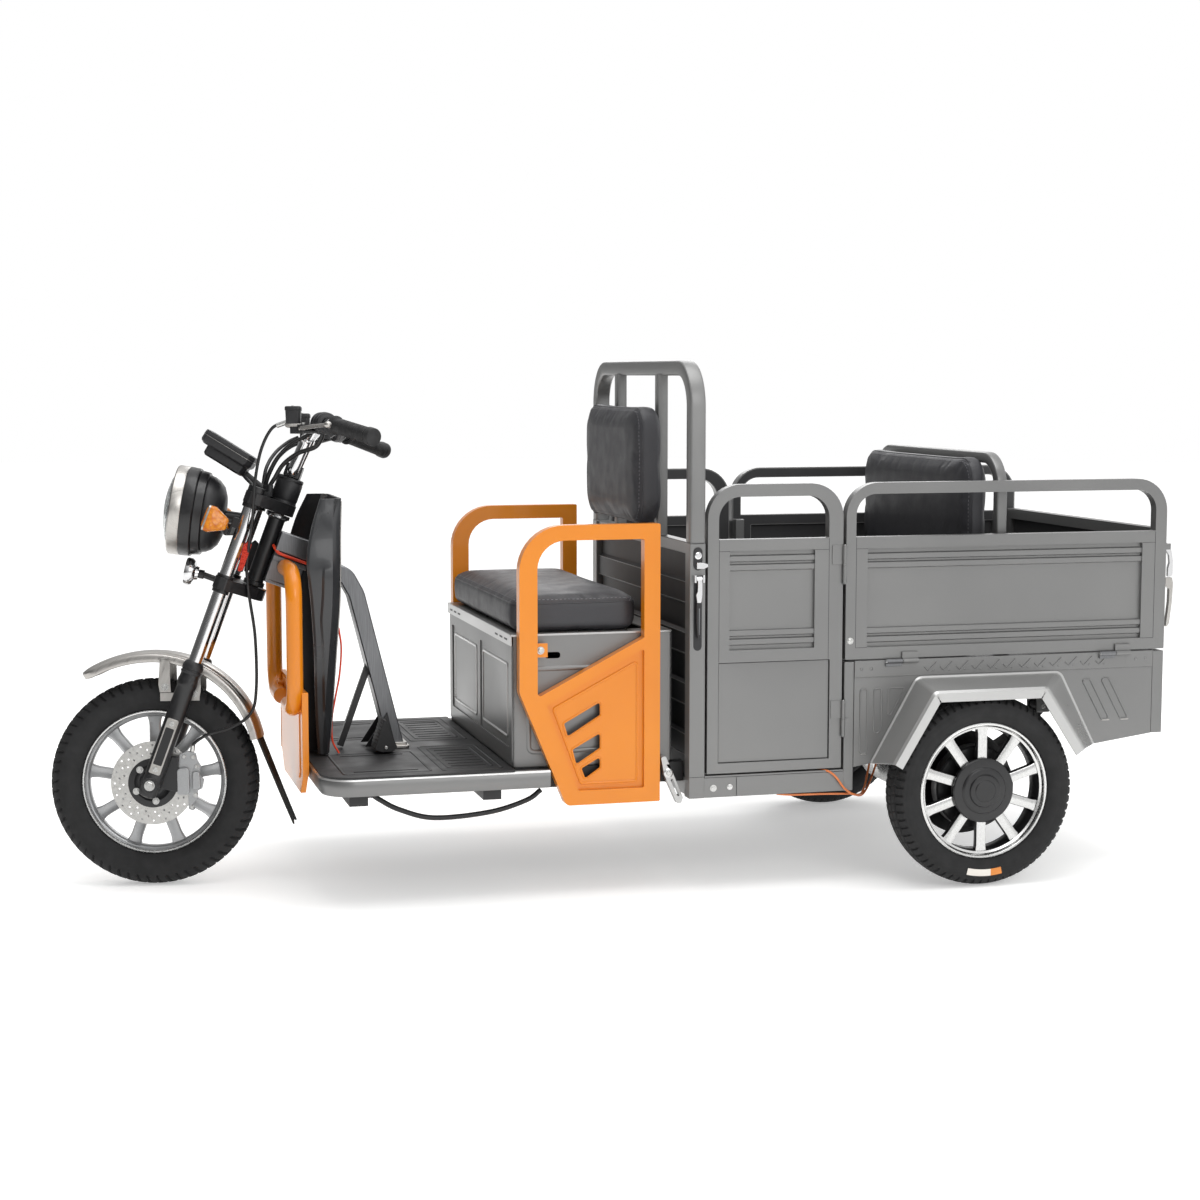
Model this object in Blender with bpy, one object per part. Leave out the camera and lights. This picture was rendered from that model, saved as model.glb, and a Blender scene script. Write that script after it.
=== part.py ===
"""Electric cargo tricycle with fold-down sides, built as separate pieces.

Metres, +Z up. The front faces -X and the rider's left side is at -Y. The design
frame has X = 0 at the front axle with the fork straight; at the end the whole
tricycle is shifted so that its origin is the middle of its footprint.
"""
import math

import bmesh
import bpy
import numpy as np
from mathutils import Matrix, Vector, geometry

for old in list(bpy.data.objects):
    bpy.data.objects.remove(old, do_unlink=True)

# Clearances
GAP = 0.0003
RUN = 0.0012

# Wheels
WHEELBASE = 1.774
FRONT_TYRE_R = 0.2302
FRONT_TYRE_HALF = 0.039
FRONT_RIM_R = 0.1596
REAR_TYRE_R = 0.2145
REAR_TYRE_HALF = 0.045
REAR_RIM_R = 0.1524
WHEEL_STEPS = 24
ROTOR_R = 0.093
ROTOR_THICK = 0.003
AXLE_R = 0.007
SPINDLE_R = 0.012

# Fork and steering
RAKE = math.radians(20.5)
STEER_AT_REST = math.radians(12.0)
AXIS_X = 0.060
FORK_OFFSET = 0.0562
FORK_HALF = 0.085
LEG_R = 0.023
LEG_STEPS = 10
LEG_TOP = 0.267
LEG_FOOT = -0.050
STANCHION_R = 0.015
STANCHION_FOOT = 0.154
FORK_TRAVEL = 0.030
LOWER_CLAMP = 0.436
CLAMP_THICK = 0.027
HEAD_LENGTH = 0.170
HEAD_TUBE_R = 0.019
STEERER_R = 0.0125
CAP_R = 0.030
CAP_LENGTH = 0.058
BAR_R = 0.011
BAR_HALF = 0.370
GRIP_R = 0.0165
GRIP_LENGTH = 0.150

# Floor and front guard
FLOOR_FRONT = 0.322
FLOOR_TOP = 0.2833
FLOOR_RAIL_HEIGHT = 0.038
FLOOR_RAIL_WIDTH = 0.025
FLOOR_CORNER = 0.070
MAT_THICK = 0.005
MAT_TOP = FLOOR_TOP + MAT_THICK
NECK_HALF = 0.042
NECK_LOW = 0.482
NECK_HIGH = 0.600
NECK_BACK = 0.098
DOWN_TOP = Vector((0.335, 0, 0.700))
DOWN_FOOT = Vector((0.3555, 0, 0.247))
DOWN_TUBE = (0.050, 0.036)
PEDAL_PIVOT = (0.500, -0.118, 0.3035)
PEDAL_PIN_R = 0.0045
PARKING_PIN_R = 0.005
GUARD_HALF = 0.205
GUARD_TOP = 0.725
GUARD_LOW = 0.385
GUARD_TUBE_R = 0.018
GUARD_X = 0.290
APRON_FRONT = 0.304
APRON_LOW = 0.215
SHIELD_THICK = 0.005
SHIELD_TOP = 0.862

# Seat box and arm frames
SEAT_FRONT = 0.741
SEAT_HALF = 0.345
SEAT_BOX_TOP = 0.5765
SHEET = 0.004
CUSHION_TOP = 0.668
CUSHION_REAR = 1.034
ARM_DEPTH = 0.027
ARM_SLACK = 0.004
ARM_HALF = SEAT_HALF + ARM_SLACK + ARM_DEPTH
FLOOR_HALF = ARM_HALF + 0.009
ARM_FRONT = SEAT_FRONT + 0.007
ARM_REAR = CUSHION_REAR + 0.029
ARM_TOP = 0.813
ARM_LOW = 0.202
ARM_TUBE = 0.036

# Cargo box
BOX_HALF = 0.408
BOX_FRONT = 1.120
SEAT_REAR = BOX_FRONT - 0.022
POST_WIDTH = 0.036
POST_DEPTH = 0.035
POST_TOP = 0.7717
BASE_LOW = 0.209
BASE_TOP = 0.254
MID_POST = 1.4805
MID_WIDTH = 0.0235
TAIL = 2.269
TAIL_WIDTH = 0.028
DECK_TOP = 0.4998
SIDE_TOP = 0.897
PANEL_TOP = 0.777
FRAME_DEPTH = 0.025
TUBE = 0.026
SIDE_CORNER = 0.075
BOW_TOP = 1.165
BOW_CORNER = 0.085
BACK_HALF = 0.240
BAND_LOW = 0.463
CROSS_HALF = 0.013
PARKING_PIVOT = (BOX_FRONT - 0.036, -ARM_HALF + 0.014, 0.262)
RAIL_INNER = BOX_HALF - POST_DEPTH
REAR_WHEEL_Y = BOX_HALF + 0.0745

# Passenger seat
PASS_X = 1.878
PASS_HALF = RAIL_INNER - 0.012
PASS_TOP = 0.957
PASS_PIVOT = 0.660
PASS_TUBE = 0.025
PASS_PIN_R = 0.006
BENCH_TOP = 0.575

ROOT = bpy.data.objects.new("tricycle", None)
bpy.context.scene.collection.objects.link(ROOT)


# Shape makers

def solid(points, faces):
    """A closed mesh from points and faces, with its faces turned outwards."""
    mesh = bpy.data.meshes.new("solid")
    mesh.from_pydata([tuple(p) for p in points], [], faces)
    shape = bmesh.new()
    shape.from_mesh(mesh)
    bmesh.ops.remove_doubles(shape, verts=shape.verts, dist=1e-6)
    bmesh.ops.delete(shape, geom=[v for v in shape.verts if not v.link_faces], context="VERTS")
    bmesh.ops.recalc_face_normals(shape, faces=shape.faces)
    shape.to_mesh(mesh)
    shape.free()
    return mesh


def box(x, y, z):
    """A block between two values along each axis."""
    points = [(a, b, c) for a in sorted(x) for b in sorted(y) for c in sorted(z)]
    faces = [(0, 1, 3, 2), (4, 6, 7, 5), (0, 4, 5, 1), (2, 3, 7, 6), (0, 2, 6, 4), (1, 5, 7, 3)]
    return solid(points, faces)


def prism(axis, span, outline, holes=()):
    """A plate square to an axis, cut to an outline with holes in its own plane."""
    loops = [outline] + list(holes)
    flat = [point for loop in loops for point in loop]
    count = len(flat)
    place = {"X": lambda u, v, w: (w, u, v), "Y": lambda u, v, w: (u, w, v),
             "Z": lambda u, v, w: (u, v, w)}[axis]
    points = [place(u, v, w) for w in sorted(span) for u, v in flat]
    fill = geometry.tessellate_polygon([[Vector((u, v, 0)) for u, v in loop] for loop in loops])
    faces = [tuple(t) for t in fill] + [tuple(i + count for i in reversed(t)) for t in fill]
    start = 0
    for loop in loops:
        size = len(loop)
        for i in range(size):
            j = (i + 1) % size
            faces.append((start + i, start + j, start + j + count, start + i + count))
        start += size
    return solid(points, faces)


def turned(profile, steps=24, start=0.0):
    """A closed profile of radius and height, turned about the Z axis."""
    points = []
    rows = []
    for radius, height in profile:
        if radius < 1e-6:
            rows.append([len(points)] * steps)
            points.append((0.0, 0.0, height))
            continue
        rows.append(list(range(len(points), len(points) + steps)))
        for i in range(steps):
            angle = start + 2 * math.pi * i / steps
            points.append((radius * math.cos(angle), radius * math.sin(angle), height))
    faces = []
    for k, (row, after) in enumerate(zip(rows, rows[1:] + rows[:1])):
        here, there = profile[k], profile[(k + 1) % len(profile)]
        if min(here[0], there[0]) < 1e-6 < max(here[0], there[0]) and here[1] == there[1]:
            faces.append(tuple(row if here[0] > there[0] else after))
            continue
        for i in range(steps):
            j = (i + 1) % steps
            corners = [row[i], row[j], after[j], after[i]]
            face = [v for n, v in enumerate(corners) if v not in corners[:n]]
            if len(face) > 2:
                faces.append(face)
    return solid(points, faces)


def rod(start, end, radius, steps=12):
    """A round bar between two points."""
    start, end = Vector(start), Vector(end)
    length = (end - start).length
    mesh = turned([(0, 0), (radius, 0), (radius, length), (0, length)], steps, 0.1)
    turn = Vector((0, 0, 1)).rotation_difference(end - start).to_matrix().to_4x4()
    return moved(mesh, Matrix.Translation(start) @ turn)


def moved(mesh, matrix):
    """The same mesh, moved or turned by a matrix."""
    mesh.transform(matrix)
    return mesh


def arc_corners(points, radius, steps=4, closed=True):
    """A path whose inner corners are rounded by arcs of one radius or one each."""
    points = [Vector(p) for p in points]
    count = len(points)
    radii = radius if isinstance(radius, (list, tuple)) else [radius] * count
    result = []
    for i, point in enumerate(points):
        if (not closed and i in (0, count - 1)) or radii[i] == 0:
            result.append(point.copy())
            continue
        back = (points[i - 1] - point).normalized()
        ahead = (points[(i + 1) % count] - point).normalized()
        half = back.angle(ahead) / 2
        reach = radii[i] / math.tan(half)
        centre = point + (back + ahead).normalized() * radii[i] / math.sin(half)
        first = point + back * reach - centre
        last = point + ahead * reach - centre
        sweep = first.angle(last)
        for k in range(steps + 1):
            share = k / steps
            arm = (first * math.sin((1 - share) * sweep) + last * math.sin(share * sweep)) / math.sin(sweep)
            result.append(centre + arm)
    return result


def sweep(path, section, side, closed=False):
    """A section carried along a path that lies square to the side vector."""
    path = [Vector(p) for p in path]
    side = Vector(side).normalized()
    count = len(path)
    size = len(section)
    points = []
    for i, here in enumerate(path):
        back = path[i - 1] if closed or i > 0 else here
        ahead = path[(i + 1) % count] if closed or i < count - 1 else here
        into = (here - back).normalized() if (here - back).length > 0 else (ahead - here).normalized()
        out = (ahead - here).normalized() if (ahead - here).length > 0 else into
        along = (into + out).normalized()
        stretch = 1 / max(0.3, along.dot(into))
        rise = side.cross(along).normalized() * stretch
        points += [here + side * a + rise * b for a, b in section]
    faces = []
    spans = count if closed else count - 1
    for i in range(spans):
        base, after = i * size, ((i + 1) % count) * size
        for k in range(size):
            n = (k + 1) % size
            faces.append((base + k, base + n, after + n, after + k))
    if not closed:
        faces.append(tuple(range(size)))
        faces.append(tuple((count - 1) * size + k for k in range(size)))
    return solid(points, faces)


def ring(radius, steps=10):
    """A round section."""
    angles = [2 * math.pi * (i + 0.5) / steps for i in range(steps)]
    return [(radius * math.cos(a), radius * math.sin(a)) for a in angles]


def square(width, height, corner=0.0):
    """A square tube's section, its four corners bevelled where a bevel is given."""
    a, b = width / 2, height / 2
    if corner == 0:
        return [(-a, -b), (a, -b), (a, b), (-a, b)]
    return [(a - corner, -b), (a, -b + corner), (a, b - corner), (a - corner, b),
            (-a + corner, b), (-a, b - corner), (-a, -b + corner), (-a + corner, -b)]


def combine(kind, first, others):
    """The first mesh united with, or cut by, each of the others."""
    body = bpy.data.objects.new("body", first)
    bpy.context.scene.collection.objects.link(body)
    tools = []
    for other in others:
        tool = bpy.data.objects.new("tool", other)
        bpy.context.scene.collection.objects.link(tool)
        step = body.modifiers.new("step", "BOOLEAN")
        step.operation = kind
        step.solver = "EXACT"
        step.object = tool
        tools.append(tool)
    graph = bpy.context.evaluated_depsgraph_get()
    result = bpy.data.meshes.new_from_object(body.evaluated_get(graph))
    for item in tools + [body]:
        bpy.data.objects.remove(item, do_unlink=True)
    return result


def join(first, *others):
    """One body made of meshes that reach into each other."""
    return combine("UNION", first, others)


def cut(first, *others):
    """A mesh with others taken out of it."""
    return combine("DIFFERENCE", first, others)


def sides(side, low, high):
    """A span of Y on one side of the tricycle, side being -1 or 1."""
    return (side * low, side * high)


def ribbed(side_axis, face, depth, along, heights, ribs, rise):
    """A sheet with level ribs, its profile drawn up its height and run along a span."""
    profile = [(face, heights[0])]
    for low, high in ribs:
        slope = (high - low) * 0.22
        profile += [(face, low), (face + rise, low + slope), (face + rise, high - slope), (face, high)]
    profile.append((face, heights[1]))
    profile += [(u - depth, v) for u, v in reversed(profile)]
    if side_axis == "Y":
        return prism("X", along, profile)
    return prism("Y", along, profile)


# Nodes, joint frames and materials

def material(name, colour, rough, metal=0.0):
    """A plain finish from an sRGB colour."""
    finish = bpy.data.materials.get(name)
    if finish:
        return finish
    finish = bpy.data.materials.new(name)
    finish.use_nodes = True
    shader = finish.node_tree.nodes["Principled BSDF"]
    channels = [int(colour[i:i + 2], 16) / 255 for i in (0, 2, 4)]
    linear = [c / 12.92 if c <= 0.04045 else ((c + 0.055) / 1.055) ** 2.4 for c in channels]
    shader.inputs["Base Color"].default_value = (*linear, 1.0)
    shader.inputs["Roughness"].default_value = rough
    shader.inputs["Metallic"].default_value = metal
    return finish


GREY = material("grey_paint", "8C8D8E", 0.45, 0.3)
ORANGE = material("orange_paint", "F08A1E", 0.35)
BLACK = material("black_plastic", "1C1C1E", 0.5)
STEEL = material("black_steel", "202022", 0.4, 0.4)
CHROME = material("chrome", "D8D8D8", 0.12, 1.0)
SILVER = material("brushed_silver", "B4B3B0", 0.35, 0.9)
RUBBER = material("tyre_rubber", "1A1A1B", 0.85)
LEATHER = material("black_leather", "2B2B2D", 0.6)
AMBER = material("amber_lens", "F59B1C", 0.2)
CLEAR = material("clear_lens", "DCDCDC", 0.08)
RED = material("red_lens", "C8281E", 0.3)


def joint_frame(name, point, parent=ROOT):
    """An empty on a joint's axis, which carries the pieces that move with it."""
    empty = bpy.data.objects.new(name, None)
    bpy.context.scene.collection.objects.link(empty)
    empty.parent = parent
    here = Vector(point)
    empty["place"] = here
    base = Vector(parent["place"]) if "place" in parent else Vector((0, 0, 0))
    empty.location = here - base
    return empty


def simplified(mesh):
    """The same shape with its flat faces made whole and split again into few triangles."""
    shape = bmesh.new()
    shape.from_mesh(mesh)
    bmesh.ops.dissolve_limit(shape, angle_limit=math.radians(0.05), verts=shape.verts, edges=shape.edges)
    bmesh.ops.triangulate(shape, faces=[f for f in shape.faces if len(f.verts) > 4])
    shape.to_mesh(mesh)
    shape.free()
    return mesh


def node(name, mesh, finish, parent=ROOT, sharp=35):
    """A named sub-part, its mesh drawn in the design frame."""
    item = bpy.data.objects.new(name, simplified(mesh))
    bpy.context.scene.collection.objects.link(item)
    mesh.name = name
    if "place" in parent:
        mesh.transform(Matrix.Translation(-Vector(parent["place"])))
    item.parent = parent
    mesh.materials.clear()
    mesh.materials.append(finish)
    mesh.shade_smooth()
    mesh.set_sharp_from_angle(angle=math.radians(sharp))
    return item


# The raked steering frame: X is set back from the axis, Z runs up along it
UP_AXIS = Vector((math.sin(RAKE), 0, math.cos(RAKE)))
BACK_AXIS = Vector((math.cos(RAKE), 0, -math.sin(RAKE)))
AXIS_FOOT = Vector((AXIS_X, 0, FRONT_TYRE_R))
RAKED = Matrix.Translation(AXIS_FOOT) @ Matrix((
    (BACK_AXIS.x, 0, UP_AXIS.x, 0), (0, 1, 0, 0), (BACK_AXIS.z, 0, UP_AXIS.z, 0), (0, 0, 0, 1)))
AXLE_ALONG = -AXIS_X * math.sin(RAKE)
HEAD_FOOT = LOWER_CLAMP + CLAMP_THICK + RUN
HEAD_TOP = HEAD_FOOT + HEAD_LENGTH
UPPER_CLAMP = HEAD_TOP + RUN
CAP_FOOT = UPPER_CLAMP + CLAMP_THICK
CAP_TOP = CAP_FOOT + CAP_LENGTH


def raked(back, across, up):
    """A point given in the raked steering frame."""
    return RAKED @ Vector((back, across, up))


STEERING = joint_frame("steering_axis", AXIS_FOOT)
FORK = joint_frame("fork_slide", AXIS_FOOT, STEERING)
FRONT_AXLE = Vector((0, 0, FRONT_TYRE_R))
FRONT_SPIN = joint_frame("front_wheel_axis", FRONT_AXLE, FORK)
REAR_SLIDE = joint_frame("rear_axle_slide", (WHEELBASE, 0, REAR_TYRE_R))


# Front frame: head tube, neck box, down tube and brace

def head_frame():
    tube = moved(turned([(STEERER_R + 0.0010, HEAD_FOOT), (HEAD_TUBE_R, HEAD_FOOT),
                         (HEAD_TUBE_R, HEAD_TOP), (STEERER_R + 0.0010, HEAD_TOP)], 14), RAKED)
    start = HEAD_TUBE_R * 0.80
    corners = [(start, NECK_LOW), (start, NECK_HIGH), (NECK_BACK, NECK_HIGH), (NECK_BACK, NECK_LOW)]
    block = moved(prism("Y", (-NECK_HALF, NECK_HALF), corners), RAKED)
    down = sweep([DOWN_TOP, DOWN_FOOT], square(*DOWN_TUBE), (0, 1, 0))
    brace_path = arc_corners([(0.345, 0, 0.690), (0.425, 0, 0.690), (0.452, 0, 0.640),
                              (0.538, 0, MAT_TOP + 0.005)], [0, 0.030, 0.060, 0], 3, closed=False)
    brace = sweep(brace_path, square(0.060, 0.036), (0, 1, 0))
    strut = sweep([(0.4135, 0, MAT_TOP + 0.004), (0.487, 0, 0.495)], square(0.014, 0.014), (0, 1, 0))
    foot = box((0.490, 0.566), (-0.050, 0.050), (MAT_TOP + GAP, MAT_TOP + 0.012))
    ear = box((PEDAL_PIVOT[0] - 0.010, PEDAL_PIVOT[0] + 0.010), (-0.056, -0.046),
              (MAT_TOP + 0.002, PEDAL_PIVOT[2] + 0.009))
    pin = rod((PEDAL_PIVOT[0], -0.050, PEDAL_PIVOT[2]), (PEDAL_PIVOT[0], PEDAL_PIVOT[1], PEDAL_PIVOT[2]),
              PEDAL_PIN_R, 12)
    return join(tube, block, down, brace, strut, foot, ear, pin)


node("head_frame", head_frame(), GREY)


# Floor: outer rail with rounded front corners, chassis rails and cross members

RAIL_LOW = FLOOR_TOP - FLOOR_RAIL_HEIGHT


def floor_outline(inset, rear, corner):
    """The floor's plan, drawn in from its outer edge."""
    half = FLOOR_HALF - inset
    front = FLOOR_FRONT + inset
    path = [(rear, -half, 0), (front, -half, 0), (front, half, 0), (rear, half, 0)]
    return arc_corners(path, [0, corner, corner, 0], 4, closed=False)


def floor_frame():
    middle = FLOOR_RAIL_WIDTH / 2
    height = (RAIL_LOW + FLOOR_TOP) / 2
    rail_end = ARM_FRONT + 0.066
    path = [(p.x, p.y, height) for p in floor_outline(middle, rail_end, FLOOR_CORNER - middle)]
    rail = sweep(path, square(FLOOR_RAIL_HEIGHT, FLOOR_RAIL_WIDTH), (0, 0, 1))
    inner = ARM_HALF - ARM_DEPTH - GAP
    parts = []
    low = RAIL_LOW - 0.030
    rear = BOX_FRONT + POST_WIDTH / 2 - CROSS_HALF - GAP
    for side in (-1, 1):
        parts.append(box((0.395, rear), sides(side, 0.160, 0.200), (low, RAIL_LOW + 0.004)))
        parts.append(box((0.700, rear), sides(side, inner - 0.030, inner), (RAIL_LOW - 0.006, FLOOR_TOP)))
    for x, half in ((0.400, FLOOR_HALF - 0.023), (0.690, FLOOR_HALF - 0.023), (1.000, inner)):
        parts.append(box((x - 0.020, x + 0.020), (-half, half), (low + 0.006, FLOOR_TOP - 0.010)))
    parts.append(box((FLOOR_FRONT + 0.005, 0.400), (-0.045, 0.045), (RAIL_LOW + 0.004, FLOOR_TOP - 0.006)))
    frame = join(rail, *parts)
    below = DOWN_FOOT + (DOWN_FOOT - DOWN_TOP).normalized() * 0.040
    socket = sweep([DOWN_TOP, below], square(DOWN_TUBE[0] + 2 * GAP, DOWN_TUBE[1] + 2 * GAP), (0, 1, 0))
    lever_pin = rod((PARKING_PIVOT[0], -inner + 0.008, PARKING_PIVOT[2]),
                    (PARKING_PIVOT[0], PARKING_PIVOT[1] - 0.012, PARKING_PIVOT[2]), PARKING_PIN_R, 12)
    return join(cut(frame, socket), lever_pin)


node("floor_frame", floor_frame(), GREY)


def floor_mat():
    outline = [(p.x, p.y) for p in floor_outline(0.002, SEAT_FRONT - 0.004, FLOOR_CORNER - 0.002)]
    half = DOWN_TUBE[0] / 2 + 0.001
    slot = [(0.332, -half), (0.376, -half), (0.376, half), (0.332, half)]
    return prism("Z", (FLOOR_TOP + GAP, MAT_TOP), outline, [slot])


node("floor_mat", floor_mat(), BLACK)


# Orange front guard: two bent tubes joined to the apron plate

def front_guard():
    centre_x, r = GUARD_X, GUARD_TUBE_R
    pieces = []
    for side in (-1, 1):
        y_out = side * (GUARD_HALF - r)
        path = arc_corners([(centre_x, side * (NECK_HALF + GAP), GUARD_TOP - r),
                            (centre_x, y_out, GUARD_TOP - r),
                            (centre_x, y_out, GUARD_LOW + r), (centre_x, side * 0.062, GUARD_LOW + r)],
                           [0, 0.062, 0.062, 0], 3, closed=False)
        pieces.append(sweep(path, ring(r, 8), (1, 0, 0)))
        pieces.append(box((APRON_FRONT + 0.005, FLOOR_FRONT - GAP), sides(side, 0.060, 0.100),
                          (0.252, 0.276)))
    half, top, low, chamfer = GUARD_HALF - 0.008, GUARD_LOW + 0.060, APRON_LOW, 0.050
    outline = [(-half, top), (-half, low + chamfer), (-half + chamfer, low), (half - chamfer, low),
               (half, low + chamfer), (half, top)]
    apron = prism("X", (APRON_FRONT, APRON_FRONT + 0.012), outline)
    return join(apron, *pieces)


node("front_guard", front_guard(), ORANGE)


# Black leg shield: a channel-shaped shell lofted up its height

def leg_shield():
    levels = [(0.292, 0.350, 0.378, 0.105), (0.400, 0.343, 0.384, 0.120), (0.530, 0.338, 0.390, 0.150),
              (0.640, 0.330, 0.396, 0.168), (0.730, 0.322, 0.398, 0.170), (0.800, 0.336, 0.402, 0.150),
              (SHIELD_TOP, 0.360, 0.410, 0.115)]
    points = []
    wall = SHIELD_THICK
    for z, front, back, half in levels:
        corner = 0.022
        outer = [(front, -half + 0.004), (front + 0.012, -half), (back - corner, -half + 0.004),
                 (back, -half + corner), (back, half - corner), (back - corner, half - 0.004),
                 (front + 0.012, half), (front, half - 0.004)]
        inner = [(front, half - 0.004 - wall), (back - corner - 0.001, half - 0.004 - wall),
                 (back - wall, half - corner - 0.003), (back - wall, -half + corner + 0.003),
                 (back - corner - 0.001, -half + 0.004 + wall), (front, -half + 0.004 + wall)]
        points += [(x, y, z) for x, y in outer + inner]
    size = 14
    faces = []
    for i in range(len(levels) - 1):
        for k in range(size):
            n = (k + 1) % size
            faces.append((i * size + k, i * size + n, (i + 1) * size + n, (i + 1) * size + k))
    for start in (0, (len(levels) - 1) * size):
        cap = [(0, 1, 12, 13), (1, 2, 12), (2, 3, 11, 12), (3, 4, 10, 11), (4, 5, 9, 10), (5, 6, 9),
               (6, 7, 8, 9)]
        faces += [tuple(start + k for k in face) for face in cap]
    shell = solid(points, faces)
    window = box((0.360, 0.420), (-0.0305, 0.0305), (0.560, 0.740))
    return cut(shell, window)


node("leg_shield", leg_shield(), BLACK)


# Seat box with its flange and raised front frame, battery and controller

def seat_box():
    low = FLOOR_TOP + GAP
    outer = box((SEAT_FRONT, SEAT_REAR), (-SEAT_HALF, SEAT_HALF), (low, SEAT_BOX_TOP))
    hollow = box((SEAT_FRONT + SHEET, SEAT_REAR - SHEET), (-SEAT_HALF + SHEET, SEAT_HALF - SHEET),
                 (low + SHEET, SEAT_BOX_TOP + 0.01))
    slots = [box((SEAT_FRONT + 0.071, SEAT_FRONT + 0.105), sides(side, SEAT_HALF - 0.02, SEAT_HALF + 0.02),
                 (0.522, 0.536)) for side in (-1, 1)]
    shell = cut(outer, hollow, *slots)
    lip_out, lip_in = 0.0032, 0.045
    flange = prism("Z", (SEAT_BOX_TOP - 0.004, SEAT_BOX_TOP),
                   [(SEAT_FRONT - 0.007, -SEAT_HALF - lip_out), (SEAT_REAR, -SEAT_HALF - lip_out),
                    (SEAT_REAR, SEAT_HALF + lip_out), (SEAT_FRONT - 0.007, SEAT_HALF + lip_out)],
                   [[(SEAT_FRONT + lip_in, -SEAT_HALF + lip_in), (SEAT_REAR - lip_in, -SEAT_HALF + lip_in),
                     (SEAT_REAR - lip_in, SEAT_HALF - lip_in), (SEAT_FRONT + lip_in, SEAT_HALF - lip_in)]])
    bar = 0.030
    top = SEAT_BOX_TOP - 0.020
    bottom = low + 0.012
    half = SEAT_HALF - 0.004
    windows = []
    for a, b in ((-half + bar, -bar / 2), (bar / 2, half - bar)):
        windows.append([(a, bottom + bar), (b, bottom + bar), (b, top - bar), (a, top - bar)])
    frame = prism("X", (SEAT_FRONT - 0.003, SEAT_FRONT + 0.001),
                  [(-half, bottom), (half, bottom), (half, top), (-half, top)], windows)
    return join(shell, flange, frame)


node("seat_box", seat_box(), GREY)
BOX_FLOOR = FLOOR_TOP + GAP + SHEET + GAP
node("battery_pack", box((SEAT_FRONT + 0.049, SEAT_REAR - 0.048), (-SEAT_HALF + 0.055, -0.010),
                         (BOX_FLOOR, BOX_FLOOR + 0.215)), STEEL)


def controller():
    front, rear = SEAT_FRONT + 0.099, SEAT_REAR - 0.098
    base = box((front, rear), (0.060, 0.240), (BOX_FLOOR, BOX_FLOOR + 0.040))
    fins = [box((front + 0.002, rear - 0.002), (0.070 + 0.036 * i, 0.086 + 0.036 * i),
                (BOX_FLOOR + 0.035, BOX_FLOOR + 0.060))
            for i in range(4)]
    return join(base, *fins)


node("motor_controller", controller(), SILVER)


def padded(x, y, z, crown, corner):
    """A cushion: rounded plan, crowned top, sides drawn in below, flat underneath."""
    cx, cy = (x[0] + x[1]) / 2, (y[0] + y[1]) / 2
    ax, ay = (x[1] - x[0]) / 2, (y[1] - y[0]) / 2
    low, high = z
    body = high - low - crown
    levels = [(0.0, 0.030), (body * 0.30, 0.004), (body * 0.65, 0.0), (body, 0.012)]
    around = []
    straight = arc_corners([(-ax, -ay, 0), (ax, -ay, 0), (ax, ay, 0), (-ax, ay, 0)], corner, 3)
    for i, point in enumerate(straight):
        around.append(point)
        after = straight[(i + 1) % len(straight)]
        if (after - point).length > 0.12:
            for share in (0.25, 0.5, 0.75):
                around.append(point.lerp(after, share))
    count = len(around)
    points = []
    for height, inset in levels:
        points += [(cx + p.x * (1 - inset / ax), cy + p.y * (1 - inset / ay), low + height) for p in around]
    for share in (0.86, 0.55, 0.25):
        rise = low + body + crown * (1 - share ** 2.6)
        points += [(cx + p.x * share, cy + p.y * share, rise) for p in around]
    points.append((cx, cy, high))
    points.append((cx, cy, low))
    rings = len(levels) + 3
    faces = []
    for i in range(rings - 1):
        for k in range(count):
            n = (k + 1) % count
            faces.append((i * count + k, i * count + n, (i + 1) * count + n, (i + 1) * count + k))
    for k in range(count):
        n = (k + 1) % count
        faces.append(((rings - 1) * count + k, (rings - 1) * count + n, rings * count))
        faces.append((n, k, rings * count + 1))
    return solid(points, faces)


SEAT_HINGE = joint_frame("seat_hinge", (SEAT_FRONT, 0, SEAT_BOX_TOP + GAP))
node("seat_cushion", padded((SEAT_FRONT - 0.008, CUSHION_REAR), (-SEAT_HALF, SEAT_HALF),
                            (SEAT_BOX_TOP + GAP, CUSHION_TOP), 0.020, 0.045), LEATHER, SEAT_HINGE)


# Orange arm frames with their slotted infill

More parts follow.
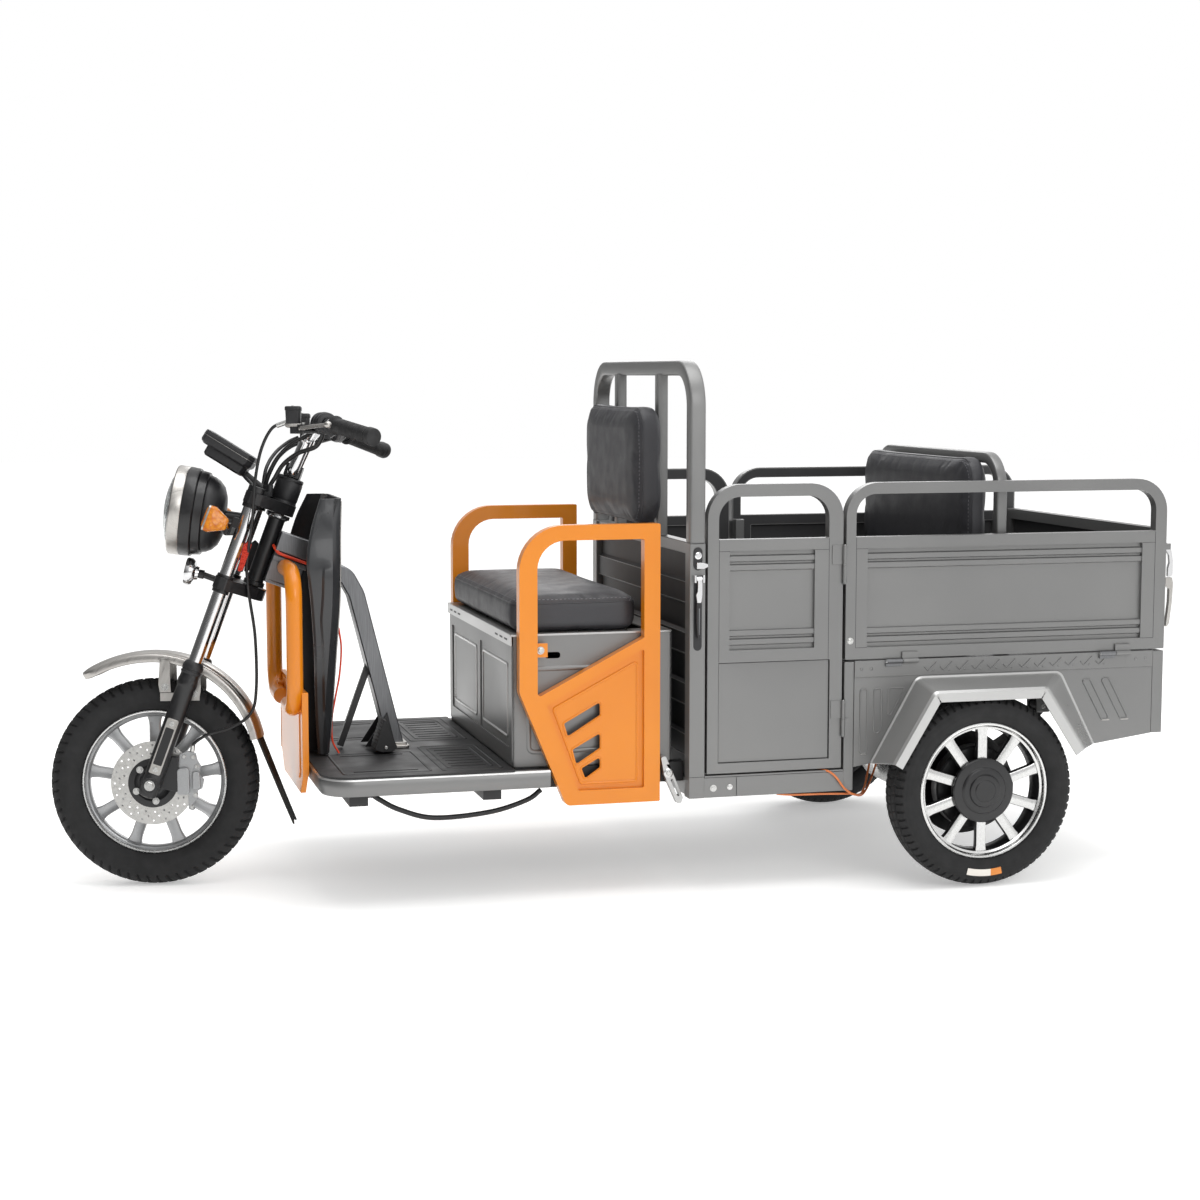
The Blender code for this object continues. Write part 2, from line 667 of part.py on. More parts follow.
def arm_frame(side):
    span = sides(side, ARM_HALF - ARM_DEPTH, ARM_HALF)
    tube = ARM_TUBE
    outer = arc_corners([(ARM_FRONT, ARM_TOP, 0), (ARM_FRONT, 0.452, 0), (ARM_FRONT + 0.103, ARM_LOW, 0),
                         (ARM_REAR, ARM_LOW, 0),
                         (ARM_REAR, ARM_TOP, 0)], [0.100, 0.030, 0.015, 0, 0], 4)
    outline = [(p.x, p.y) for p in outer]
    diagonal_left, diagonal_right, bar = 0.437, 0.565, 0.024
    left, right = ARM_FRONT + tube + 0.004, ARM_REAR - tube
    window = arc_corners([(left, ARM_TOP - tube + 0.003, 0), (left, diagonal_left + 0.004, 0),
                          (right, diagonal_right, 0), (right, ARM_TOP - tube + 0.003, 0)],
                         [0.062, 0.006, 0.004, 0.004], 3)
    lower = [(left + 0.020, diagonal_left - bar + 0.010), (ARM_FRONT + 0.130, ARM_LOW + tube - 0.004),
             (right, ARM_LOW + tube - 0.004), (right, diagonal_right - bar)]
    frame = prism("Y", span, outline, [[(p.x, p.y) for p in window], lower])
    slots = []
    slot_right = ARM_FRONT + 0.181
    for set_back, left_z, tall in ((0.101, 0.381, 0.028), (0.120, 0.323, 0.032), (0.140, 0.281, 0.022)):
        left_x = ARM_FRONT + set_back
        rise = (slot_right - left_x) * 0.55
        slots.append([(left_x, left_z), (left_x + 0.008, left_z - tall), (slot_right, left_z - tall + rise),
                      (slot_right, left_z + rise)])
    grown = [(left + 0.012, diagonal_left - bar + 0.014), (ARM_FRONT + 0.124, ARM_LOW + tube - 0.012),
             (right + 0.006, ARM_LOW + tube - 0.012), (right + 0.006, diagonal_right - bar + 0.006)]
    plate = prism("Y", sides(side, ARM_HALF - 0.013, ARM_HALF - 0.009), grown, slots)
    tab = box((left - 0.004, left + 0.024), sides(side, ARM_HALF - 0.016, ARM_HALF - 0.008), (0.528, 0.558))
    bolt = rod((left + 0.008, side * (ARM_HALF - 0.012), 0.543),
               (left + 0.008, side * (ARM_HALF - 0.002), 0.543), 0.006)
    return join(frame, plate, tab, bolt)


for label, side in (("left", -1), ("right", 1)):
    node("arm_frame_" + label, arm_frame(side), ORANGE)


# Roll bow with inner bars, and the driver's back cushion on them

BOW_X = BOX_FRONT + POST_WIDTH / 2
BAR_X = BOW_X - 0.012
BAR_Y = 0.170


def roll_bow():
    depth = 0.033
    middle = BOX_HALF - depth / 2
    foot = POST_TOP + GAP
    path = arc_corners([(BOW_X, -middle, foot), (BOW_X, -middle, BOW_TOP - depth / 2),
                        (BOW_X, middle, BOW_TOP - depth / 2), (BOW_X, middle, foot)],
                       [0, BOW_CORNER, BOW_CORNER, 0], 3, closed=False)
    bow = sweep(path, square(POST_WIDTH, depth, 0.005), (1, 0, 0))
    bars = []
    for side in (-1, 1):
        bars.append(box((BAR_X - 0.0125, BAR_X + 0.0125), sides(side, BAR_Y - 0.0125, BAR_Y + 0.0125),
                        (foot, BOW_TOP - depth + 0.004)))
    return join(bow, *bars)


node("roll_bow", roll_bow(), GREY)

BACK_THICK = 0.068
BACK_HEIGHT = (0.792, 1.071)


def upright(pad, back, height):
    """A cushion lying flat, stood up with its crown to the front and its back on a plane."""
    turn = Matrix(((0, 0, -1, back), (0, 1, 0, 0), (1, 0, 0, height), (0, 0, 0, 1)))
    return moved(pad, turn)


def back_cushion():
    half = (BACK_HEIGHT[1] - BACK_HEIGHT[0]) / 2
    pad = padded((-half, half), (-BACK_HALF, BACK_HALF), (0.0, BACK_THICK), 0.014, 0.060)
    return upright(pad, BAR_X - 0.0125 - GAP, (BACK_HEIGHT[0] + BACK_HEIGHT[1]) / 2)


node("back_cushion", back_cushion(), LEATHER)


# Cargo frame: posts, lower rails, cross members, deck beams, spring hangers, bulkhead

SPRING_Y = RAIL_INNER - 0.043
SPRING_HALF = 0.022
SPRING_REACH = 0.219
SPRING_EYE_Z = 0.372
EYE_R = 0.013


def cargo_frame():
    beam_low = 0.452
    beam_top = DECK_TOP - 0.0038
    pieces = []
    for side in (-1, 1):
        outer = sides(side, RAIL_INNER, BOX_HALF)
        pieces.append(box((BOX_FRONT, BOX_FRONT + POST_WIDTH), outer, (BASE_LOW, POST_TOP)))
        pieces.append(box((BOX_FRONT + 0.010, MID_POST + 0.010), outer, (BASE_LOW + 0.0002, BASE_TOP)))
        pieces.append(box((MID_POST, MID_POST + MID_WIDTH), outer, (BASE_LOW, DECK_TOP)))
        pieces.append(box((MID_POST, MID_POST + MID_WIDTH),
                          sides(side, RAIL_INNER - 0.023, RAIL_INNER + 0.0065), (beam_low, 0.768)))
        pieces.append(box((TAIL - TAIL_WIDTH, TAIL), outer, (0.308, DECK_TOP)))
        pieces.append(box((MID_POST + 0.004, TAIL - 0.002),
                          sides(side, SPRING_Y - SPRING_HALF - 0.002, RAIL_INNER - 0.0165),
                          (beam_low - 0.030, beam_top)))
        for end in (-1, 1):
            x = WHEELBASE + end * SPRING_REACH
            for low, high in ((SPRING_Y - SPRING_HALF - 0.0045, SPRING_Y - SPRING_HALF - GAP),
                              (SPRING_Y + SPRING_HALF + GAP, SPRING_Y + SPRING_HALF + 0.0044)):
                cheek = [(x - 0.016, 0.358), (x + 0.016, 0.358), (x + 0.020, 0.432), (x - 0.020, 0.432)]
                pieces.append(prism("Y", sides(side, low, high), cheek))
            reach = SPRING_HALF + 0.006
            pieces.append(rod((x, side * (SPRING_Y - reach), SPRING_EYE_Z),
                              (x, side * (SPRING_Y + reach), SPRING_EYE_Z),
                              EYE_R * 0.42, 8))
        pieces += door_hinge_post(side)
        pieces += latch_seat(side)
    for x, low, high in ((BOX_FRONT + POST_WIDTH / 2, BASE_LOW + 0.001, BASE_TOP - 0.006),
                         (MID_POST + 0.006, BASE_LOW + 0.001, BASE_TOP - 0.006),
                         (BOX_FRONT + POST_WIDTH / 2, POST_TOP - 0.027, POST_TOP - 0.0004)):
        pieces.append(box((x - CROSS_HALF, x + CROSS_HALF), (-RAIL_INNER - 0.005, RAIL_INNER + 0.005),
                          (low, high)))
    for x, half in ((MID_POST + 0.014, PASS_HALF - 0.001), (PASS_X - 0.028, PASS_HALF - 0.001),
                    (TAIL - 0.015, RAIL_INNER + 0.004)):
        pieces.append(box((x - 0.012, x + 0.012), (-half, half), (beam_low + 0.004, beam_top)))
    pieces.append(box((TAIL - 0.026, TAIL - 0.002), (-RAIL_INNER - 0.004, RAIL_INNER + 0.004),
                      (0.372, 0.412)))
    for side in (-1, 1):
        low, high = TAIL_BARRELS
        middle = (low + high) / 2
        pieces.append(rod((TAIL_AXIS_X, side * (middle - 0.004), SIDE_AXIS_Z),
                          (TAIL_AXIS_X, side * (high + 0.001), SIDE_AXIS_Z), BARREL_PIN_R, 8))
        pieces.append(rod((TAIL_AXIS_X, side * low, SIDE_AXIS_Z), (TAIL_AXIS_X, side * middle, SIDE_AXIS_Z),
                          BARREL_R, 8))
        pieces.append(box((TAIL - 0.008, TAIL_AXIS_X - 0.0012), sides(side, low, middle),
                          (SIDE_AXIS_Z - 0.016, DECK_TOP - 0.0042)))
    ribs = [(0.300 + 0.1125 * i, 0.345 + 0.1125 * i) for i in range(4)]
    panel = ribbed("X", BOX_FRONT + 0.014, 0.003, (-RAIL_INNER - 0.004, RAIL_INNER + 0.004),
                   (BASE_TOP - 0.010, POST_TOP - 0.010), ribs, -0.008)
    return join(pieces[0], panel, *pieces[1:])


# Door hinges: pins and outer knuckles on the frame, middle knuckle on the door

HINGE_X = MID_POST - 0.004
HINGE_Y = BOX_HALF + 0.0054
PIN_R = 0.0022
KNUCKLE_R = 0.0045
DOOR_HINGES = ((0.333, 0.414), (0.674, 0.760))


def door_hinge_post(side):
    """The frame's half of each lift-off hinge: a lower knuckle, its pin and its leaf."""
    parts = []
    y = side * HINGE_Y
    for low, high in DOOR_HINGES:
        middle = (low + high) / 2
        parts.append(rod((HINGE_X, y, middle - 0.004), (HINGE_X, y, high + 0.0015), PIN_R, 8))
        parts.append(rod((HINGE_X, y, low), (HINGE_X, y, middle), KNUCKLE_R, 8))
        if low < DECK_TOP:
            parts.append(box((HINGE_X, MID_POST + 0.012), sides(side, BOX_HALF - 0.0005, BOX_HALF + 0.003),
                             (low, middle)))
        else:
            parts.append(box((HINGE_X - 0.0012, HINGE_X + 0.0012), sides(side, RAIL_INNER - 0.011, HINGE_Y),
                             (low, middle)))
            parts.append(box((HINGE_X - 0.0011, MID_POST + 0.001),
                             sides(side, RAIL_INNER - 0.021, RAIL_INNER - 0.001),
                             (low + 0.001, middle - 0.001)))
    return parts


LATCH_OUT = 0.0095
LATCH_Z = 0.694
LATCH_PIN_R = 0.0025


def latch_seat(side):
    """The lock plate and tongue on the front post."""
    x = BOX_FRONT + POST_WIDTH / 2
    plate = box((x - 0.010, x + 0.010), sides(side, BOX_HALF - 0.001, BOX_HALF + 0.004), (0.712, 0.762))
    tongue = box((x, BOX_FRONT + POST_WIDTH + 0.0035), sides(side, BOX_HALF - 0.0008, BOX_HALF + 0.0075),
                 (0.716, 0.728))
    ears = []
    for low, high in ((x - 0.0115, x - 0.0075), (x + 0.0075, x + 0.0115)):
        ears.append(box((low, high), sides(side, BOX_HALF - 0.001, BOX_HALF + 0.016),
                        (LATCH_Z - 0.008, LATCH_Z + 0.008)))
    y = side * (BOX_HALF + LATCH_OUT)
    pin = rod((x - 0.0105, y, LATCH_Z), (x + 0.0105, y, LATCH_Z), LATCH_PIN_R, 8)
    return [plate, tongue, pin] + ears


# Drop sides and tailgate turn on barrel hinges at the deck's edges

SIDE_FRONT = MID_POST + 0.0015
SIDE_LOW = DECK_TOP + 0.0047
SIDE_AXIS_Y = BOX_HALF + 0.0077
SIDE_AXIS_Z = DECK_TOP - 0.0013
BARREL_R = 0.0055
BARREL_PIN_R = 0.0028
BARREL_LENGTH = 0.077
SIDE_BARRELS = ((SIDE_FRONT + 0.095, SIDE_FRONT + 0.095 + BARREL_LENGTH),
                (TAIL - 0.166, TAIL - 0.166 + BARREL_LENGTH))
TAIL_AXIS_X = TAIL + 0.0077
TAIL_BARRELS = (0.150, 0.150 + BARREL_LENGTH)
TAIL_LATCH = (TAIL + 0.0070, 0.740)
TAIL_LATCH_Y = BOX_HALF - 0.0125
node("cargo_frame", cargo_frame(), GREY)


# Cargo floor: low footwell behind the doors, a riser, the raised deck and its seat uprights

def cargo_floor():
    sheet = 0.0038
    front = BOX_FRONT + POST_WIDTH + GAP
    step = MID_POST - GAP
    foot_half = BOX_HALF - 0.0005
    footwell = prism("Z", (BASE_TOP + GAP, BASE_TOP + GAP + sheet),
                     [(front, -foot_half), (step, -foot_half), (step, foot_half), (front, foot_half)])
    neck = RAIL_INNER - 0.024
    riser = box((step - sheet, step), (-neck, neck), (BASE_TOP + 0.0015, DECK_TOP))
    behind, edge, rear = MID_POST + MID_WIDTH + GAP, BOX_HALF - 0.0055, TAIL - TAIL_WIDTH - GAP
    half = [(step - sheet, neck), (behind, neck), (behind, edge), (rear, edge), (rear, RAIL_INNER - GAP),
            (TAIL - 0.0004, RAIL_INNER - GAP)]
    outline = half + [(x, -y) for x, y in reversed(half)]
    deck = prism("Z", (DECK_TOP - 0.0035, DECK_TOP), outline)
    pieces = [riser, deck]
    for side in (-1, 1):
        stand = prism("Y", sides(side, PASS_HALF + 0.0006, PASS_HALF + 0.0056),
                         [(PASS_X - 0.020, DECK_TOP - 0.001), (PASS_X + 0.020, DECK_TOP - 0.001),
                          (PASS_X + 0.020, PASS_PIVOT + 0.012), (PASS_X + 0.010, PASS_PIVOT + 0.022),
                          (PASS_X - 0.010, PASS_PIVOT + 0.022), (PASS_X - 0.020, PASS_PIVOT + 0.012)])
        pin = rod((PASS_X, side * (PASS_HALF - PASS_TUBE), PASS_PIVOT),
                  (PASS_X, side * (PASS_HALF + 0.004), PASS_PIVOT),
                  PASS_PIN_R, 12)
        pieces += [stand, pin]
    return join(footwell, *pieces)


node("cargo_floor", cargo_floor(), STEEL)
node("bench_cushion", padded((MID_POST + 0.0195, PASS_X - 0.036), (-RAIL_INNER + 0.048, RAIL_INNER - 0.048),
                             (DECK_TOP + GAP, BENCH_TOP), 0.018, 0.040),
     LEATHER)


# Doors: tube frame, open window, ribbed upper sheet, plain lower sheet, hinge knuckles

DOOR_FRONT = BOX_FRONT + POST_WIDTH + 0.005
DOOR_REAR = MID_POST - 0.006
DOOR_LOW = 0.2625


def framed(side, outline, holes):
    """A flat frame of the cargo box's side, with openings through its tubes."""
    return prism("Y", sides(side, BOX_HALF - FRAME_DEPTH, BOX_HALF), outline, holes)


def plan(points):
    """The X and Z values of points drawn in an upright plane."""
    return [(p.x, p.y) for p in points]


def rib_sheet(side, x, z, ribs):
    """A pressed sheet set back in a frame, its ribs standing out level."""
    face = side * (BOX_HALF - 0.009)
    return ribbed("Y", face, side * 0.002, x, z, ribs, side * 0.004)


def panel_ribs(low, high):
    """Two ribs near the top of a panel and two near its foot, the middle left flat."""
    tall, pitch, edge = 0.011, 0.0195, 0.012
    spans = []
    for start in (low + edge, high - edge - tall - pitch):
        spans += [(start + i * pitch, start + i * pitch + tall) for i in range(2)]
    return spans


def door(side):
    left, right = DOOR_FRONT + TUBE - 0.001, DOOR_REAR - 0.033
    outline = arc_corners([(DOOR_FRONT, DOOR_LOW, 0), (DOOR_REAR, DOOR_LOW, 0), (DOOR_REAR, SIDE_TOP, 0),
                           (DOOR_FRONT, SIDE_TOP, 0)], [0, 0, SIDE_CORNER, SIDE_CORNER], 4)
    inner = SIDE_CORNER - TUBE
    window = arc_corners([(left, PANEL_TOP, 0), (right, PANEL_TOP, 0), (right, SIDE_TOP - TUBE - 0.001, 0),
                          (left, SIDE_TOP - TUBE - 0.001, 0)], [0, 0, inner, inner], 3)
    upper = [(left + TUBE - 0.001, 0.534), (right - 0.033, 0.534), (right - 0.033, PANEL_TOP - 0.025),
             (left + TUBE - 0.001, PANEL_TOP - 0.025)]
    lower = [(left, DOOR_LOW + 0.022), (right + 0.004, DOOR_LOW + 0.022), (right + 0.004, 0.507),
             (left, 0.507)]
    frame = framed(side, plan(outline), [plan(window), upper, lower])
    sheet = rib_sheet(side, (upper[0][0] - 0.008, upper[1][0] + 0.008),
                      (upper[0][1] - 0.008, upper[2][1] + 0.008),
                      panel_ribs(upper[0][1], upper[2][1]))
    plain = box((lower[0][0] - 0.008, lower[1][0] + 0.008),
                sides(side, BOX_HALF - 0.010, BOX_HALF - 0.007), (lower[0][1] - 0.008, lower[2][1] + 0.008))
    pieces = [sheet, plain]
    bores = []
    for low, high in DOOR_HINGES:
        a, b = (low + high) / 2 + 0.0006, high
        y = side * HINGE_Y
        pieces.append(rod((HINGE_X, y, a), (HINGE_X, y, b), KNUCKLE_R, 8))
        pieces.append(box((DOOR_REAR - 0.026, HINGE_X), sides(side, BOX_HALF - 0.0005, BOX_HALF + 0.0022),
                          (a, b)))
        bores.append(rod((HINGE_X, y, a - 0.01), (HINGE_X, y, b + 0.01), PIN_R + 0.0006, 8))
    return cut(join(frame, *pieces), *bores)


# Drop sides: rounded tube frame, open upper part, ribbed sheet and barrel hinges

def drop_side(side):
    leg, frame_bar = TAIL_WIDTH, 0.026
    outline = arc_corners([(SIDE_FRONT, SIDE_LOW, 0), (TAIL, SIDE_LOW, 0), (TAIL, SIDE_TOP, 0),
                           (SIDE_FRONT, SIDE_TOP, 0)],
                          [0, 0, SIDE_CORNER, SIDE_CORNER], 4)
    left, right = SIDE_FRONT + 0.023, TAIL - leg
    inner = SIDE_CORNER - leg
    window = arc_corners([(left, PANEL_TOP, 0), (right, PANEL_TOP, 0), (right, SIDE_TOP - 0.025, 0),
                          (left, SIDE_TOP - 0.025, 0)], [0, 0, inner, inner], 3)
    panel = [(left + leg, SIDE_LOW + frame_bar), (right - 0.033, SIDE_LOW + frame_bar),
             (right - 0.033, PANEL_TOP - frame_bar), (left + leg, PANEL_TOP - frame_bar)]
    frame = framed(side, plan(outline), [plan(window), panel])
    sheet = rib_sheet(side, (panel[0][0] - 0.008, panel[1][0] + 0.008),
                      (panel[0][1] - 0.008, panel[2][1] + 0.008),
                      panel_ribs(panel[0][1], panel[2][1]))
    pieces = [sheet]
    bores = []
    y = side * SIDE_AXIS_Y
    for low, high in SIDE_BARRELS:
        a, b = (low + high) / 2 + 0.0006, high
        pieces.append(rod((a, y, SIDE_AXIS_Z), (b, y, SIDE_AXIS_Z), BARREL_R, 8))
        pieces.append(box((a, b), sides(side, BOX_HALF - 0.0005, SIDE_AXIS_Y - 0.0022),
                          (SIDE_AXIS_Z + 0.0031, SIDE_LOW + 0.014)))
        bores.append(rod((a - 0.01, y, SIDE_AXIS_Z), (b + 0.01, y, SIDE_AXIS_Z), BARREL_PIN_R + 0.0006, 8))
    x, z = TAIL_LATCH
    for low, high in ((TAIL_LATCH_Y - 0.0105, TAIL_LATCH_Y - 0.0065),
                      (TAIL_LATCH_Y + 0.0065, TAIL_LATCH_Y + 0.0105)):
        pieces.append(box((TAIL - 0.002, x + 0.0060), sides(side, low, high), (z - 0.007, z + 0.007)))
    pieces.append(rod((x, side * (TAIL_LATCH_Y - 0.0085), z), (x, side * (TAIL_LATCH_Y + 0.0085), z),
                      PIN_R, 8))
    return cut(join(frame, *pieces), *bores)


def skirt(side):
    """The fixed panel below a drop side, cut round the wheel."""
    front, rear = MID_POST + MID_WIDTH + GAP, TAIL - TAIL_WIDTH - GAP
    arch = [(point.x, point.y) for point in fender_line(0)]
    outline = [(front, BAND_TOP), (front, 0.262), (arch[0][0], 0.269)] + arch[1:]
    outline += [(rear, 0.308), (rear, BAND_TOP)]
    sheet = prism("Y", sides(side, BOX_HALF - 0.005, BOX_HALF), outline)
    band = box((front, rear), sides(side, BOX_HALF - 0.004, BOX_HALF + 0.0015),
               (BAND_LOW + 0.0005, BAND_TOP))
    pieces = [band]
    y = side * SIDE_AXIS_Y
    for low, high in SIDE_BARRELS:
        middle = (low + high) / 2
        pieces.append(rod((middle - 0.004, y, SIDE_AXIS_Z), (high + 0.001, y, SIDE_AXIS_Z), BARREL_PIN_R, 8))
        pieces.append(rod((low, y, SIDE_AXIS_Z), (middle, y, SIDE_AXIS_Z), BARREL_R, 8))
        pieces.append(box((low, middle), sides(side, BOX_HALF + 0.0005, SIDE_AXIS_Y - 0.0012),
                          (SIDE_AXIS_Z - 0.012, SIDE_AXIS_Z - 0.0004)))
    return join(sheet, *pieces)


BAND_TOP = 0.5010
ARCH_FRONT = WHEELBASE - 0.226
FENDER_OUT = BOX_HALF + 0.132
FENDER_SHEET = 0.003
FENDER_LIP = 0.026
FENDER_FLANGE = 0.0050


def fender_line(share):
    """The wheel arch's line from its front foot to its rear foot, body edge at 0, outer edge at 1."""
    x = WHEELBASE
    body = [(ARCH_FRONT, 0.269, 0), (x - 0.119, 0.457, 0), (x + 0.231, 0.457, 0), (x + 0.318, 0.288, 0)]
    outer = [(ARCH_FRONT - 0.003, 0.290, 0), (x - 0.134, 0.447, 0), (x + 0.137, 0.447, 0),
             (x + 0.232, 0.303, 0)]
    mixed = [Vector(a).lerp(Vector(b), share) for a, b in zip(body, outer)]
    return arc_corners(mixed, [0, 0.020, 0.020, 0], 2, closed=False)


def fender(side):
    near, wall = BOX_HALF + GAP, FENDER_SHEET
    body, outer = fender_line(0), fender_line(1)
    section = [(near, FENDER_FLANGE, 0), (near + 0.0025, FENDER_FLANGE, 0), (near + 0.0025, 0, 0),
               (FENDER_OUT, 0, 1), (FENDER_OUT, -FENDER_LIP, 1), (FENDER_OUT - wall, -FENDER_LIP, 1),
               (FENDER_OUT - wall, -wall, 1), (near, -wall, 0)]
    points = []
    count = len(body)
    size = len(section)
    for i in range(count):
        normals = []
        for line in (body, outer):
            before = line[max(i - 1, 0)]
            after = line[min(i + 1, count - 1)]
            into = (line[i] - before).normalized() if i > 0 else (after - line[i]).normalized()
            out = (after - line[i]).normalized() if i < count - 1 else into
            along = (into + out).normalized()
            normals.append(Vector((-along.y, along.x, 0)) / along.dot(into))
        for y, offset, at_edge in section:
            base = (outer if at_edge else body)[i]
            point = base + normals[at_edge] * offset
            points.append((point.x, side * y, point.y))
    faces = []
    for i in range(count - 1):
        for k in range(size):
            n = (k + 1) % size
            faces.append((i * size + k, i * size + n, (i + 1) * size + n, (i + 1) * size + k))
    for start in (0, (count - 1) * size):
        faces.append(tuple(start + k for k in range(size)))
    return solid(points, faces)


def tail_latch(side):
    x, z = TAIL_LATCH
    low, high = TAIL_LATCH_Y - 0.006, TAIL_LATCH_Y + 0.006
    hub = rod((x, side * low, z), (x, side * high, z), 0.0052, 8)
    strap = box((x - 0.0035, x + 0.0035), sides(side, low, high), (0.640, z - 0.002))
    grip = box((x - 0.0035, x + 0.0175), sides(side, low, high), (0.552, 0.652))
    bore = rod((x, side * (low - 0.01), z), (x, side * (high + 0.01), z), PIN_R + 0.0006, 8)
    return cut(join(hub, strap, grip), bore)


def door_latch(side):
    x = BOX_FRONT + POST_WIDTH / 2
    y, z = BOX_HALF + LATCH_OUT, LATCH_Z
    half = 0.0068
    hub = rod((x - half, side * y, z), (x + half, side * y, z), 0.0055, 8)
    strap = box((x - half, x + half), sides(side, y - 0.003, y + 0.003), (0.560, z))
    bore = rod((x - 0.02, side * y, z), (x + 0.02, side * y, z), LATCH_PIN_R + 0.0006, 8)
    return cut(join(hub, strap), bore)


for label, side in (("left", -1), ("right", 1)):
    node("skirt_" + label, skirt(side), GREY)
    node("fender_" + label, fender(side), GREY)
    swing = joint_frame("door_hinge_" + label, (HINGE_X, side * HINGE_Y, DOOR_LOW))
    node("door_" + label, door(side), GREY, swing)
    latch = joint_frame("door_latch_pivot_" + label, (BOX_FRONT + POST_WIDTH / 2,
                                                      side * (BOX_HALF + LATCH_OUT), LATCH_Z))
    node("door_latch_" + label, door_latch(side), CHROME, latch)
    drop = joint_frame("drop_side_hinge_" + label, (SIDE_FRONT, side * SIDE_AXIS_Y, SIDE_AXIS_Z))
    node("drop_side_" + label, drop_side(side), GREY, drop)
    catch = joint_frame("tail_latch_pivot_" + label,
                        (TAIL_LATCH[0], side * TAIL_LATCH_Y, TAIL_LATCH[1]), drop)
    node("tail_latch_" + label, tail_latch(side), CHROME, catch)


# Tailgate between the drop sides, hinged at the deck's rear edge

TAIL_HALF = BOX_HALF - FRAME_DEPTH - 0.0006


def tailgate():
    low, top, bar = SIDE_LOW, 0.783, 0.026
    frame = prism("X", (TAIL - 0.024, TAIL), [(-TAIL_HALF, low), (TAIL_HALF, low), (TAIL_HALF, top),
                                              (-TAIL_HALF, top)],
                  [[(-TAIL_HALF + bar, low + bar), (TAIL_HALF - bar, low + bar),
                    (TAIL_HALF - bar, top - bar),
                    (-TAIL_HALF + bar, top - bar)]])
    half = TAIL_HALF - bar + 0.008
    sheet = ribbed("X", TAIL - 0.010, 0.002, (-half, half), (low + bar - 0.008, top - bar + 0.008),
                   panel_ribs(low + bar, top - bar), 0.004)
    pieces = [sheet]
    bores = []
    for side in (-1, 1):
        a, b = sum(TAIL_BARRELS) / 2 + 0.0006, TAIL_BARRELS[1]
        pieces.append(rod((TAIL_AXIS_X, side * a, SIDE_AXIS_Z), (TAIL_AXIS_X, side * b, SIDE_AXIS_Z),
                          BARREL_R, 8))
        pieces.append(box((TAIL - 0.0005, TAIL_AXIS_X - 0.0022), sides(side, a, b),
                          (SIDE_AXIS_Z + 0.0031, low + 0.014)))
        bores.append(rod((TAIL_AXIS_X, side * (a - 0.01), SIDE_AXIS_Z),
                         (TAIL_AXIS_X, side * (b + 0.01), SIDE_AXIS_Z),
                         BARREL_PIN_R + 0.0006, 8))
    return cut(join(frame, *pieces), *bores)


TAIL_HINGE = joint_frame("tailgate_hinge", (TAIL_AXIS_X, 0, SIDE_AXIS_Z))
node("tailgate", tailgate(), GREY, TAIL_HINGE)


def tail_lamps():
    reach, bar_low, bar_high = RAIL_INNER - 0.023, 0.386, 0.398
    bar = box((TAIL - 0.0017, TAIL + 0.002), (-reach + 0.010, reach - 0.010), (bar_low, bar_high))
    lenses = [box((TAIL - 0.0017, TAIL + 0.010), sides(side, reach - 0.080, reach),
                  (bar_low - 0.010, bar_high + 0.010)) for side in (-1, 1)]
    return join(bar, *lenses)


node("tail_lamps", tail_lamps(), RED)


# Passenger backrest: a bow that folds forward on two pins, and its cushion

PASS_HINGE = joint_frame("passenger_hinge", (PASS_X, 0, PASS_PIVOT))


def passenger_bow():
    middle = PASS_HALF - PASS_TUBE / 2
    top = PASS_TOP - PASS_TUBE / 2
    foot = PASS_PIVOT - 0.055
    path = arc_corners([(PASS_X, -middle, foot), (PASS_X, -middle, top), (PASS_X, middle, top),
                        (PASS_X, middle, foot)],
                       [0, 0.070, 0.070, 0], 3, closed=False)
    bow = sweep(path, square(PASS_TUBE, PASS_TUBE, 0.005), (1, 0, 0))
    bar = box((PASS_X - PASS_TUBE / 2, PASS_X + 0.008), (-middle, middle), (0.700, 0.722))
    bores = [rod((PASS_X, side * (PASS_HALF - PASS_TUBE - 0.01), PASS_PIVOT),
                 (PASS_X, side * (PASS_HALF + 0.01), PASS_PIVOT),
                 PASS_PIN_R + 0.0007, 12) for side in (-1, 1)]
    return cut(join(bow, bar), *bores)


node("passenger_bow", passenger_bow(), GREY, PASS_HINGE)
PASS_PAD = (0.682, 0.953)
node("passenger_cushion",
     upright(padded((-(PASS_PAD[1] - PASS_PAD[0]) / 2, (PASS_PAD[1] - PASS_PAD[0]) / 2),
                    (-PASS_HALF + 0.032, PASS_HALF - 0.032), (0.0, 0.062), 0.014, 0.060),
             PASS_X - PASS_TUBE / 2 - GAP, (PASS_PAD[0] + PASS_PAD[1]) / 2), LEATHER, PASS_HINGE)


# Steering stem: steerer, two clamps, upper fork tubes, cap, lamp and horn brackets

LAMP_MID = Vector((0.100, 0, 0.829))
LAMP_TILT = math.radians(9.0)
LAMP_R = 0.100
LAMP_DEPTH = 0.128
LAMP_WAY = Vector((-math.cos(LAMP_TILT), 0, math.sin(LAMP_TILT)))
HORN_MID = Vector((0.088, 0, 0.695))
HORN_R = 0.032
HORN_DEPTH = 0.030
HORN_WAY = Vector((-math.cos(math.radians(12.0)), 0, math.sin(math.radians(12.0))))
STRAP_OUT = 0.027


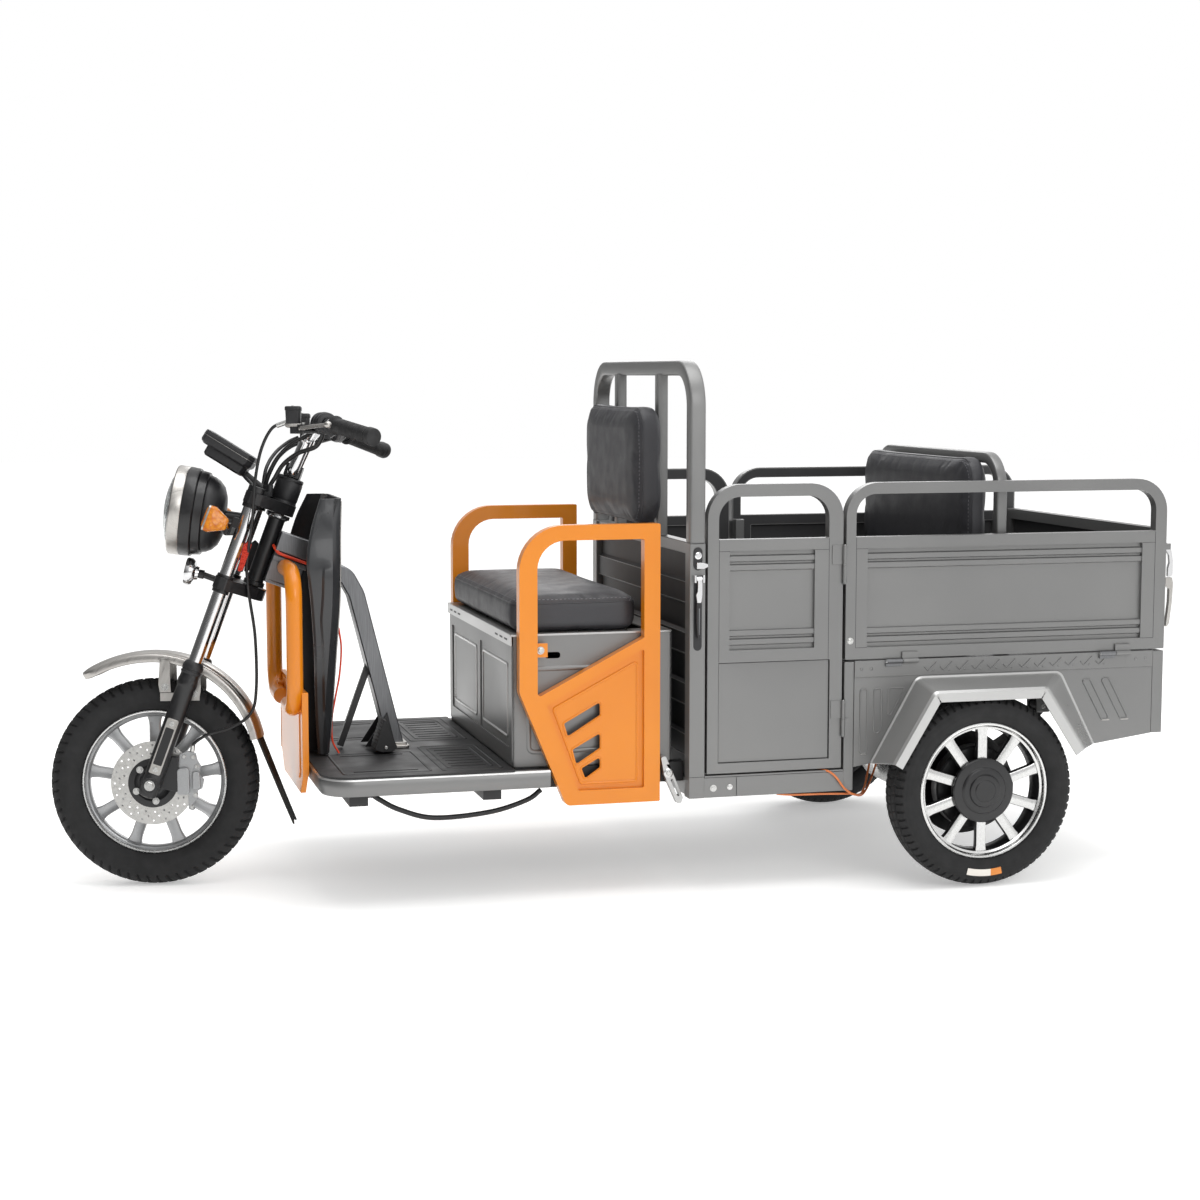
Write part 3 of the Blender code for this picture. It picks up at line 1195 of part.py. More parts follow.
def clamp(along):
    """A fork clamp: a plate square to the steering axis with a lug round each tube."""
    back = -FORK_OFFSET
    half = [(back - 0.022, FORK_HALF - 0.012), (back - 0.017, FORK_HALF + 0.016), (back, FORK_HALF + 0.024),
            (back + 0.017, FORK_HALF + 0.016), (0.024, 0.040), (0.031, 0.014)]
    outline = half + [(p, -y) for p, y in reversed(half)] + [(back - 0.002, -0.030), (back - 0.002, 0.030)]
    return moved(prism("Z", (along, along + CLAMP_THICK), outline), RAKED)


def steering_stem():
    lower, upper = clamp(LOWER_CLAMP), clamp(UPPER_CLAMP)
    steerer = rod(raked(0, 0, LOWER_CLAMP + 0.004), raked(0, 0, CAP_TOP - 0.004), STEERER_R, 12)
    cap = moved(turned([(0, CAP_FOOT - 0.002), (CAP_R, CAP_FOOT - 0.002), (CAP_R, CAP_TOP - 0.006),
                        (CAP_R - 0.006, CAP_TOP), (0, CAP_TOP)], 16), RAKED)
    pieces = [upper, steerer, cap]
    for side in (-1, 1):
        y = side * FORK_HALF
        pieces.append(rod(raked(-FORK_OFFSET, y, STANCHION_FOOT),
                          raked(-FORK_OFFSET, y, UPPER_CLAMP + CLAMP_THICK + 0.014),
                          STANCHION_R, 10))
        pieces.append(moved(box((-FORK_OFFSET - 0.026, -FORK_OFFSET),
                                sides(side, FORK_HALF - 0.009, FORK_HALF + 0.009),
                                (0.573, 0.597)), RAKED))
    pieces.append(moved(box((-FORK_OFFSET - STRAP_OUT, -FORK_OFFSET - 0.021),
                            (-FORK_HALF - 0.008, FORK_HALF + 0.008),
                            (0.554, 0.596)), RAKED))
    back = LAMP_MID - LAMP_WAY * (LAMP_DEPTH / 2 + GAP)
    pieces.append(rod(back, back - LAMP_WAY * 0.036, 0.014, 10))
    horn_back = HORN_MID - HORN_WAY * (HORN_DEPTH / 2 + GAP)
    neck = horn_back - HORN_WAY * 0.012
    pieces.append(rod(horn_back, neck, 0.010, 10))
    pieces.append(rod(neck + HORN_WAY * 0.004, raked(-FORK_OFFSET + 0.006, 0, LOWER_CLAMP + 0.012), 0.007,
                      8))
    return join(lower, *pieces)


node("steering_stem", steering_stem(), STEEL, STEERING)


def facing(way, middle):
    """A frame whose Z runs along a way in the middle plane, set at a point."""
    up = way.normalized()
    side = Vector((0, 1, 0))
    across = side.cross(up).normalized()
    return Matrix.Translation(middle) @ Matrix((across, side, up)).transposed().to_4x4()


def headlamp():
    rear, front, r = -LAMP_DEPTH / 2, LAMP_DEPTH / 2, LAMP_R
    profile = [(0, rear), (0.042, rear), (0.076, rear + 0.018), (r - 0.004, rear + 0.060), (r, rear + 0.068),
               (r, front - 0.004), (r - 0.004, front), (r - 0.009, front), (r - 0.010, front - 0.016),
               (0.078, rear + 0.052), (0.038, rear + 0.014), (0, rear + 0.010)]
    return moved(turned(profile, 20), facing(LAMP_WAY, LAMP_MID))


def headlamp_lens():
    front, r = LAMP_DEPTH / 2, LAMP_R - 0.010 - GAP
    base = front - 0.0155
    profile = [(0, base), (r, base), (r, base + 0.006), (r * 0.66, base + 0.0125), (0, base + 0.0155)]
    return moved(turned(profile, 20), facing(LAMP_WAY, LAMP_MID))


node("headlamp", headlamp(), CHROME, STEERING)
node("headlamp_lens", headlamp_lens(), CLEAR, STEERING)


def horn():
    rear, front, r = -HORN_DEPTH / 2, HORN_DEPTH / 2, HORN_R
    profile = [(0, rear), (0.014, rear), (0.016, rear + 0.007), (r - 0.002, rear + 0.012), (r, rear + 0.020),
               (r, front - 0.001), (r - 0.002, front), (r - 0.006, front - 0.003), (0, front - 0.003)]
    return moved(turned(profile, 16), facing(HORN_WAY, HORN_MID))


node("horn", horn(), CHROME, STEERING)


def indicators():
    face = -FORK_OFFSET - STRAP_OUT - GAP
    bar = box((face - 0.0055, face), (-0.110, 0.110), (0.552, 0.566))
    lenses = []
    for side in (-1, 1):
        shell = moved(turned([(0, -0.026), (0.018, -0.026), (0.028, -0.006), (0.025, 0.018), (0.012, 0.028),
                              (0, 0.028)], 10), Matrix.Translation((-0.112, side * 0.130, 0.576)) @
                      Matrix.Rotation(-math.pi / 2, 4, "Y"))
        lenses.append(shell)
        lenses.append(rod((-FORK_OFFSET - 0.0305, side * 0.098, 0.559), (-0.108, side * 0.122, 0.572),
                          0.0065, 8))
    return moved(join(bar, *lenses), RAKED)


node("indicators", indicators(), AMBER, STEERING)


def display():
    slope = math.radians(32.6)
    middle = Vector((0.172, 0, 0.955))
    frame = Matrix.Translation(middle) @ Matrix.Rotation(slope, 4, "Y")
    plate = arc_corners([(-0.059, -0.062, 0), (0.059, -0.050, 0), (0.059, 0.050, 0), (-0.059, 0.062, 0)],
                        0.020, 4)
    case = prism("Z", (-0.024, 0.020), plan(plate))
    rim = prism("Z", (0.014, 0.028), plan(plate), [[(p.x * 0.86, p.y * 0.86) for p in plate]])
    top = UPPER_CLAMP + CLAMP_THICK + GAP
    arm = rod((0.190, 0, 0.930), raked(-FORK_OFFSET + 0.012, 0, top + 0.0105), 0.008, 10)
    foot = moved(box((-FORK_OFFSET + 0.001, -CAP_R - 0.002), (-0.018, 0.018), (top, top + 0.010)), RAKED)
    return join(moved(join(case, rim), frame), arm, foot)


node("display", display(), BLACK, STEERING)


# Handlebar with its clamp and switch housings, grips, levers and start button

BAR_POINTS = [(0.3163, 0.030, 0.9160), (0.350, 0.040, 0.990), (0.372, 0.100, 1.018), (0.400, 0.200, 1.016),
              (0.415, 0.240, 1.012), (0.5065, BAR_HALF, 0.978)]
BAR_BENDS = [0.012, 0.026, 0.040, 0.030, 0.030, 0]
PERCH = (0.352, 0.178, 1.0050)
LEVER_THICK = 0.0088
LEVER_PIN_R = 0.0030
BUTTON = (0.4005, 0.202)
BUTTON_R = 0.0060


def tube(path, radius, steps=10):
    """A round tube along any path, its rings kept from twisting."""
    path = [Vector(p) for p in path]
    count = len(path)
    ways = []
    for i, here in enumerate(path):
        before, after = path[max(i - 1, 0)], path[min(i + 1, count - 1)]
        ways.append((after - before).normalized())
    side = ways[0].orthogonal().normalized()
    points = []
    for i, here in enumerate(path):
        if i:
            side = ways[i - 1].rotation_difference(ways[i]) @ side
        rise = ways[i].cross(side)
        for a, b in ring(radius, steps):
            points.append(here + side * a + rise * b)
    faces = []
    for i in range(count - 1):
        for k in range(steps):
            n = (k + 1) % steps
            faces.append((i * steps + k, i * steps + n, (i + 1) * steps + n, (i + 1) * steps + k))
    faces.append(tuple(range(steps)))
    faces.append(tuple((count - 1) * steps + k for k in range(steps)))
    return solid(points, faces)


def bar_frame(side):
    """A frame at the inner end of a grip, its Z along the bar to the outside."""
    start, end = Vector(BAR_POINTS[-2]), Vector(BAR_POINTS[-1])
    start.y, end.y = side * start.y, side * end.y
    way = (end - start).normalized()
    origin = end + way * 0.004 - way * GRIP_LENGTH
    turn = Vector((0, 0, 1)).rotation_difference(way).to_matrix().to_4x4()
    return Matrix.Translation(origin) @ turn


def handlebar():
    left = [(x, -y, z) for x, y, z in reversed(BAR_POINTS)]
    path = arc_corners(left + BAR_POINTS, BAR_BENDS[::-1] + BAR_BENDS, 2, closed=False)
    bar = tube(path, BAR_R, 8)
    top = CAP_TOP + GAP
    clasp = moved(box((-0.019, 0.019), (-0.026, 0.026), (top, top + 0.029)), RAKED)
    pieces = [clasp]
    for side in (-1, 1):
        a, b = Vector(BAR_POINTS[2]), Vector(BAR_POINTS[3])
        first, last = a.lerp(b, 0.60), b.lerp(Vector(BAR_POINTS[4]), 0.30)
        housing = rod((first.x, side * first.y, first.z), (last.x, side * last.y, last.z), 0.021, 10)
        pieces.append(housing)
        x, y, z = PERCH
        for low, high in ((z - LEVER_THICK / 2 - 0.0050, z - LEVER_THICK / 2 - 0.0004),
                          (z + LEVER_THICK / 2 + 0.0004, z + LEVER_THICK / 2 + 0.0050)):
            pieces.append(prism("Z", (low, high), [(x - 0.012, side * (y - 0.012)),
                                                   (x + 0.045, side * (y - 0.014)),
                                                   (x + 0.045, side * (y + 0.010)),
                                                   (x - 0.012, side * (y + 0.012))]))
        pieces.append(rod((x, side * y, z - LEVER_THICK / 2 - 0.003),
                          (x, side * y, z + LEVER_THICK / 2 + 0.003), LEVER_PIN_R, 10))
        pieces.append(box((x - 0.030, x + 0.046), sides(side, y - 0.036, y - 0.0125),
                          (z - 0.009, z + 0.013)))
        pieces.append(box((x - 0.040, x - 0.006), sides(side, y - 0.052, y - 0.012), (z + 0.008, z + 0.050)))
    x, y = BUTTON
    bore = rod((x, y, 1.0235), (x, y, 1.060), BUTTON_R + 0.0008, 12)
    return cut(join(bar, *pieces), bore)


node("handlebar", handlebar(), BLACK, STEERING)


def grip(side):
    bore, r, length = BAR_R + 0.0008, GRIP_R, GRIP_LENGTH
    profile = [(bore, 0), (r + 0.004, 0), (r + 0.004, 0.004), (r, 0.007), (r, length - 0.010),
               (r + 0.0025, length - 0.008),
               (r + 0.0025, length + 0.002), (r - 0.003, length + 0.005), (0, length + 0.005),
               (0, length + 0.0005),
               (bore, length + 0.0005)]
    return moved(turned(profile, 12), bar_frame(side))


THROTTLE = joint_frame("throttle_axis", bar_frame(1).translation, STEERING)
node("grip_left", grip(-1), RUBBER, STEERING)
node("throttle_grip", grip(1), RUBBER, THROTTLE)


def lever(side):
    x, y, z = PERCH
    path = arc_corners([(x, y, z), (x + 0.001, y + 0.040, z), (x + 0.034, y + 0.118, z),
                        (x + 0.062, y + 0.166, z)],
                       [0, 0.050, 0.120, 0], 3, closed=False)
    path = [(p.x, side * p.y, p.z) for p in path]
    blade = sweep(path, square(LEVER_THICK, 0.012), (0, 0, 1))
    low, high = z - LEVER_THICK / 2, z + LEVER_THICK / 2
    hub = rod((x, side * y, low), (x, side * y, high), 0.0105, 10)
    tip = Vector(path[-1])
    ball = moved(turned([(0, -0.0075), (0.0085, -0.002), (0.0085, 0.002), (0, 0.0075)], 8),
                 Matrix.Translation(tip))
    bore = rod((x, side * y, low - 0.01), (x, side * y, high + 0.01), LEVER_PIN_R + 0.0006, 12)
    return cut(join(blade, hub, ball), bore)


for label, side in (("left", -1), ("right", 1)):
    pivot = joint_frame("brake_lever_pivot_" + label, (PERCH[0], side * PERCH[1], PERCH[2]), STEERING)
    node("brake_lever_" + label, lever(side), SILVER, pivot)
PUSH = joint_frame("start_button_slide", (BUTTON[0], BUTTON[1], 1.0400), STEERING)
node("start_button", rod((BUTTON[0], BUTTON[1], 1.0275), (BUTTON[0], BUTTON[1], 1.0405), BUTTON_R, 14), RED,
     PUSH)


# Lower fork, axle, front mudguard and brake caliper slide together on the upper tubes

def fork_legs():
    axle = rod(raked(-FORK_OFFSET, -FORK_HALF - 0.030, AXLE_ALONG),
               raked(-FORK_OFFSET, FORK_HALF + 0.030, AXLE_ALONG),
               AXLE_R, 16)
    pieces = []
    for side in (-1, 1):
        leg = turned([(0, LEG_FOOT), (LEG_R - 0.002, LEG_FOOT), (LEG_R - 0.002, 0.225),
                      (LEG_R, 0.228), (LEG_R, LEG_TOP), (STANCHION_R + RUN, LEG_TOP),
                      (STANCHION_R + RUN, STANCHION_FOOT - FORK_TRAVEL - 0.010),
                      (0, STANCHION_FOOT - FORK_TRAVEL - 0.010)], LEG_STEPS)
        pieces.append(moved(leg, RAKED @ Matrix.Translation((-FORK_OFFSET, side * FORK_HALF, 0))))
        pieces.append(rod(raked(-FORK_OFFSET, side * (FORK_HALF + 0.018), AXLE_ALONG),
                          raked(-FORK_OFFSET, side * (FORK_HALF + 0.027), AXLE_ALONG), 0.0125, 12))
    lug = prism("Y", (-0.0735, -0.0620), [(0.005, 0.222), (0.0599, 0.210), (0.0577, 0.240), (0.0594, 0.290),
                                          (0.026, 0.290)])
    return join(pieces[0], axle, lug, *pieces[1:])


node("fork_legs", fork_legs(), STEEL, FORK)

GUARD_INNER = 0.2850
GUARD_WIDTH = 0.055


def front_mudguard():
    """A channel bent round the wheel, with a flap at the back and a stay to each leg."""
    w, drop = GUARD_WIDTH, 0.014
    section = [(-w, -drop), (-w, 0), (-w + 0.016, 0.006), (w - 0.016, 0.006), (w, 0), (w, -drop),
               (w - 0.0025, -drop), (w - 0.0025, -0.0015), (w - 0.017, 0.0035), (-w + 0.017, 0.0035),
               (-w + 0.0025, -0.0015), (-w + 0.0025, -drop)]
    path = []
    for i in range(10):
        share = i / 9
        angle = math.radians(122 - share * 100)
        radius = GUARD_INNER if angle > math.pi / 2 else GUARD_INNER - 0.034 * (1 - math.sin(angle)) / 0.625
        path.append((radius * math.cos(angle), 0, FRONT_TYRE_R + radius * math.sin(angle)))
    channel = sweep(path, section, (0, -1, 0))
    flap = sweep([(0.2265, 0, 0.335), (0.259, 0, 0.250), (0.307, 0, 0.129)], square(2 * (w - 0.004), 0.003),
                 (0, -1, 0))
    stays = []
    leg_face = FORK_HALF - LEG_R * math.cos(math.pi / LEG_STEPS) - GAP
    for side in (-1, 1):
        for x in (0.030, 0.096):
            z = FRONT_TYRE_R + math.sqrt((GUARD_INNER - 0.004) ** 2 - x ** 2)
            stays.append(prism("Y", sides(side, w - 0.0015, leg_face),
                               [(x - 0.012, z - 0.075), (x + 0.012, z - 0.075), (x + 0.018, z - 0.004),
                                (x - 0.008, z - 0.004)]))
        stays.append(prism("Y", sides(side, w - 0.0014, leg_face - 0.0001),
                           [(0.020, 0.412), (0.106, 0.412), (0.106, 0.430), (0.020, 0.430)]))
    return join(channel, flap, *stays)


node("front_mudguard", front_mudguard(), GREY, FORK)

ROTOR_Y = 0.050


def brake_caliper():
    outline = [(0.060, 0.298), (0.096, 0.296), (0.112, 0.262), (0.112, 0.215), (0.098, 0.180),
               (0.078, 0.168),
               (0.062, 0.186), (0.058, 0.240)]
    block = prism("Y", (-0.0745, -0.0405), outline)
    slot = turned([(0.030, -0.0052), (ROTOR_R + 0.0022, -0.0052), (ROTOR_R + 0.0022, -0.0022 + 0.0074),
                   (0.030, 0.0052)], 32)
    lay = Matrix.Translation(FRONT_AXLE + Vector((0, -ROTOR_Y, 0))) @ Matrix.Rotation(math.pi / 2, 4, "X")
    bolts = [rod((x, -0.079, z), (x, -0.072, z), 0.006, 10) for x, z in ((0.076, 0.276), (0.084, 0.196))]
    return cut(join(block, *bolts), moved(slot, lay))


node("brake_caliper", brake_caliper(), SILVER, FORK)


# Wheels: tyre, spoked rim and hub; the front rim carries the brake rotor

def lying(side_turn=1):
    """A turn that lays the Z axis along Y."""
    return Matrix.Rotation(-side_turn * math.pi / 2, 4, "X")


def tyre(outer, half, bead):
    depth = outer - bead
    edge = half * 0.66
    shape = [(0, edge), (0.34, half), (0.82, half * 0.80), (1.0, half * 0.22)]
    profile = [(bead + share * depth, y) for share, y in shape]
    profile += [(r, -y) for r, y in reversed(profile)]
    return turned(profile, WHEEL_STEPS)


def rim(radius, half, wall, spokes, first, spoke, hub_r, hub, bore, cap=None):
    """A wheel: rim ring, flat spokes from the hub, and a hub bored for its axle."""
    rim_ring = turned([(radius, half), (radius, -half), (radius - wall, -half + 0.010),
                       (radius - wall, half - 0.010)],
                      WHEEL_STEPS)
    low, high = hub
    if cap is None:
        centre = turned([(bore, low), (hub_r, low), (hub_r, high), (bore, high)], 12, 0.05)
    else:
        centre = turned([(bore, low), (hub_r, low), (hub_r, high), (hub_r * 0.8, cap), (0, cap),
                         (0, high - 0.010),
                         (bore, high - 0.010)], 14, 0.05)
    blades = []
    width, thick, at = spoke
    for i in range(spokes):
        blade = box((hub_r - 0.004, radius - wall + 0.003), (-width / 2, width / 2),
                    (at - thick / 2, at + thick / 2))
        blades.append(moved(blade, Matrix.Rotation(first + 2 * math.pi * i / spokes, 4, "Z")))
    return join(rim_ring, centre, *blades)


def front_rim():
    wheel = rim(FRONT_RIM_R, 0.0272, 0.016, 9, math.radians(10), (0.024, 0.016, 0.0), 0.036,
                (-0.0530, 0.0560), AXLE_R + 0.0010)
    rotor = turned([(0.045, ROTOR_Y - ROTOR_THICK / 2), (ROTOR_R, ROTOR_Y - ROTOR_THICK / 2),
                    (ROTOR_R, ROTOR_Y + ROTOR_THICK / 2), (0.045, ROTOR_Y + ROTOR_THICK / 2)], 20)
    carrier = turned([(AXLE_R + 0.0010, 0.030), (0.056, 0.030), (0.056, ROTOR_Y + 0.0005),
                      (AXLE_R + 0.0010, ROTOR_Y + 0.0005)],
                     14, 0.07)
    return moved(join(wheel, rotor, carrier), Matrix.Rotation(math.pi / 2, 4, "X"))


node("front_tyre", moved(tyre(FRONT_TYRE_R, FRONT_TYRE_HALF, FRONT_RIM_R + GAP),
                         Matrix.Translation(FRONT_AXLE) @ lying()),
     RUBBER, FRONT_SPIN)
node("front_rim", moved(front_rim(), Matrix.Translation(FRONT_AXLE)), SILVER, FRONT_SPIN)

SPINDLE_END = 0.028
for label, side in (("left", -1), ("right", 1)):
    hub_point = Vector((WHEELBASE, side * REAR_WHEEL_Y, REAR_TYRE_R))
    spin = joint_frame("rear_wheel_axis_" + label, hub_point, REAR_SLIDE)
    place = Matrix.Translation(hub_point) @ lying(side)
    node("rear_tyre_" + label, moved(tyre(REAR_TYRE_R, REAR_TYRE_HALF, REAR_RIM_R + GAP), place), RUBBER,
         spin)
    wheel = rim(REAR_RIM_R, 0.0315, 0.016, 10, math.radians(18), (0.022, 0.014, 0.012), 0.046,
                (-0.0505, 0.0330), SPINDLE_R + 0.0010, 0.0400)
    node("rear_rim_" + label, moved(wheel, place), SILVER, spin)


# Rear axle: tube, differential, motor, brake drums, spring seats; leaf springs above it

SPRING_MID_Z = 0.256
SPRING_THICK = 0.012


def rear_axle():
    x, z = WHEELBASE, REAR_TYRE_R
    drum = REAR_WHEEL_Y - 0.084
    axle = rod((x, -drum - 0.0015, z), (x, drum + 0.0015, z), 0.026, 12)
    case = moved(turned([(0, -0.090), (0.040, -0.090), (0.074, -0.052), (0.074, 0.020), (0.040, 0.052),
                         (0, 0.052)], 14), Matrix.Translation((x, 0, z)) @ lying())
    motor = rod((x - 0.060, -0.135, z + 0.006), (x - 0.060, -0.055, z + 0.006), 0.052, 14)
    pieces = [case, motor]
    for side in (-1, 1):
        pieces.append(rod((x, side * (drum - 0.0005), z),
                          (x, side * (REAR_WHEEL_Y + SPINDLE_END - 0.006), z), SPINDLE_R, 12))
        pieces.append(rod((x, side * drum, z), (x, side * (drum + 0.0315), z), 0.072, 16))
        pieces.append(box((x - 0.030, x + 0.030), sides(side, SPRING_Y - 0.024, SPRING_Y + 0.024),
                          (z + 0.012, SPRING_MID_Z - SPRING_THICK / 2 - GAP)))
    return join(axle, *pieces)


node("rear_axle", rear_axle(), STEEL, REAR_SLIDE)


def leaf_spring(side):
    """A bowed leaf between its two eyes, lowest over the axle."""
    y = side * SPRING_Y
    reach, sag = SPRING_REACH, SPRING_EYE_Z - SPRING_MID_Z
    path = []
    for i in range(11):
        share = -1 + 2 * i / 10
        path.append((WHEELBASE + share * reach, y,
                     SPRING_EYE_Z - 0.008 - (sag - 0.008) * (1 - abs(share) ** 2.2)))
    leaf = sweep(path, [(-SPRING_HALF, -SPRING_THICK / 2), (SPRING_HALF, -SPRING_THICK / 2),
                        (SPRING_HALF, SPRING_THICK / 2), (-SPRING_HALF, SPRING_THICK / 2)], (0, -1, 0))
    eyes = []
    bores = []
    for end in (-1, 1):
        x = WHEELBASE + end * reach
        eyes.append(rod((x, y - SPRING_HALF, SPRING_EYE_Z), (x, y + SPRING_HALF, SPRING_EYE_Z), EYE_R, 10))
        bores.append(rod((x, y - 0.05, SPRING_EYE_Z), (x, y + 0.05, SPRING_EYE_Z), EYE_R * 0.42 + 0.0006, 8))
    return cut(join(leaf, *eyes), *bores)


for label, side in (("left", -1), ("right", 1)):
    node("leaf_spring_" + label, leaf_spring(side), STEEL)


# Foot brake pedal and parking brake lever

PEDAL_HINGE = joint_frame("brake_pedal_pivot", PEDAL_PIVOT)
PARKING_HINGE = joint_frame("parking_lever_pivot", PARKING_PIVOT)


def brake_pedal():
    x, y, z = PEDAL_PIVOT
    wedge = prism("Y", (y - 0.002, y + 0.058),
                  [(x - 0.002, z + 0.070), (x - 0.026, z - 0.005), (x - 0.010, z - 0.0105),
                   (x + 0.014, z - 0.0105),
                   (x + 0.026, z - 0.002)])
    bore = rod((x, y - 0.05, z), (x, y + 0.10, z), PEDAL_PIN_R + 0.0007, 12)
    return cut(wedge, bore)


node("brake_pedal", brake_pedal(), BLACK, PEDAL_HINGE)


def parking_lever():
    x, y, z = PARKING_PIVOT
    path = [(x - 0.017, z + 0.036), (x - 0.006, z + 0.038), (x + 0.009, z + 0.004), (x + 0.034, z - 0.056),
            (x + 0.030, z - 0.068), (x + 0.020, z - 0.068), (x - 0.009, z - 0.004)]
    plate = prism("Y", (y - 0.0085, y + 0.0085), path)
    bore = rod((x, y - 0.05, z), (x, y + 0.05, z), PARKING_PIN_R + 0.0007, 12)
    return cut(plate, bore)


node("parking_lever", parking_lever(), GREY, PARKING_HINGE)


# Cords: the front brake hose and the cable under the floor

def cord(name, points, radius, spacing, finish, parent=ROOT):
    """A cord through its points, drawn as a smooth line of even short steps."""
    points = [Vector(p) for p in points]
    fine = []
    padded_line = [points[0] * 2 - points[1]] + points + [points[-1] * 2 - points[-2]]
    for a, b, c, d in zip(padded_line, padded_line[1:], padded_line[2:], padded_line[3:]):
        steps = max(1, round((c - b).length / spacing))
        for i in range(steps):
            s = i / steps
            fine.append(0.5 * (2 * b + (c - a) * s + (2 * a - 5 * b + 4 * c - d) * s ** 2
                               + (3 * b - a - 3 * c + d) * s ** 3))
    fine.append(points[-1])
    line = bpy.data.curves.new(name, "CURVE")
    line.dimensions = "3D"
    line.bevel_depth = radius
    line.bevel_resolution = 2
    line.use_fill_caps = True
    spline = line.splines.new("POLY")
    spline.points.add(len(fine) - 1)
    base = Vector(parent["place"]) if "place" in parent else Vector((0, 0, 0))
    for point, here in zip(spline.points, fine):
        point.co = (*(here - base), 1)
    item = bpy.data.objects.new(name, line)
    item.data.materials.append(finish)
    item.parent = parent
    bpy.context.scene.collection.objects.link(item)
    return item


HOSE_R = 0.0035
CABLE_R = 0.0060
cord("brake_hose", [(0.088, -0.060, 0.3006), (0.094, -0.064, 0.318), (0.126, -0.074, 0.338),
                    (0.175, -0.080, 0.352), (0.220, -0.078, 0.383), (0.238, -0.078, 0.440),
                    (0.238, -0.074, 0.550), (0.224, -0.070, 0.635), (0.218, -0.075, 0.670),
                    (0.216, -0.074, 0.705), (0.222, -0.082, 0.748), (0.233, -0.107, 0.805),
                    (0.238, -0.123, 0.850),
                    (0.244, -0.129, 0.905), (0.258, -0.134, 0.965), (0.282, -0.144, 1.008),
                    (0.3104, -0.146, 1.020)],
     HOSE_R, 0.020, RUBBER, STEERING)
cord("floor_cable", [(0.4212, -0.340, 0.2400), (0.434, -0.340, 0.2393), (0.449, -0.340, 0.229),
                     (0.490, -0.340, 0.206), (0.566, -0.340, 0.184),
                     (0.687, -0.340, 0.190), (0.770, -0.340, 0.212), (0.803, -0.340, 0.2336)], CABLE_R,
                     0.034, RUBBER)


# The fork stands turned to the right, and the tricycle's footprint is centred on the origin

turn_axis = Matrix.Rotation(-STEER_AT_REST, 4, UP_AXIS)
STEERING.rotation_mode = "QUATERNION"
STEERING.rotation_quaternion = turn_axis.to_quaternion()
bpy.context.view_layer.update()
graph = bpy.context.evaluated_depsgraph_get()
corners = []
for item in bpy.context.scene.objects:
    if item.type in {"MESH", "CURVE"}:
        shape = item.evaluated_get(graph).to_mesh()
        flat = np.empty(len(shape.vertices) * 3)
        shape.vertices.foreach_get("co", flat)
        world = np.array(item.matrix_world)
        corners.append(flat.reshape(-1, 3) @ world[:3, :3].T + world[:3, 3])
        item.evaluated_get(graph).to_mesh_clear()
corners = np.vstack(corners)
low, high = corners.min(axis=0), corners.max(axis=0)
ROOT.location = (-(low[0] + high[0]) / 2, -(low[1] + high[1]) / 2, -low[2])
bpy.context.view_layer.update()
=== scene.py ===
"""A folding electric cargo tricycle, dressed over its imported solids."""
import math

import bmesh
import bpy
import numpy as np
from mathutils import Matrix, Vector
from mathutils.bvhtree import BVHTree
from mathutils.geometry import tessellate_polygon


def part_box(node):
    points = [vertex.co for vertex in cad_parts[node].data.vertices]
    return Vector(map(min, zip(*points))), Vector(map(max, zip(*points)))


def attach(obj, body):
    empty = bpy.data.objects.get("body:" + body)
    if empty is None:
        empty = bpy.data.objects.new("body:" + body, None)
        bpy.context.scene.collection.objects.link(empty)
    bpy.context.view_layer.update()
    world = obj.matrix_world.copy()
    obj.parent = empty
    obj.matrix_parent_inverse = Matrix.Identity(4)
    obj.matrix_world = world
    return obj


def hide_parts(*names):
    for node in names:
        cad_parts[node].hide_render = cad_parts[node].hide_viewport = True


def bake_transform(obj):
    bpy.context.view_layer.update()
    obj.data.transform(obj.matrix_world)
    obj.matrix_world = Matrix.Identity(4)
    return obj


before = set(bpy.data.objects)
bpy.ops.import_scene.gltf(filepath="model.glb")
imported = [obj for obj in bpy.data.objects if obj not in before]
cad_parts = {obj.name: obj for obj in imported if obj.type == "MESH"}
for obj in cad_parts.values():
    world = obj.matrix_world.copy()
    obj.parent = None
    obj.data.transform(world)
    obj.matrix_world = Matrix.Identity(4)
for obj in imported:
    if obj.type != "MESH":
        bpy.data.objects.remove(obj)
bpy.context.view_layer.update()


# The photographer's place: a long lens from the rider's left, a little ahead of
# the front wheel and just above the saddle, so that floor and seat are seen from above.

rim_low, rim_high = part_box("rear_rim_left")


def moved(x, y, z):
    """A plain move: the identity matrix with x, y and z in its last column."""
    return Matrix.Translation((x, y, z))


REAR_X = 1.774
HOME = moved((rim_low.x + rim_high.x) / 2 - REAR_X, 0, 0.00044)

eye = bpy.data.cameras.new("eye")
eye.lens = 65.46
eye.sensor_width = 36.0
eye.clip_end = 100.0
camera = bpy.data.objects.new("camera", eye)
camera.location = HOME @ Vector((-0.2975, -4.904, 1.137))
camera.rotation_euler = (math.radians(90 - 5.93), 0, math.radians(-15.13))
bpy.context.scene.collection.objects.link(camera)
bpy.context.scene.camera = camera


# The studio: a pale painted floor without a horizon, a pale room and three soft
# lamps, one overhead, one before the machine and one behind it for its edges.

def linear(code):
    """The linear colour of an sRGB hex code: above 0.04 a channel is ((c + 0.055) / 1.055) to the 2.4."""
    c = np.array([int(code[i:i + 2], 16) for i in (0, 2, 4)]) / 255
    c = np.where(c <= 0.04045, c / 12.92, ((c + 0.055) / 1.055) ** 2.4)
    return (*map(float, c), 1.0)


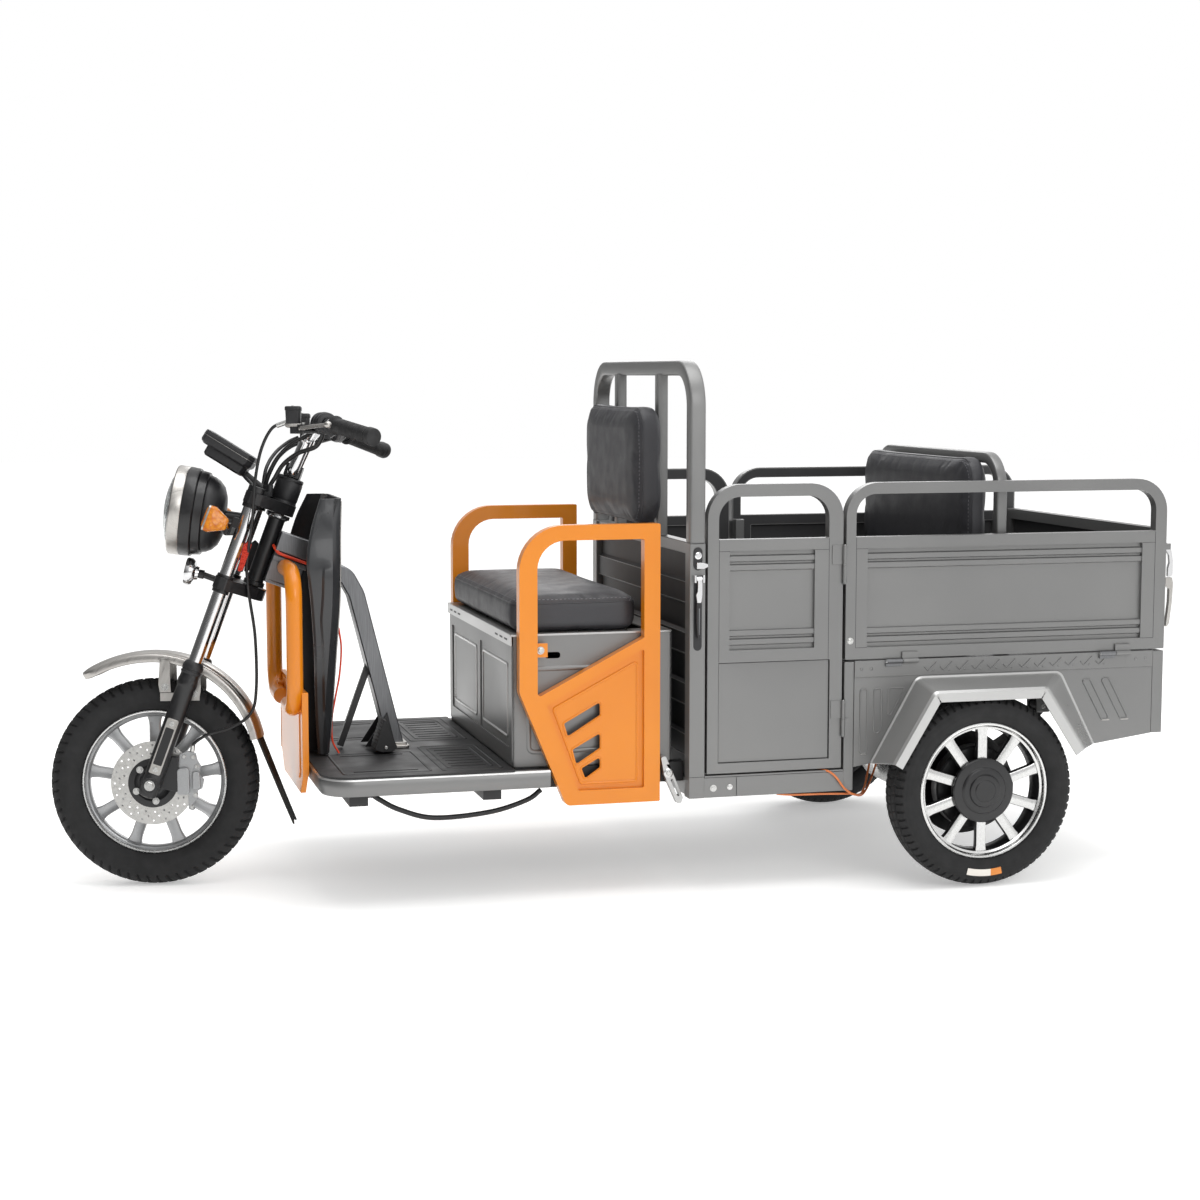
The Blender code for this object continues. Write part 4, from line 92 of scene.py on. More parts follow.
def add(tree, kind, sockets=None, **settings):
    """Adds one node to a tree: a socket takes a value, or a link from (node, its output)."""
    node = tree.nodes.new(kind)
    for key, value in settings.items():
        setattr(node, key, value)
    for key, value in (sockets or {}).items():
        if isinstance(value, tuple) and isinstance(value[0], bpy.types.Node):
            tree.links.new(value[0].outputs[value[1]], node.inputs[key])
        else:
            node.inputs[key].default_value = value
    return node


def finish(name, colour, **sockets):
    """A new material with the plain sockets of its Principled shader set; returns it, its tree and shader."""
    made = bpy.data.materials.new(name)
    made.use_nodes = True
    shader = made.node_tree.nodes["Principled BSDF"]
    shader.inputs["Base Color"].default_value = linear(colour)
    for key, value in sockets.items():
        shader.inputs[key.replace("_", " ")].default_value = value
    return made, made.node_tree, shader


def pattern(tree, shader, scale, detail=2.0, tint=(), rough=(), bump=(), kind="Noise"):
    """Noise or cells in the object's own space over a finish. They move it from one tint to another, from one
    roughness to another (low, high, and the noise value that gives the high one) or stand up as relief (strength,
    height). A scale of three values stretches them."""
    way = (add(tree, "ShaderNodeTexCoord"), "Object")
    if isinstance(scale, tuple):
        way, scale = (add(tree, "ShaderNodeMapping", {"Vector": way, "Scale": scale}), 0), 1.0
    sockets = {"Vector": way, "Scale": scale} if kind == "Voronoi" else {"Vector": way, "Scale": scale,
        "Detail": detail}
    level = (add(tree, "ShaderNodeTex" + kind, sockets), 0)
    if tint:
        mixed = add(tree, "ShaderNodeMix", {0: level, 6: linear(tint[0]), 7: linear(tint[1])}, data_type="RGBA")
        tree.links.new(mixed.outputs[2], shader.inputs["Base Color"])
    if rough:
        low, high, top = (*rough, 0.7)[:3]
        ranged = add(tree, "ShaderNodeMapRange", {"Value": level, 1: 0.3, 2: top, 3: low, 4: high})
        tree.links.new(ranged.outputs[0], shader.inputs["Roughness"])
    if bump:
        relief = add(tree, "ShaderNodeBump", {"Height": level, "Strength": bump[0], "Distance": bump[1]})
        tree.links.new(relief.outputs[0], shader.inputs["Normal"])


# White floor paint: matt, with the faint clouding of a rolled coat
floor_paint, tree, shader = finish("white_floor_paint", "F6F6F5", Roughness=0.85, Emission_Strength=0.36)
shader.inputs["Emission Color"].default_value = (1, 1, 1, 1)
spot = add(tree, "ShaderNodeTexCoord")
cloud = add(tree, "ShaderNodeTexNoise", {"Vector": (spot, "Object"), "Scale": 0.8, "Detail": 2.0})
tint = add(tree, "ShaderNodeMix", {0: (cloud, "Fac"), 6: linear("F4F4F3"), 7: linear("F8F8F7")}, data_type="RGBA")
tree.links.new(tint.outputs[2], shader.inputs["Base Color"])

ring = np.linspace(0, 2 * np.pi, 97)[:-1]
mesh = bpy.data.meshes.new("floor")
mesh.from_pydata(np.stack([24 * np.cos(ring), 24 * np.sin(ring), 0 * ring], 1).tolist(), [], [list(range(96))])
mesh.materials.append(floor_paint)
floor = bpy.data.objects.new("floor", mesh)
bpy.context.scene.collection.objects.link(floor)

room = bpy.data.worlds.new("room")
bpy.context.scene.world = room
room.use_nodes = True
walls = room.node_tree.nodes["Background"]
gaze = add(room.node_tree, "ShaderNodeTexCoord")
turned_way = add(room.node_tree, "ShaderNodeMapping",
    {"Vector": (gaze, "Generated"), "Rotation": (0.0, math.radians(-50), 0.0)})
split = add(room.node_tree, "ShaderNodeSeparateXYZ", {"Vector": (turned_way, 0)})
grade = add(room.node_tree, "ShaderNodeMapRange", {"Value": (split, "Z"), 1: -0.75, 2: 0.95, 3: 0.08, 4: 1.05},
    interpolation_type="SMOOTHSTEP")
seen = add(room.node_tree, "ShaderNodeLightPath")
level = add(room.node_tree, "ShaderNodeMix", {0: (seen, "Is Camera Ray"), 2: (grade, 0), 3: 1.0})
room.node_tree.links.new(level.outputs[0], walls.inputs["Strength"])
walls.inputs["Color"].default_value = (1, 1, 1, 1)
bpy.context.scene.view_settings.view_transform = "Standard"

for name, place, aim, size, power in (("overhead", (0.2, -0.4, 4.6), (0.1, 0, 0.4), 3.4, 95),
        ("near", (0.9, -5.2, 2.9), (0.1, 0, 0.5), 2.4, 55), ("behind", (1.6, 4.2, 3.0), (0.2, 0, 0.6), 2.4, 45)):
    lamp = bpy.data.lights.new(name, "AREA")
    lamp.size = size
    lamp.energy = power
    stand = bpy.data.objects.new(name, lamp)
    stand.location = place
    stand.rotation_euler = (Vector(aim) - Vector(place)).to_track_quat("-Z", "Y").to_euler()
    bpy.context.scene.collection.objects.link(stand)


# Front tyre: moulded rubber with a round crown. Its shoulders carry square lugs cut
# by cross grooves, and two wavy grooves run round the middle. Bead seated in the rim.

def smooth(points, count, closed=False):
    """A line through points: a Catmull-Rom cubic in each span, then resampled at equal lengths."""
    p = np.asarray(points, float)
    ends = (p[-1:], p[:1], p[1:2]) if closed else (2 * p[:1] - p[1:2], 2 * p[-1:] - p[-2:-1], p[:0])
    p = np.concatenate([ends[0], p, ends[1], ends[2]])
    a, b, c, d = (p[k:len(p) - 3 + k, None] for k in range(4))
    s = np.linspace(0, 1, 24, endpoint=False)[None, :, None]
    line = 0.5 * (2 * b + (c - a) * s + (2 * a - 5 * b + 4 * c - d) * s ** 2 + (3 * b - a - 3 * c + d) * s ** 3)
    line = np.concatenate([line.reshape(-1, p.shape[1]), c[-1]])
    reach = np.concatenate([[0], np.cumsum(np.linalg.norm(np.diff(line, axis=0), axis=1))])
    at = np.linspace(0, reach[-1], count, endpoint=not closed)
    return np.stack([np.interp(at, reach, line[:, k]) for k in range(p.shape[1])], 1)


def lattice(points, around=False, along=False, ends=False):
    """Square faces over an (m, n, 3) array of points, closed over n (around), over m (along) or by two end faces."""
    m, n = points.shape[:2]
    i, j = np.meshgrid(np.arange(m if along else m - 1), np.arange(n if around else n - 1), indexing="ij")
    i, j = i.ravel(), j.ravel()
    k, l = (i + 1) % m, (j + 1) % n
    faces = np.stack([i * n + j, i * n + l, k * n + l, k * n + j], 1).tolist()
    if ends:
        faces += [list(range(n)), list(range((m - 1) * n, m * n))]
    return points.reshape(-1, 3), faces


def place_rows(points, matrix):
    """Points moved by a 4x4 matrix: the product with its turn, plus its shift."""
    m = np.array(matrix)
    return points @ m[:3, :3].T + m[:3, 3]


def turned(profile, matrix=Matrix(), steps=64, shut=True):
    """A profile of (radius, height) turned about Z: x = r cos a, y = r sin a, z = height; closed on itself if shut."""
    p = np.asarray(profile, float)
    a = np.linspace(0, 2 * np.pi, steps, endpoint=False)
    grid = np.stack([p[:, :1] * np.cos(a), p[:, :1] * np.sin(a), np.repeat(p[:, 1:], steps, 1)], 2)
    points, faces = lattice(grid, around=True, along=shut)
    return place_rows(points, matrix), faces


def put(name, parts, material, body, home=HOME, soft=35, bevel=0.0, outward=True, node=()):
    """One object from (points, faces) parts: merged, faces outward, smooth up to an angle, riding on a body."""
    points = np.concatenate([p for p, _ in parts])
    faces, start = [], 0
    for p, f in parts:
        faces += [[k + start for k in face] for face in f] if start else f
        start += len(p)
    made = bpy.data.meshes.new(name)
    made.from_pydata(place_rows(points, home).tolist(), [], faces)
    if outward:
        shape = bmesh.new()
        shape.from_mesh(made)
        bmesh.ops.remove_doubles(shape, verts=shape.verts, dist=1e-6)
        bmesh.ops.recalc_face_normals(shape, faces=shape.faces)
        shape.to_mesh(made)
        shape.free()
    made.materials.append(material)
    made.shade_smooth()
    made.set_sharp_from_angle(angle=math.radians(soft))
    item = bpy.data.objects.new(name, made)
    bpy.context.scene.collection.objects.link(item)
    if bevel:
        round_over = item.modifiers.new("round_over", "BEVEL")
        round_over.width = bevel
        round_over.segments = 2
        round_over.limit_method = "ANGLE"
        round_over.angle_limit = math.radians(40)
        round_over.harden_normals = True
    if body:
        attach(item, body)
    if node:
        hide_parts(*([node] if isinstance(node, str) else node))
    return item


# Tyre rubber: near black, matt, dusty in its hollows, with the fine skin of a hot mould
rubber, tree, shader = finish("tyre_rubber", "161617", Roughness=0.72, Specular_IOR_Level=0.45)
spot = add(tree, "ShaderNodeTexCoord")
dust = add(tree, "ShaderNodeTexNoise", {"Vector": (spot, "Object"), "Scale": 38.0, "Detail": 5.0})
shade = add(tree, "ShaderNodeMapRange", {"Value": (dust, "Fac"), 1: 0.35, 2: 0.7, 3: 0.0, 4: 1.0})
tint = add(tree, "ShaderNodeMix", {0: (shade, 0), 6: linear("121213"), 7: linear("1D1D1E")}, data_type="RGBA")
tree.links.new(tint.outputs[2], shader.inputs["Base Color"])
skin = add(tree, "ShaderNodeTexNoise", {"Vector": (spot, "Object"), "Scale": 900.0, "Detail": 3.0})
relief = add(tree, "ShaderNodeBump", {"Height": (skin, "Fac"), "Strength": 0.25, "Distance": 0.0004})
tree.links.new(relief.outputs[0], shader.inputs["Normal"])

UP_AXIS = Vector((math.sin(math.radians(20.5)), 0, math.cos(math.radians(20.5))))
FRONT_RADIUS = 0.2302
FOOT = Vector((0.06, 0, FRONT_RADIUS))
TURN = (HOME @ Matrix.Translation(FOOT) @ Matrix.Rotation(math.radians(-12.0),
    4, UP_AXIS) @ Matrix.Translation(-FOOT))
WALL = Matrix.Rotation(math.pi / 2, 4, "X")
FRONT_HUB = moved(0, 0, FRONT_RADIUS) @ WALL


def tyre(name, section, lugs, cut, hub, home, body, node):
    """A tyre's surface: its section by turn angle, each point sunk along the section's normal by cut(angle, reach)."""
    half = np.array(section)
    line = smooth(np.concatenate([half * (1, -1), half[::-1][1:]]), 92)
    way = np.gradient(line, axis=0)
    normal = np.stack([-way[:, 1], way[:, 0]], 1)
    normal /= np.linalg.norm(normal, axis=1, keepdims=True)
    normal *= np.where((normal * (line - (half[0, 0], 0))).sum(1) < 0, -1, 1)[:, None]
    steps = np.linalg.norm(np.diff(line, axis=0), axis=1)
    reach = np.concatenate([[0], np.cumsum(steps)]) - steps.sum() / 2
    a = np.linspace(0, 2 * np.pi, lugs * 11, endpoint=False)[None]
    deep = cut(a * lugs / (2 * np.pi), reach[:, None])
    r = line[:, :1] + normal[:, :1] * -deep
    h = line[:, 1:] + normal[:, 1:] * -deep
    grid = np.stack([r * np.cos(a), r * np.sin(a), h + 0 * a], 2)
    points, faces = lattice(grid, around=True)
    bead = np.stack([grid[0], grid[-1]])
    inside, lid = lattice(bead, around=True)
    return put(name, [(place_rows(points, hub), faces), (place_rows(inside, hub), lid)], rubber, body, home,
        soft=50, node=node)


def groove(t, middle, width):
    """A groove's depth share across a repeated pattern: 1 within half its width of the middle, 0 beyond a soft edge."""
    away = np.abs((t - middle + 0.5) % 1.0 - 0.5)
    return np.clip((width / 2 + 0.045 - away) / 0.045, 0, 1)


def knobby(t, s):
    """Cross grooves on both shoulders, set half a lug apart, and two wavy grooves round the crown."""
    edge = np.clip((np.abs(s) - 0.0155) / 0.001, 0, 1) * np.clip((0.046 - np.abs(s)) / 0.003, 0, 1)
    cross = groove(t + 0.25 * np.sign(s) + 0.6 * np.abs(s) / 0.04 * np.sign(s), 0.5, 0.16) * edge
    sip = groove(t + 0.25 * np.sign(s), 0.02, 0.05) * np.clip((np.abs(s) - 0.026) / 0.001, 0, 1) * edge * 0.5
    wave = np.clip(1.4 - np.abs(np.abs(s) - 0.0145 - 0.003 * np.sin(2 * np.pi * t)) / 0.0016, 0, 1)
    middle = groove(t, 0.5, 0.12) * (np.abs(s) < 0.0115)
    ring_line = 0.12 * np.clip(1.5 - np.abs(np.abs(s) - 0.07) / 0.0007, 0, 1)
    return 0.0042 * np.clip(np.maximum.reduce([cross, sip, wave, 0.8 * middle, ring_line + 0 * t]), 0, 1)


tyre("front_tyre_cover", [(0.1598, 0.025), (0.164, 0.03), (0.176, 0.0365), (0.19, 0.0388), (0.203, 0.0384),
    (0.2125, 0.0355), (0.219, 0.0305), (0.225, 0.0225), (0.229, 0.011), (FRONT_RADIUS, 0.0)], 62, knobby, FRONT_HUB,
    TURN, "front_wheel", "front_tyre")


# Front wheel: one aluminium casting painted silver, its lip turned bright, with nine
# flat spokes. The drilled steel brake disc is bolted to a black carrier on the hub.

# Silver wheel paint: metallic lacquer over cast alloy, faintly grained by the casting
silver_paint, tree, shader = finish("silver_wheel_paint", "A9AAAB", Metallic=0.75, Roughness=0.38)
pattern(tree, shader, 420.0, 3.0, tint=("9A9B9C", "B2B3B4"), bump=(0.12, 0.0004))

# Turned aluminium: bright, with the fine rings that the lathe leaves
turned_alloy, tree, shader = finish("turned_aluminium", "D6D6D5", Metallic=1.0, Roughness=0.24)
pattern(tree, shader, 260.0, 4.0, rough=(0.18, 0.32))

# Black hub paint: semi-gloss, chipped lighter by a few specks
black_paint, tree, shader = finish("black_gloss_paint", "161617", Roughness=0.34, Coat_Weight=0.15)
pattern(tree, shader, 160.0, 6.0, rough=(0.28, 0.48, 0.75), tint=("121213", "1D1D1F"))


def spoke(inner, outer, width, thick, at, angle, flare, matrix):
    """A flat spoke: a rounded bar from the hub to the rim, its width growing by flare in the last fifth."""
    s = np.linspace(0, 1, 17)[:, None]
    wide = width / 2 * (1 + flare * np.clip((s - 0.8) / 0.2, 0, 1) ** 2
        + flare * np.clip((0.15 - s) / 0.15, 0, 1) ** 2)
    c = thick * 0.16
    side = np.array([(-1, -thick / 2 + c), (-1, thick / 2 - c), (-1 + 0.14, thick / 2),
        (-1 + 0.3, thick / 2 - c * 0.5), (1 - 0.3, thick / 2 - c * 0.5), (1 - 0.14, thick / 2), (1, thick / 2 - c),
        (1, -thick / 2 + c), (1 - 0.14, -thick / 2), (-1 + 0.14, -thick / 2)])
    x = inner + (outer - inner) * s + 0 * side[:, 0]
    y = wide * side[:, 0]
    z = at + 0 * s + side[:, 1]
    ca, sa = math.cos(angle), math.sin(angle)
    grid = np.stack([x * ca - y * sa, x * sa + y * ca, z], 2)
    points, faces = lattice(grid, around=True, ends=True)
    return place_rows(points, matrix), faces


barrel = [(0.1594, 0.0268), (0.1575, 0.0272), (0.154, 0.0266), (0.1522, 0.024), (0.1515, 0.0195), (0.149, 0.018),
    (0.1478, 0.012), (0.1455, 0.01), (0.1445, 0.006), (0.1445, -0.006), (0.1455, -0.01), (0.1478, -0.012),
    (0.149, -0.018), (0.1515, -0.0195), (0.1522, -0.024), (0.154, -0.0266), (0.1575, -0.0272), (0.1594, -0.0268)]
hub_line = [(0.0085, -0.0528), (0.02, -0.0528), (0.022, -0.04), (0.034, -0.028), (0.036, -0.01), (0.036, 0.029),
    (0.02, 0.03), (0.02, 0.052), (0.018, 0.0535), (0.0085, 0.0535)]
put("front_wheel_casting", [turned(barrel, FRONT_HUB, 96), turned(hub_line, FRONT_HUB, 48)]
    + [spoke(0.034, 0.1455, 0.0245, 0.0165, 0.0, math.radians(10 + 40 * k), 0.35, FRONT_HUB) for k in range(9)],
    silver_paint, "front_wheel", TURN, node="front_rim")
lip = [(0.1597, 0.0262), (0.1597, 0.0274), (0.158, 0.0286), (0.1553, 0.0284), (0.1535, 0.0268), (0.1545, 0.0262)]
put("front_wheel_lip", [turned(lip, FRONT_HUB, 96), turned(np.array(lip) * (1, -1), FRONT_HUB, 96)], turned_alloy,
    "front_wheel", TURN)


def drilled(name, outer, inner, thick, holes, matrix, material, body, home, soft_edge=0.0004):
    """A flat disc or plate with holes: closed outlines filled between two heights, then placed by a matrix."""
    flat = bpy.data.curves.new(name, "CURVE")
    flat.dimensions = "2D"
    flat.fill_mode = "BOTH"
    flat.extrude = thick / 2 - soft_edge
    flat.bevel_depth = soft_edge
    flat.bevel_resolution = 1
    a = np.linspace(0, 2 * np.pi, 96, endpoint=False)
    round_line = np.stack([np.cos(a), np.sin(a)], 1)
    lines = [outer * round_line, inner * round_line]
    for x, y, r in holes:
        lines.append(round_line[::8] * r + (x, y))
    for line in lines:
        spline = flat.splines.new("POLY")
        spline.points.add(len(line) - 1)
        spline.points.foreach_set("co",
            np.concatenate([line, np.zeros((len(line), 1)), np.ones((len(line), 1))], 1).ravel().tolist())
        spline.use_cyclic_u = True
    item = bpy.data.objects.new(name, flat)
    bpy.context.scene.collection.objects.link(item)
    shape = bpy.data.meshes.new_from_object(item.evaluated_get(bpy.context.evaluated_depsgraph_get()))
    bpy.data.objects.remove(item)
    bpy.data.curves.remove(flat)
    shape.transform(home @ matrix)
    shape.materials.clear()
    shape.materials.append(material)
    shape.shade_smooth()
    shape.set_sharp_from_angle(angle=math.radians(35))
    shape.name = name
    item = bpy.data.objects.new(name, shape)
    bpy.context.scene.collection.objects.link(item)
    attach(item, body)


# Brake disc: stainless steel, ground flat, swept by the pads into fine rings
disc_steel, tree, shader = finish("ground_stainless_steel", "C9C8C5", Metallic=1.0, Roughness=0.3)
pattern(tree, shader, 130.0, 4.0, tint=("AEADAA", "DAD9D6"), rough=(0.24, 0.42))

drill = [(r * math.cos(a), r * math.sin(a), 0.0026) for r, count,
    start in ((0.084, 20, 0.0), (0.0745, 20, 0.16), (0.065, 20, 0.05))
    for a in (start + 2 * math.pi * k / count for k in range(count))]
DISC = FRONT_HUB @ moved(0, 0, 0.05)
drilled("brake_disc", 0.092, 0.05, 0.003, drill, DISC, disc_steel, "front_wheel", TURN)
carrier = [(0.0095, 0.04), (0.0545, 0.04), (0.056, 0.0415), (0.056, 0.05), (0.0545, 0.0518), (0.041, 0.0523),
    (0.0385, 0.0505), (0.03, 0.05), (0.027, 0.053), (0.016, 0.0545), (0.0095, 0.0545)]
put("disc_carrier", [turned(carrier, FRONT_HUB, 64)], black_paint, "front_wheel", TURN)


def fastener(radius, height, matrix, sides=6, washer=1.35):
    """A bolt head on its washer, in one turned line; six sides make it a hexagon."""
    w = radius * washer
    head = turned([(0, 0.0), (w, 0.0), (w, height * 0.2), (w * 0.98, height * 0.25), (0, height * 0.25)], matrix, 20)
    top = turned([(0, height * 0.24), (radius, height * 0.24), (radius, height * 0.86), (radius * 0.86, height),
        (0, height)], matrix, sides)
    return [head, top]


# Zinc plate: pale grey steel with a soft sheen, as on bolts and nuts
zinc, tree, shader = finish("zinc_plated_steel", "C4C4C2", Metallic=1.0, Roughness=0.28)
pattern(tree, shader, 500.0, rough=(0.2, 0.4))

bolts = []
for k in range(5):
    a = math.radians(62 + 72 * k)
    at = moved(0.041 * math.cos(a), 0.041 * math.sin(a), 0.0515)
    bolts += fastener(0.0058, 0.005, FRONT_HUB @ at)
put("disc_bolts", bolts, zinc, "front_wheel", TURN)


# Rear tyres: road pattern with close square blocks on the shoulders and three
# straight grooves; one small blank label is stuck on the sidewall as sold.

def blocky(t, s):
    """Short cross grooves on each shoulder, three rings round the crown and fine sipes between them."""
    shoulder = np.clip((np.abs(s) - 0.024) / 0.001, 0, 1) * np.clip((0.0475 - np.abs(s)) / 0.002, 0, 1)
    cross = groove(t + 0.5 * (s > 0), 0.5, 0.2) * shoulder
    rings = np.max([np.clip(1.5 - np.abs(s - m) / 0.0011, 0, 1) for m in (-0.0245, -0.009, 0.009, 0.0245)], 0)
    sipe = groove(t + 18 * np.abs(s), 0.3, 0.12) * (np.abs(s) < 0.024) * 0.6
    side_ring = 0.16 * np.max([np.clip(1.5 - np.abs(np.abs(s) - m) / 0.0007, 0, 1) for m in (0.053, 0.0665)], 0)
    return 0.0034 * np.clip(np.maximum.reduce([cross, rings + 0 * t, sipe, side_ring + 0 * t]), 0, 1)


# Lathe-bright spoke faces over black lacquer, as on a two-tone car wheel
two_tone, tree, shader = finish("machined_spoke_face", "CFCFCE", Metallic=1.0, Roughness=0.26)
pattern(tree, shader, 300.0, 3.0, tint=("BDBDBC", "DDDDDC"))

# Label stock: coated paper, left blank, half white and half orange
label_paper, tree, shader = finish("blank_label_paper", "E9E4DC", Roughness=0.45)
spot = add(tree, "ShaderNodeTexCoord")
place_node = add(tree, "ShaderNodeSeparateXYZ", {"Vector": (spot, "Object")})
half_way = add(tree, "ShaderNodeMath", {0: (place_node, 0), 1: (rim_low.x + rim_high.x) / 2 + 0.012},
    operation="GREATER_THAN")
fibre = add(tree, "ShaderNodeTexNoise", {"Vector": (spot, "Object"), "Scale": 700.0})
pale = add(tree, "ShaderNodeMix", {0: (fibre, "Fac"), 6: linear("E2DCD2"), 7: linear("F0ECE5")}, data_type="RGBA")
tint = add(tree, "ShaderNodeMix", {0: (half_way, 0), 6: (pale, 2), 7: linear("E08A3C")}, data_type="RGBA")
tree.links.new(tint.outputs[2], shader.inputs["Base Color"])


def sideways(side):
    """A turn that lays Z square to the machine, out to its side."""
    return Matrix.Rotation(-side * math.pi / 2, 4, "X")


REAR_RADIUS = 0.2145
SIDES = (("left", -1), ("right", 1))
for label, side in SIDES:
    hub = moved(REAR_X, side * 0.4825, REAR_RADIUS) @ sideways(side)
    body = "rear_wheel_" + label
    tyre("rear_tyre_cover_" + label, [(0.1526, 0.0298), (0.157, 0.0352), (0.166, 0.0412), (0.177, 0.0446),
        (0.188, 0.0449), (0.198, 0.0425), (0.2055, 0.0372), (0.2105, 0.029), (0.2137, 0.015), (REAR_RADIUS, 0.0)], 70,
        blocky, hub, HOME, body, "rear_tyre_" + label)
    barrel = [(0.1522, 0.0312), (0.15, 0.0315), (0.147, 0.03), (0.1445, 0.024), (0.14, 0.0215), (0.1375, 0.015),
        (0.1365, 0.0), (0.1365, -0.024), (0.14, -0.029), (0.147, -0.03), (0.15, -0.0315), (0.1522, -0.0312)]
    hub_line = [(0.0135, -0.05), (0.044, -0.05), (0.046, -0.048), (0.046, 0.006), (0.07, 0.01), (0.07, 0.015),
        (0.0135, 0.015)]
    put("rear_wheel_casting_" + label, [turned(barrel, hub, 96), turned(hub_line, hub, 64)]
        + [spoke(0.045, 0.1375, 0.0235, 0.015, 0.0105, math.radians(18 + 36 * k), 0.18, hub) for k in range(10)],
        black_paint, body, node="rear_rim_" + label)
    faces = []
    for k in range(10):
        a = math.radians(18 + 36 * k)
        r = np.linspace(0.066, 0.1385, 7)
        w = 0.0117 * (1 + 0.18 * np.clip((r - 0.122) / 0.0155, 0, 1) ** 2)
        flat = np.stack([np.stack([r, -w + 0.001, 0 * r + 0.0184], 1), np.stack([r, -w + 0.0024, 0 * r + 0.0192], 1),
            np.stack([r, w - 0.0024, 0 * r + 0.0192], 1), np.stack([r, w - 0.001, 0 * r + 0.0184], 1),
            np.stack([r, w - 0.001, 0 * r + 0.0172], 1), np.stack([r, -w + 0.001, 0 * r + 0.0172], 1)], 1)
        points, quads = lattice(flat, around=True, ends=True)
        faces.append((place_rows(points, hub @ Matrix.Rotation(a, 4, "Z")), quads))
    put("rear_spoke_faces_" + label, faces, two_tone, body)
    lip = [(0.1525, 0.0305), (0.1525, 0.0322), (0.1505, 0.0334), (0.147, 0.0328), (0.1452, 0.0306), (0.143, 0.0246),
        (0.1385, 0.0222), (0.1385, 0.02), (0.144, 0.0216), (0.147, 0.0296)]
    put("rear_wheel_lip_" + label, [turned(lip, hub, 96)], turned_alloy, body)

    cap_line = [(0.0, 0.0195), (0.064, 0.0195), (0.0705, 0.0205), (0.0722, 0.023), (0.0722, 0.0262), (0.07, 0.0285),
        (0.062, 0.0296), (0.053, 0.03), (0.0505, 0.033), (0.047, 0.0345), (0.04, 0.0338), (0.0372, 0.0345),
        (0.0352, 0.0378), (0.031, 0.0392), (0.0262, 0.038), (0.0245, 0.0386), (0.0232, 0.04), (0.0, 0.0402)]
    put("rear_hub_cap_" + label, [turned(cap_line, hub, 72)], black_paint, body)
    drum = [(0.0135, -0.048), (0.09, -0.048), (0.094, -0.045), (0.094, -0.018), (0.09, -0.014), (0.0135, -0.014)]
    put("brake_drum_" + label, [turned(drum, hub, 48)], black_paint, body)
    if side < 0:
        a = np.radians(np.linspace(-104, -78, 30))[:, None]
        r = np.array([0.1745, 0.1745, 0.1895, 0.1895])
        h = np.array([0.0462, 0.0452, 0.0454, 0.0464])
        points, quads = lattice(np.stack([r * np.cos(a), r * np.sin(a), h + 0 * a], 2), around=True, ends=True)
        put("blank_tyre_label", [(place_rows(points, hub), quads)], label_paper, body)


# Lower fork: two cast legs painted black, each with a rubber dust seal at its top, that
# slide on the chromed upper tubes. A framed black plate is screwed along the near leg.

RAKED = Matrix.Translation(FOOT) @ Matrix.Rotation(math.radians(20.5), 4, "Y")


def line_of(a, b):
    """A frame at point a whose Z runs to point b, and the distance between them."""
    a, b = Vector(a), Vector(b)
    turn = Vector((0, 0, 1)).rotation_difference(b - a).to_matrix().to_4x4()
    return Matrix.Translation(a) @ turn, (b - a).length


def rod(a, b, radius, steps=24, edge=0.0008):
    """A round bar from a to b, turned from a line with its two rims chamfered."""
    matrix, reach = line_of(a, b)
    line = [(0, 0), (radius - edge, 0), (radius, edge), (radius, reach - edge), (radius - edge, reach), (0, reach)]
    return turned(line, matrix, steps)


def block(x, y, z, matrix=Matrix()):
    """Eight corners and six sides between two values along each axis, placed by a matrix."""
    corner = np.array([(a, b, c) for a in sorted(x) for b in sorted(y) for c in sorted(z)], float)
    return place_rows(corner, matrix), [[0, 1, 3, 2], [4, 6, 7, 5], [0, 4, 5, 1], [2, 3, 7, 6], [0, 2, 6, 4],
        [1, 5, 7, 3]]


def slab(outline, low, high, matrix=Matrix()):
    """A plate: an outline in X and Y drawn at two heights, with its rim and two faces."""
    o = np.asarray(outline, float)
    grid = np.stack([np.concatenate([o, np.full((len(o), 1), h)], 1) for h in (low, high)])
    points, faces = lattice(grid, around=True, ends=True)
    return place_rows(points, matrix), faces


def bent(points, radii, steps=8, closed=False):
    """A path whose corners are arcs: from one tangent point to the other about the corner's own centre."""
    points = [Vector(p) for p in points]
    made = []
    for i, here in enumerate(points):
        r = radii[i] if isinstance(radii, (list, tuple)) else radii
        if r == 0 or (not closed and i in (0, len(points) - 1)):
            made.append(tuple(here))
            continue
        back, ahead = (points[i - 1] - here).normalized(), (points[(i + 1) % len(points)] - here).normalized()
        half = back.angle(ahead) / 2
        centre = here + (back + ahead).normalized() * r / math.sin(half)
        first, last = here + back * r / math.tan(half) - centre, here + ahead * r / math.tan(half) - centre
        turn = first.angle(last)
        s = np.linspace(0, 1, steps + 1)[:, None]
        arc = (np.array(first) * np.sin((1 - s) * turn) + np.array(last) * np.sin(s * turn)) / math.sin(turn)
        made += (np.array(centre) + arc).tolist()
    return np.array(made)


def plan(points, radii, steps):
    """A closed outline in two values whose corners are arcs."""
    return bent([(*p, 0) for p in points], radii, steps, True)[:, :2]


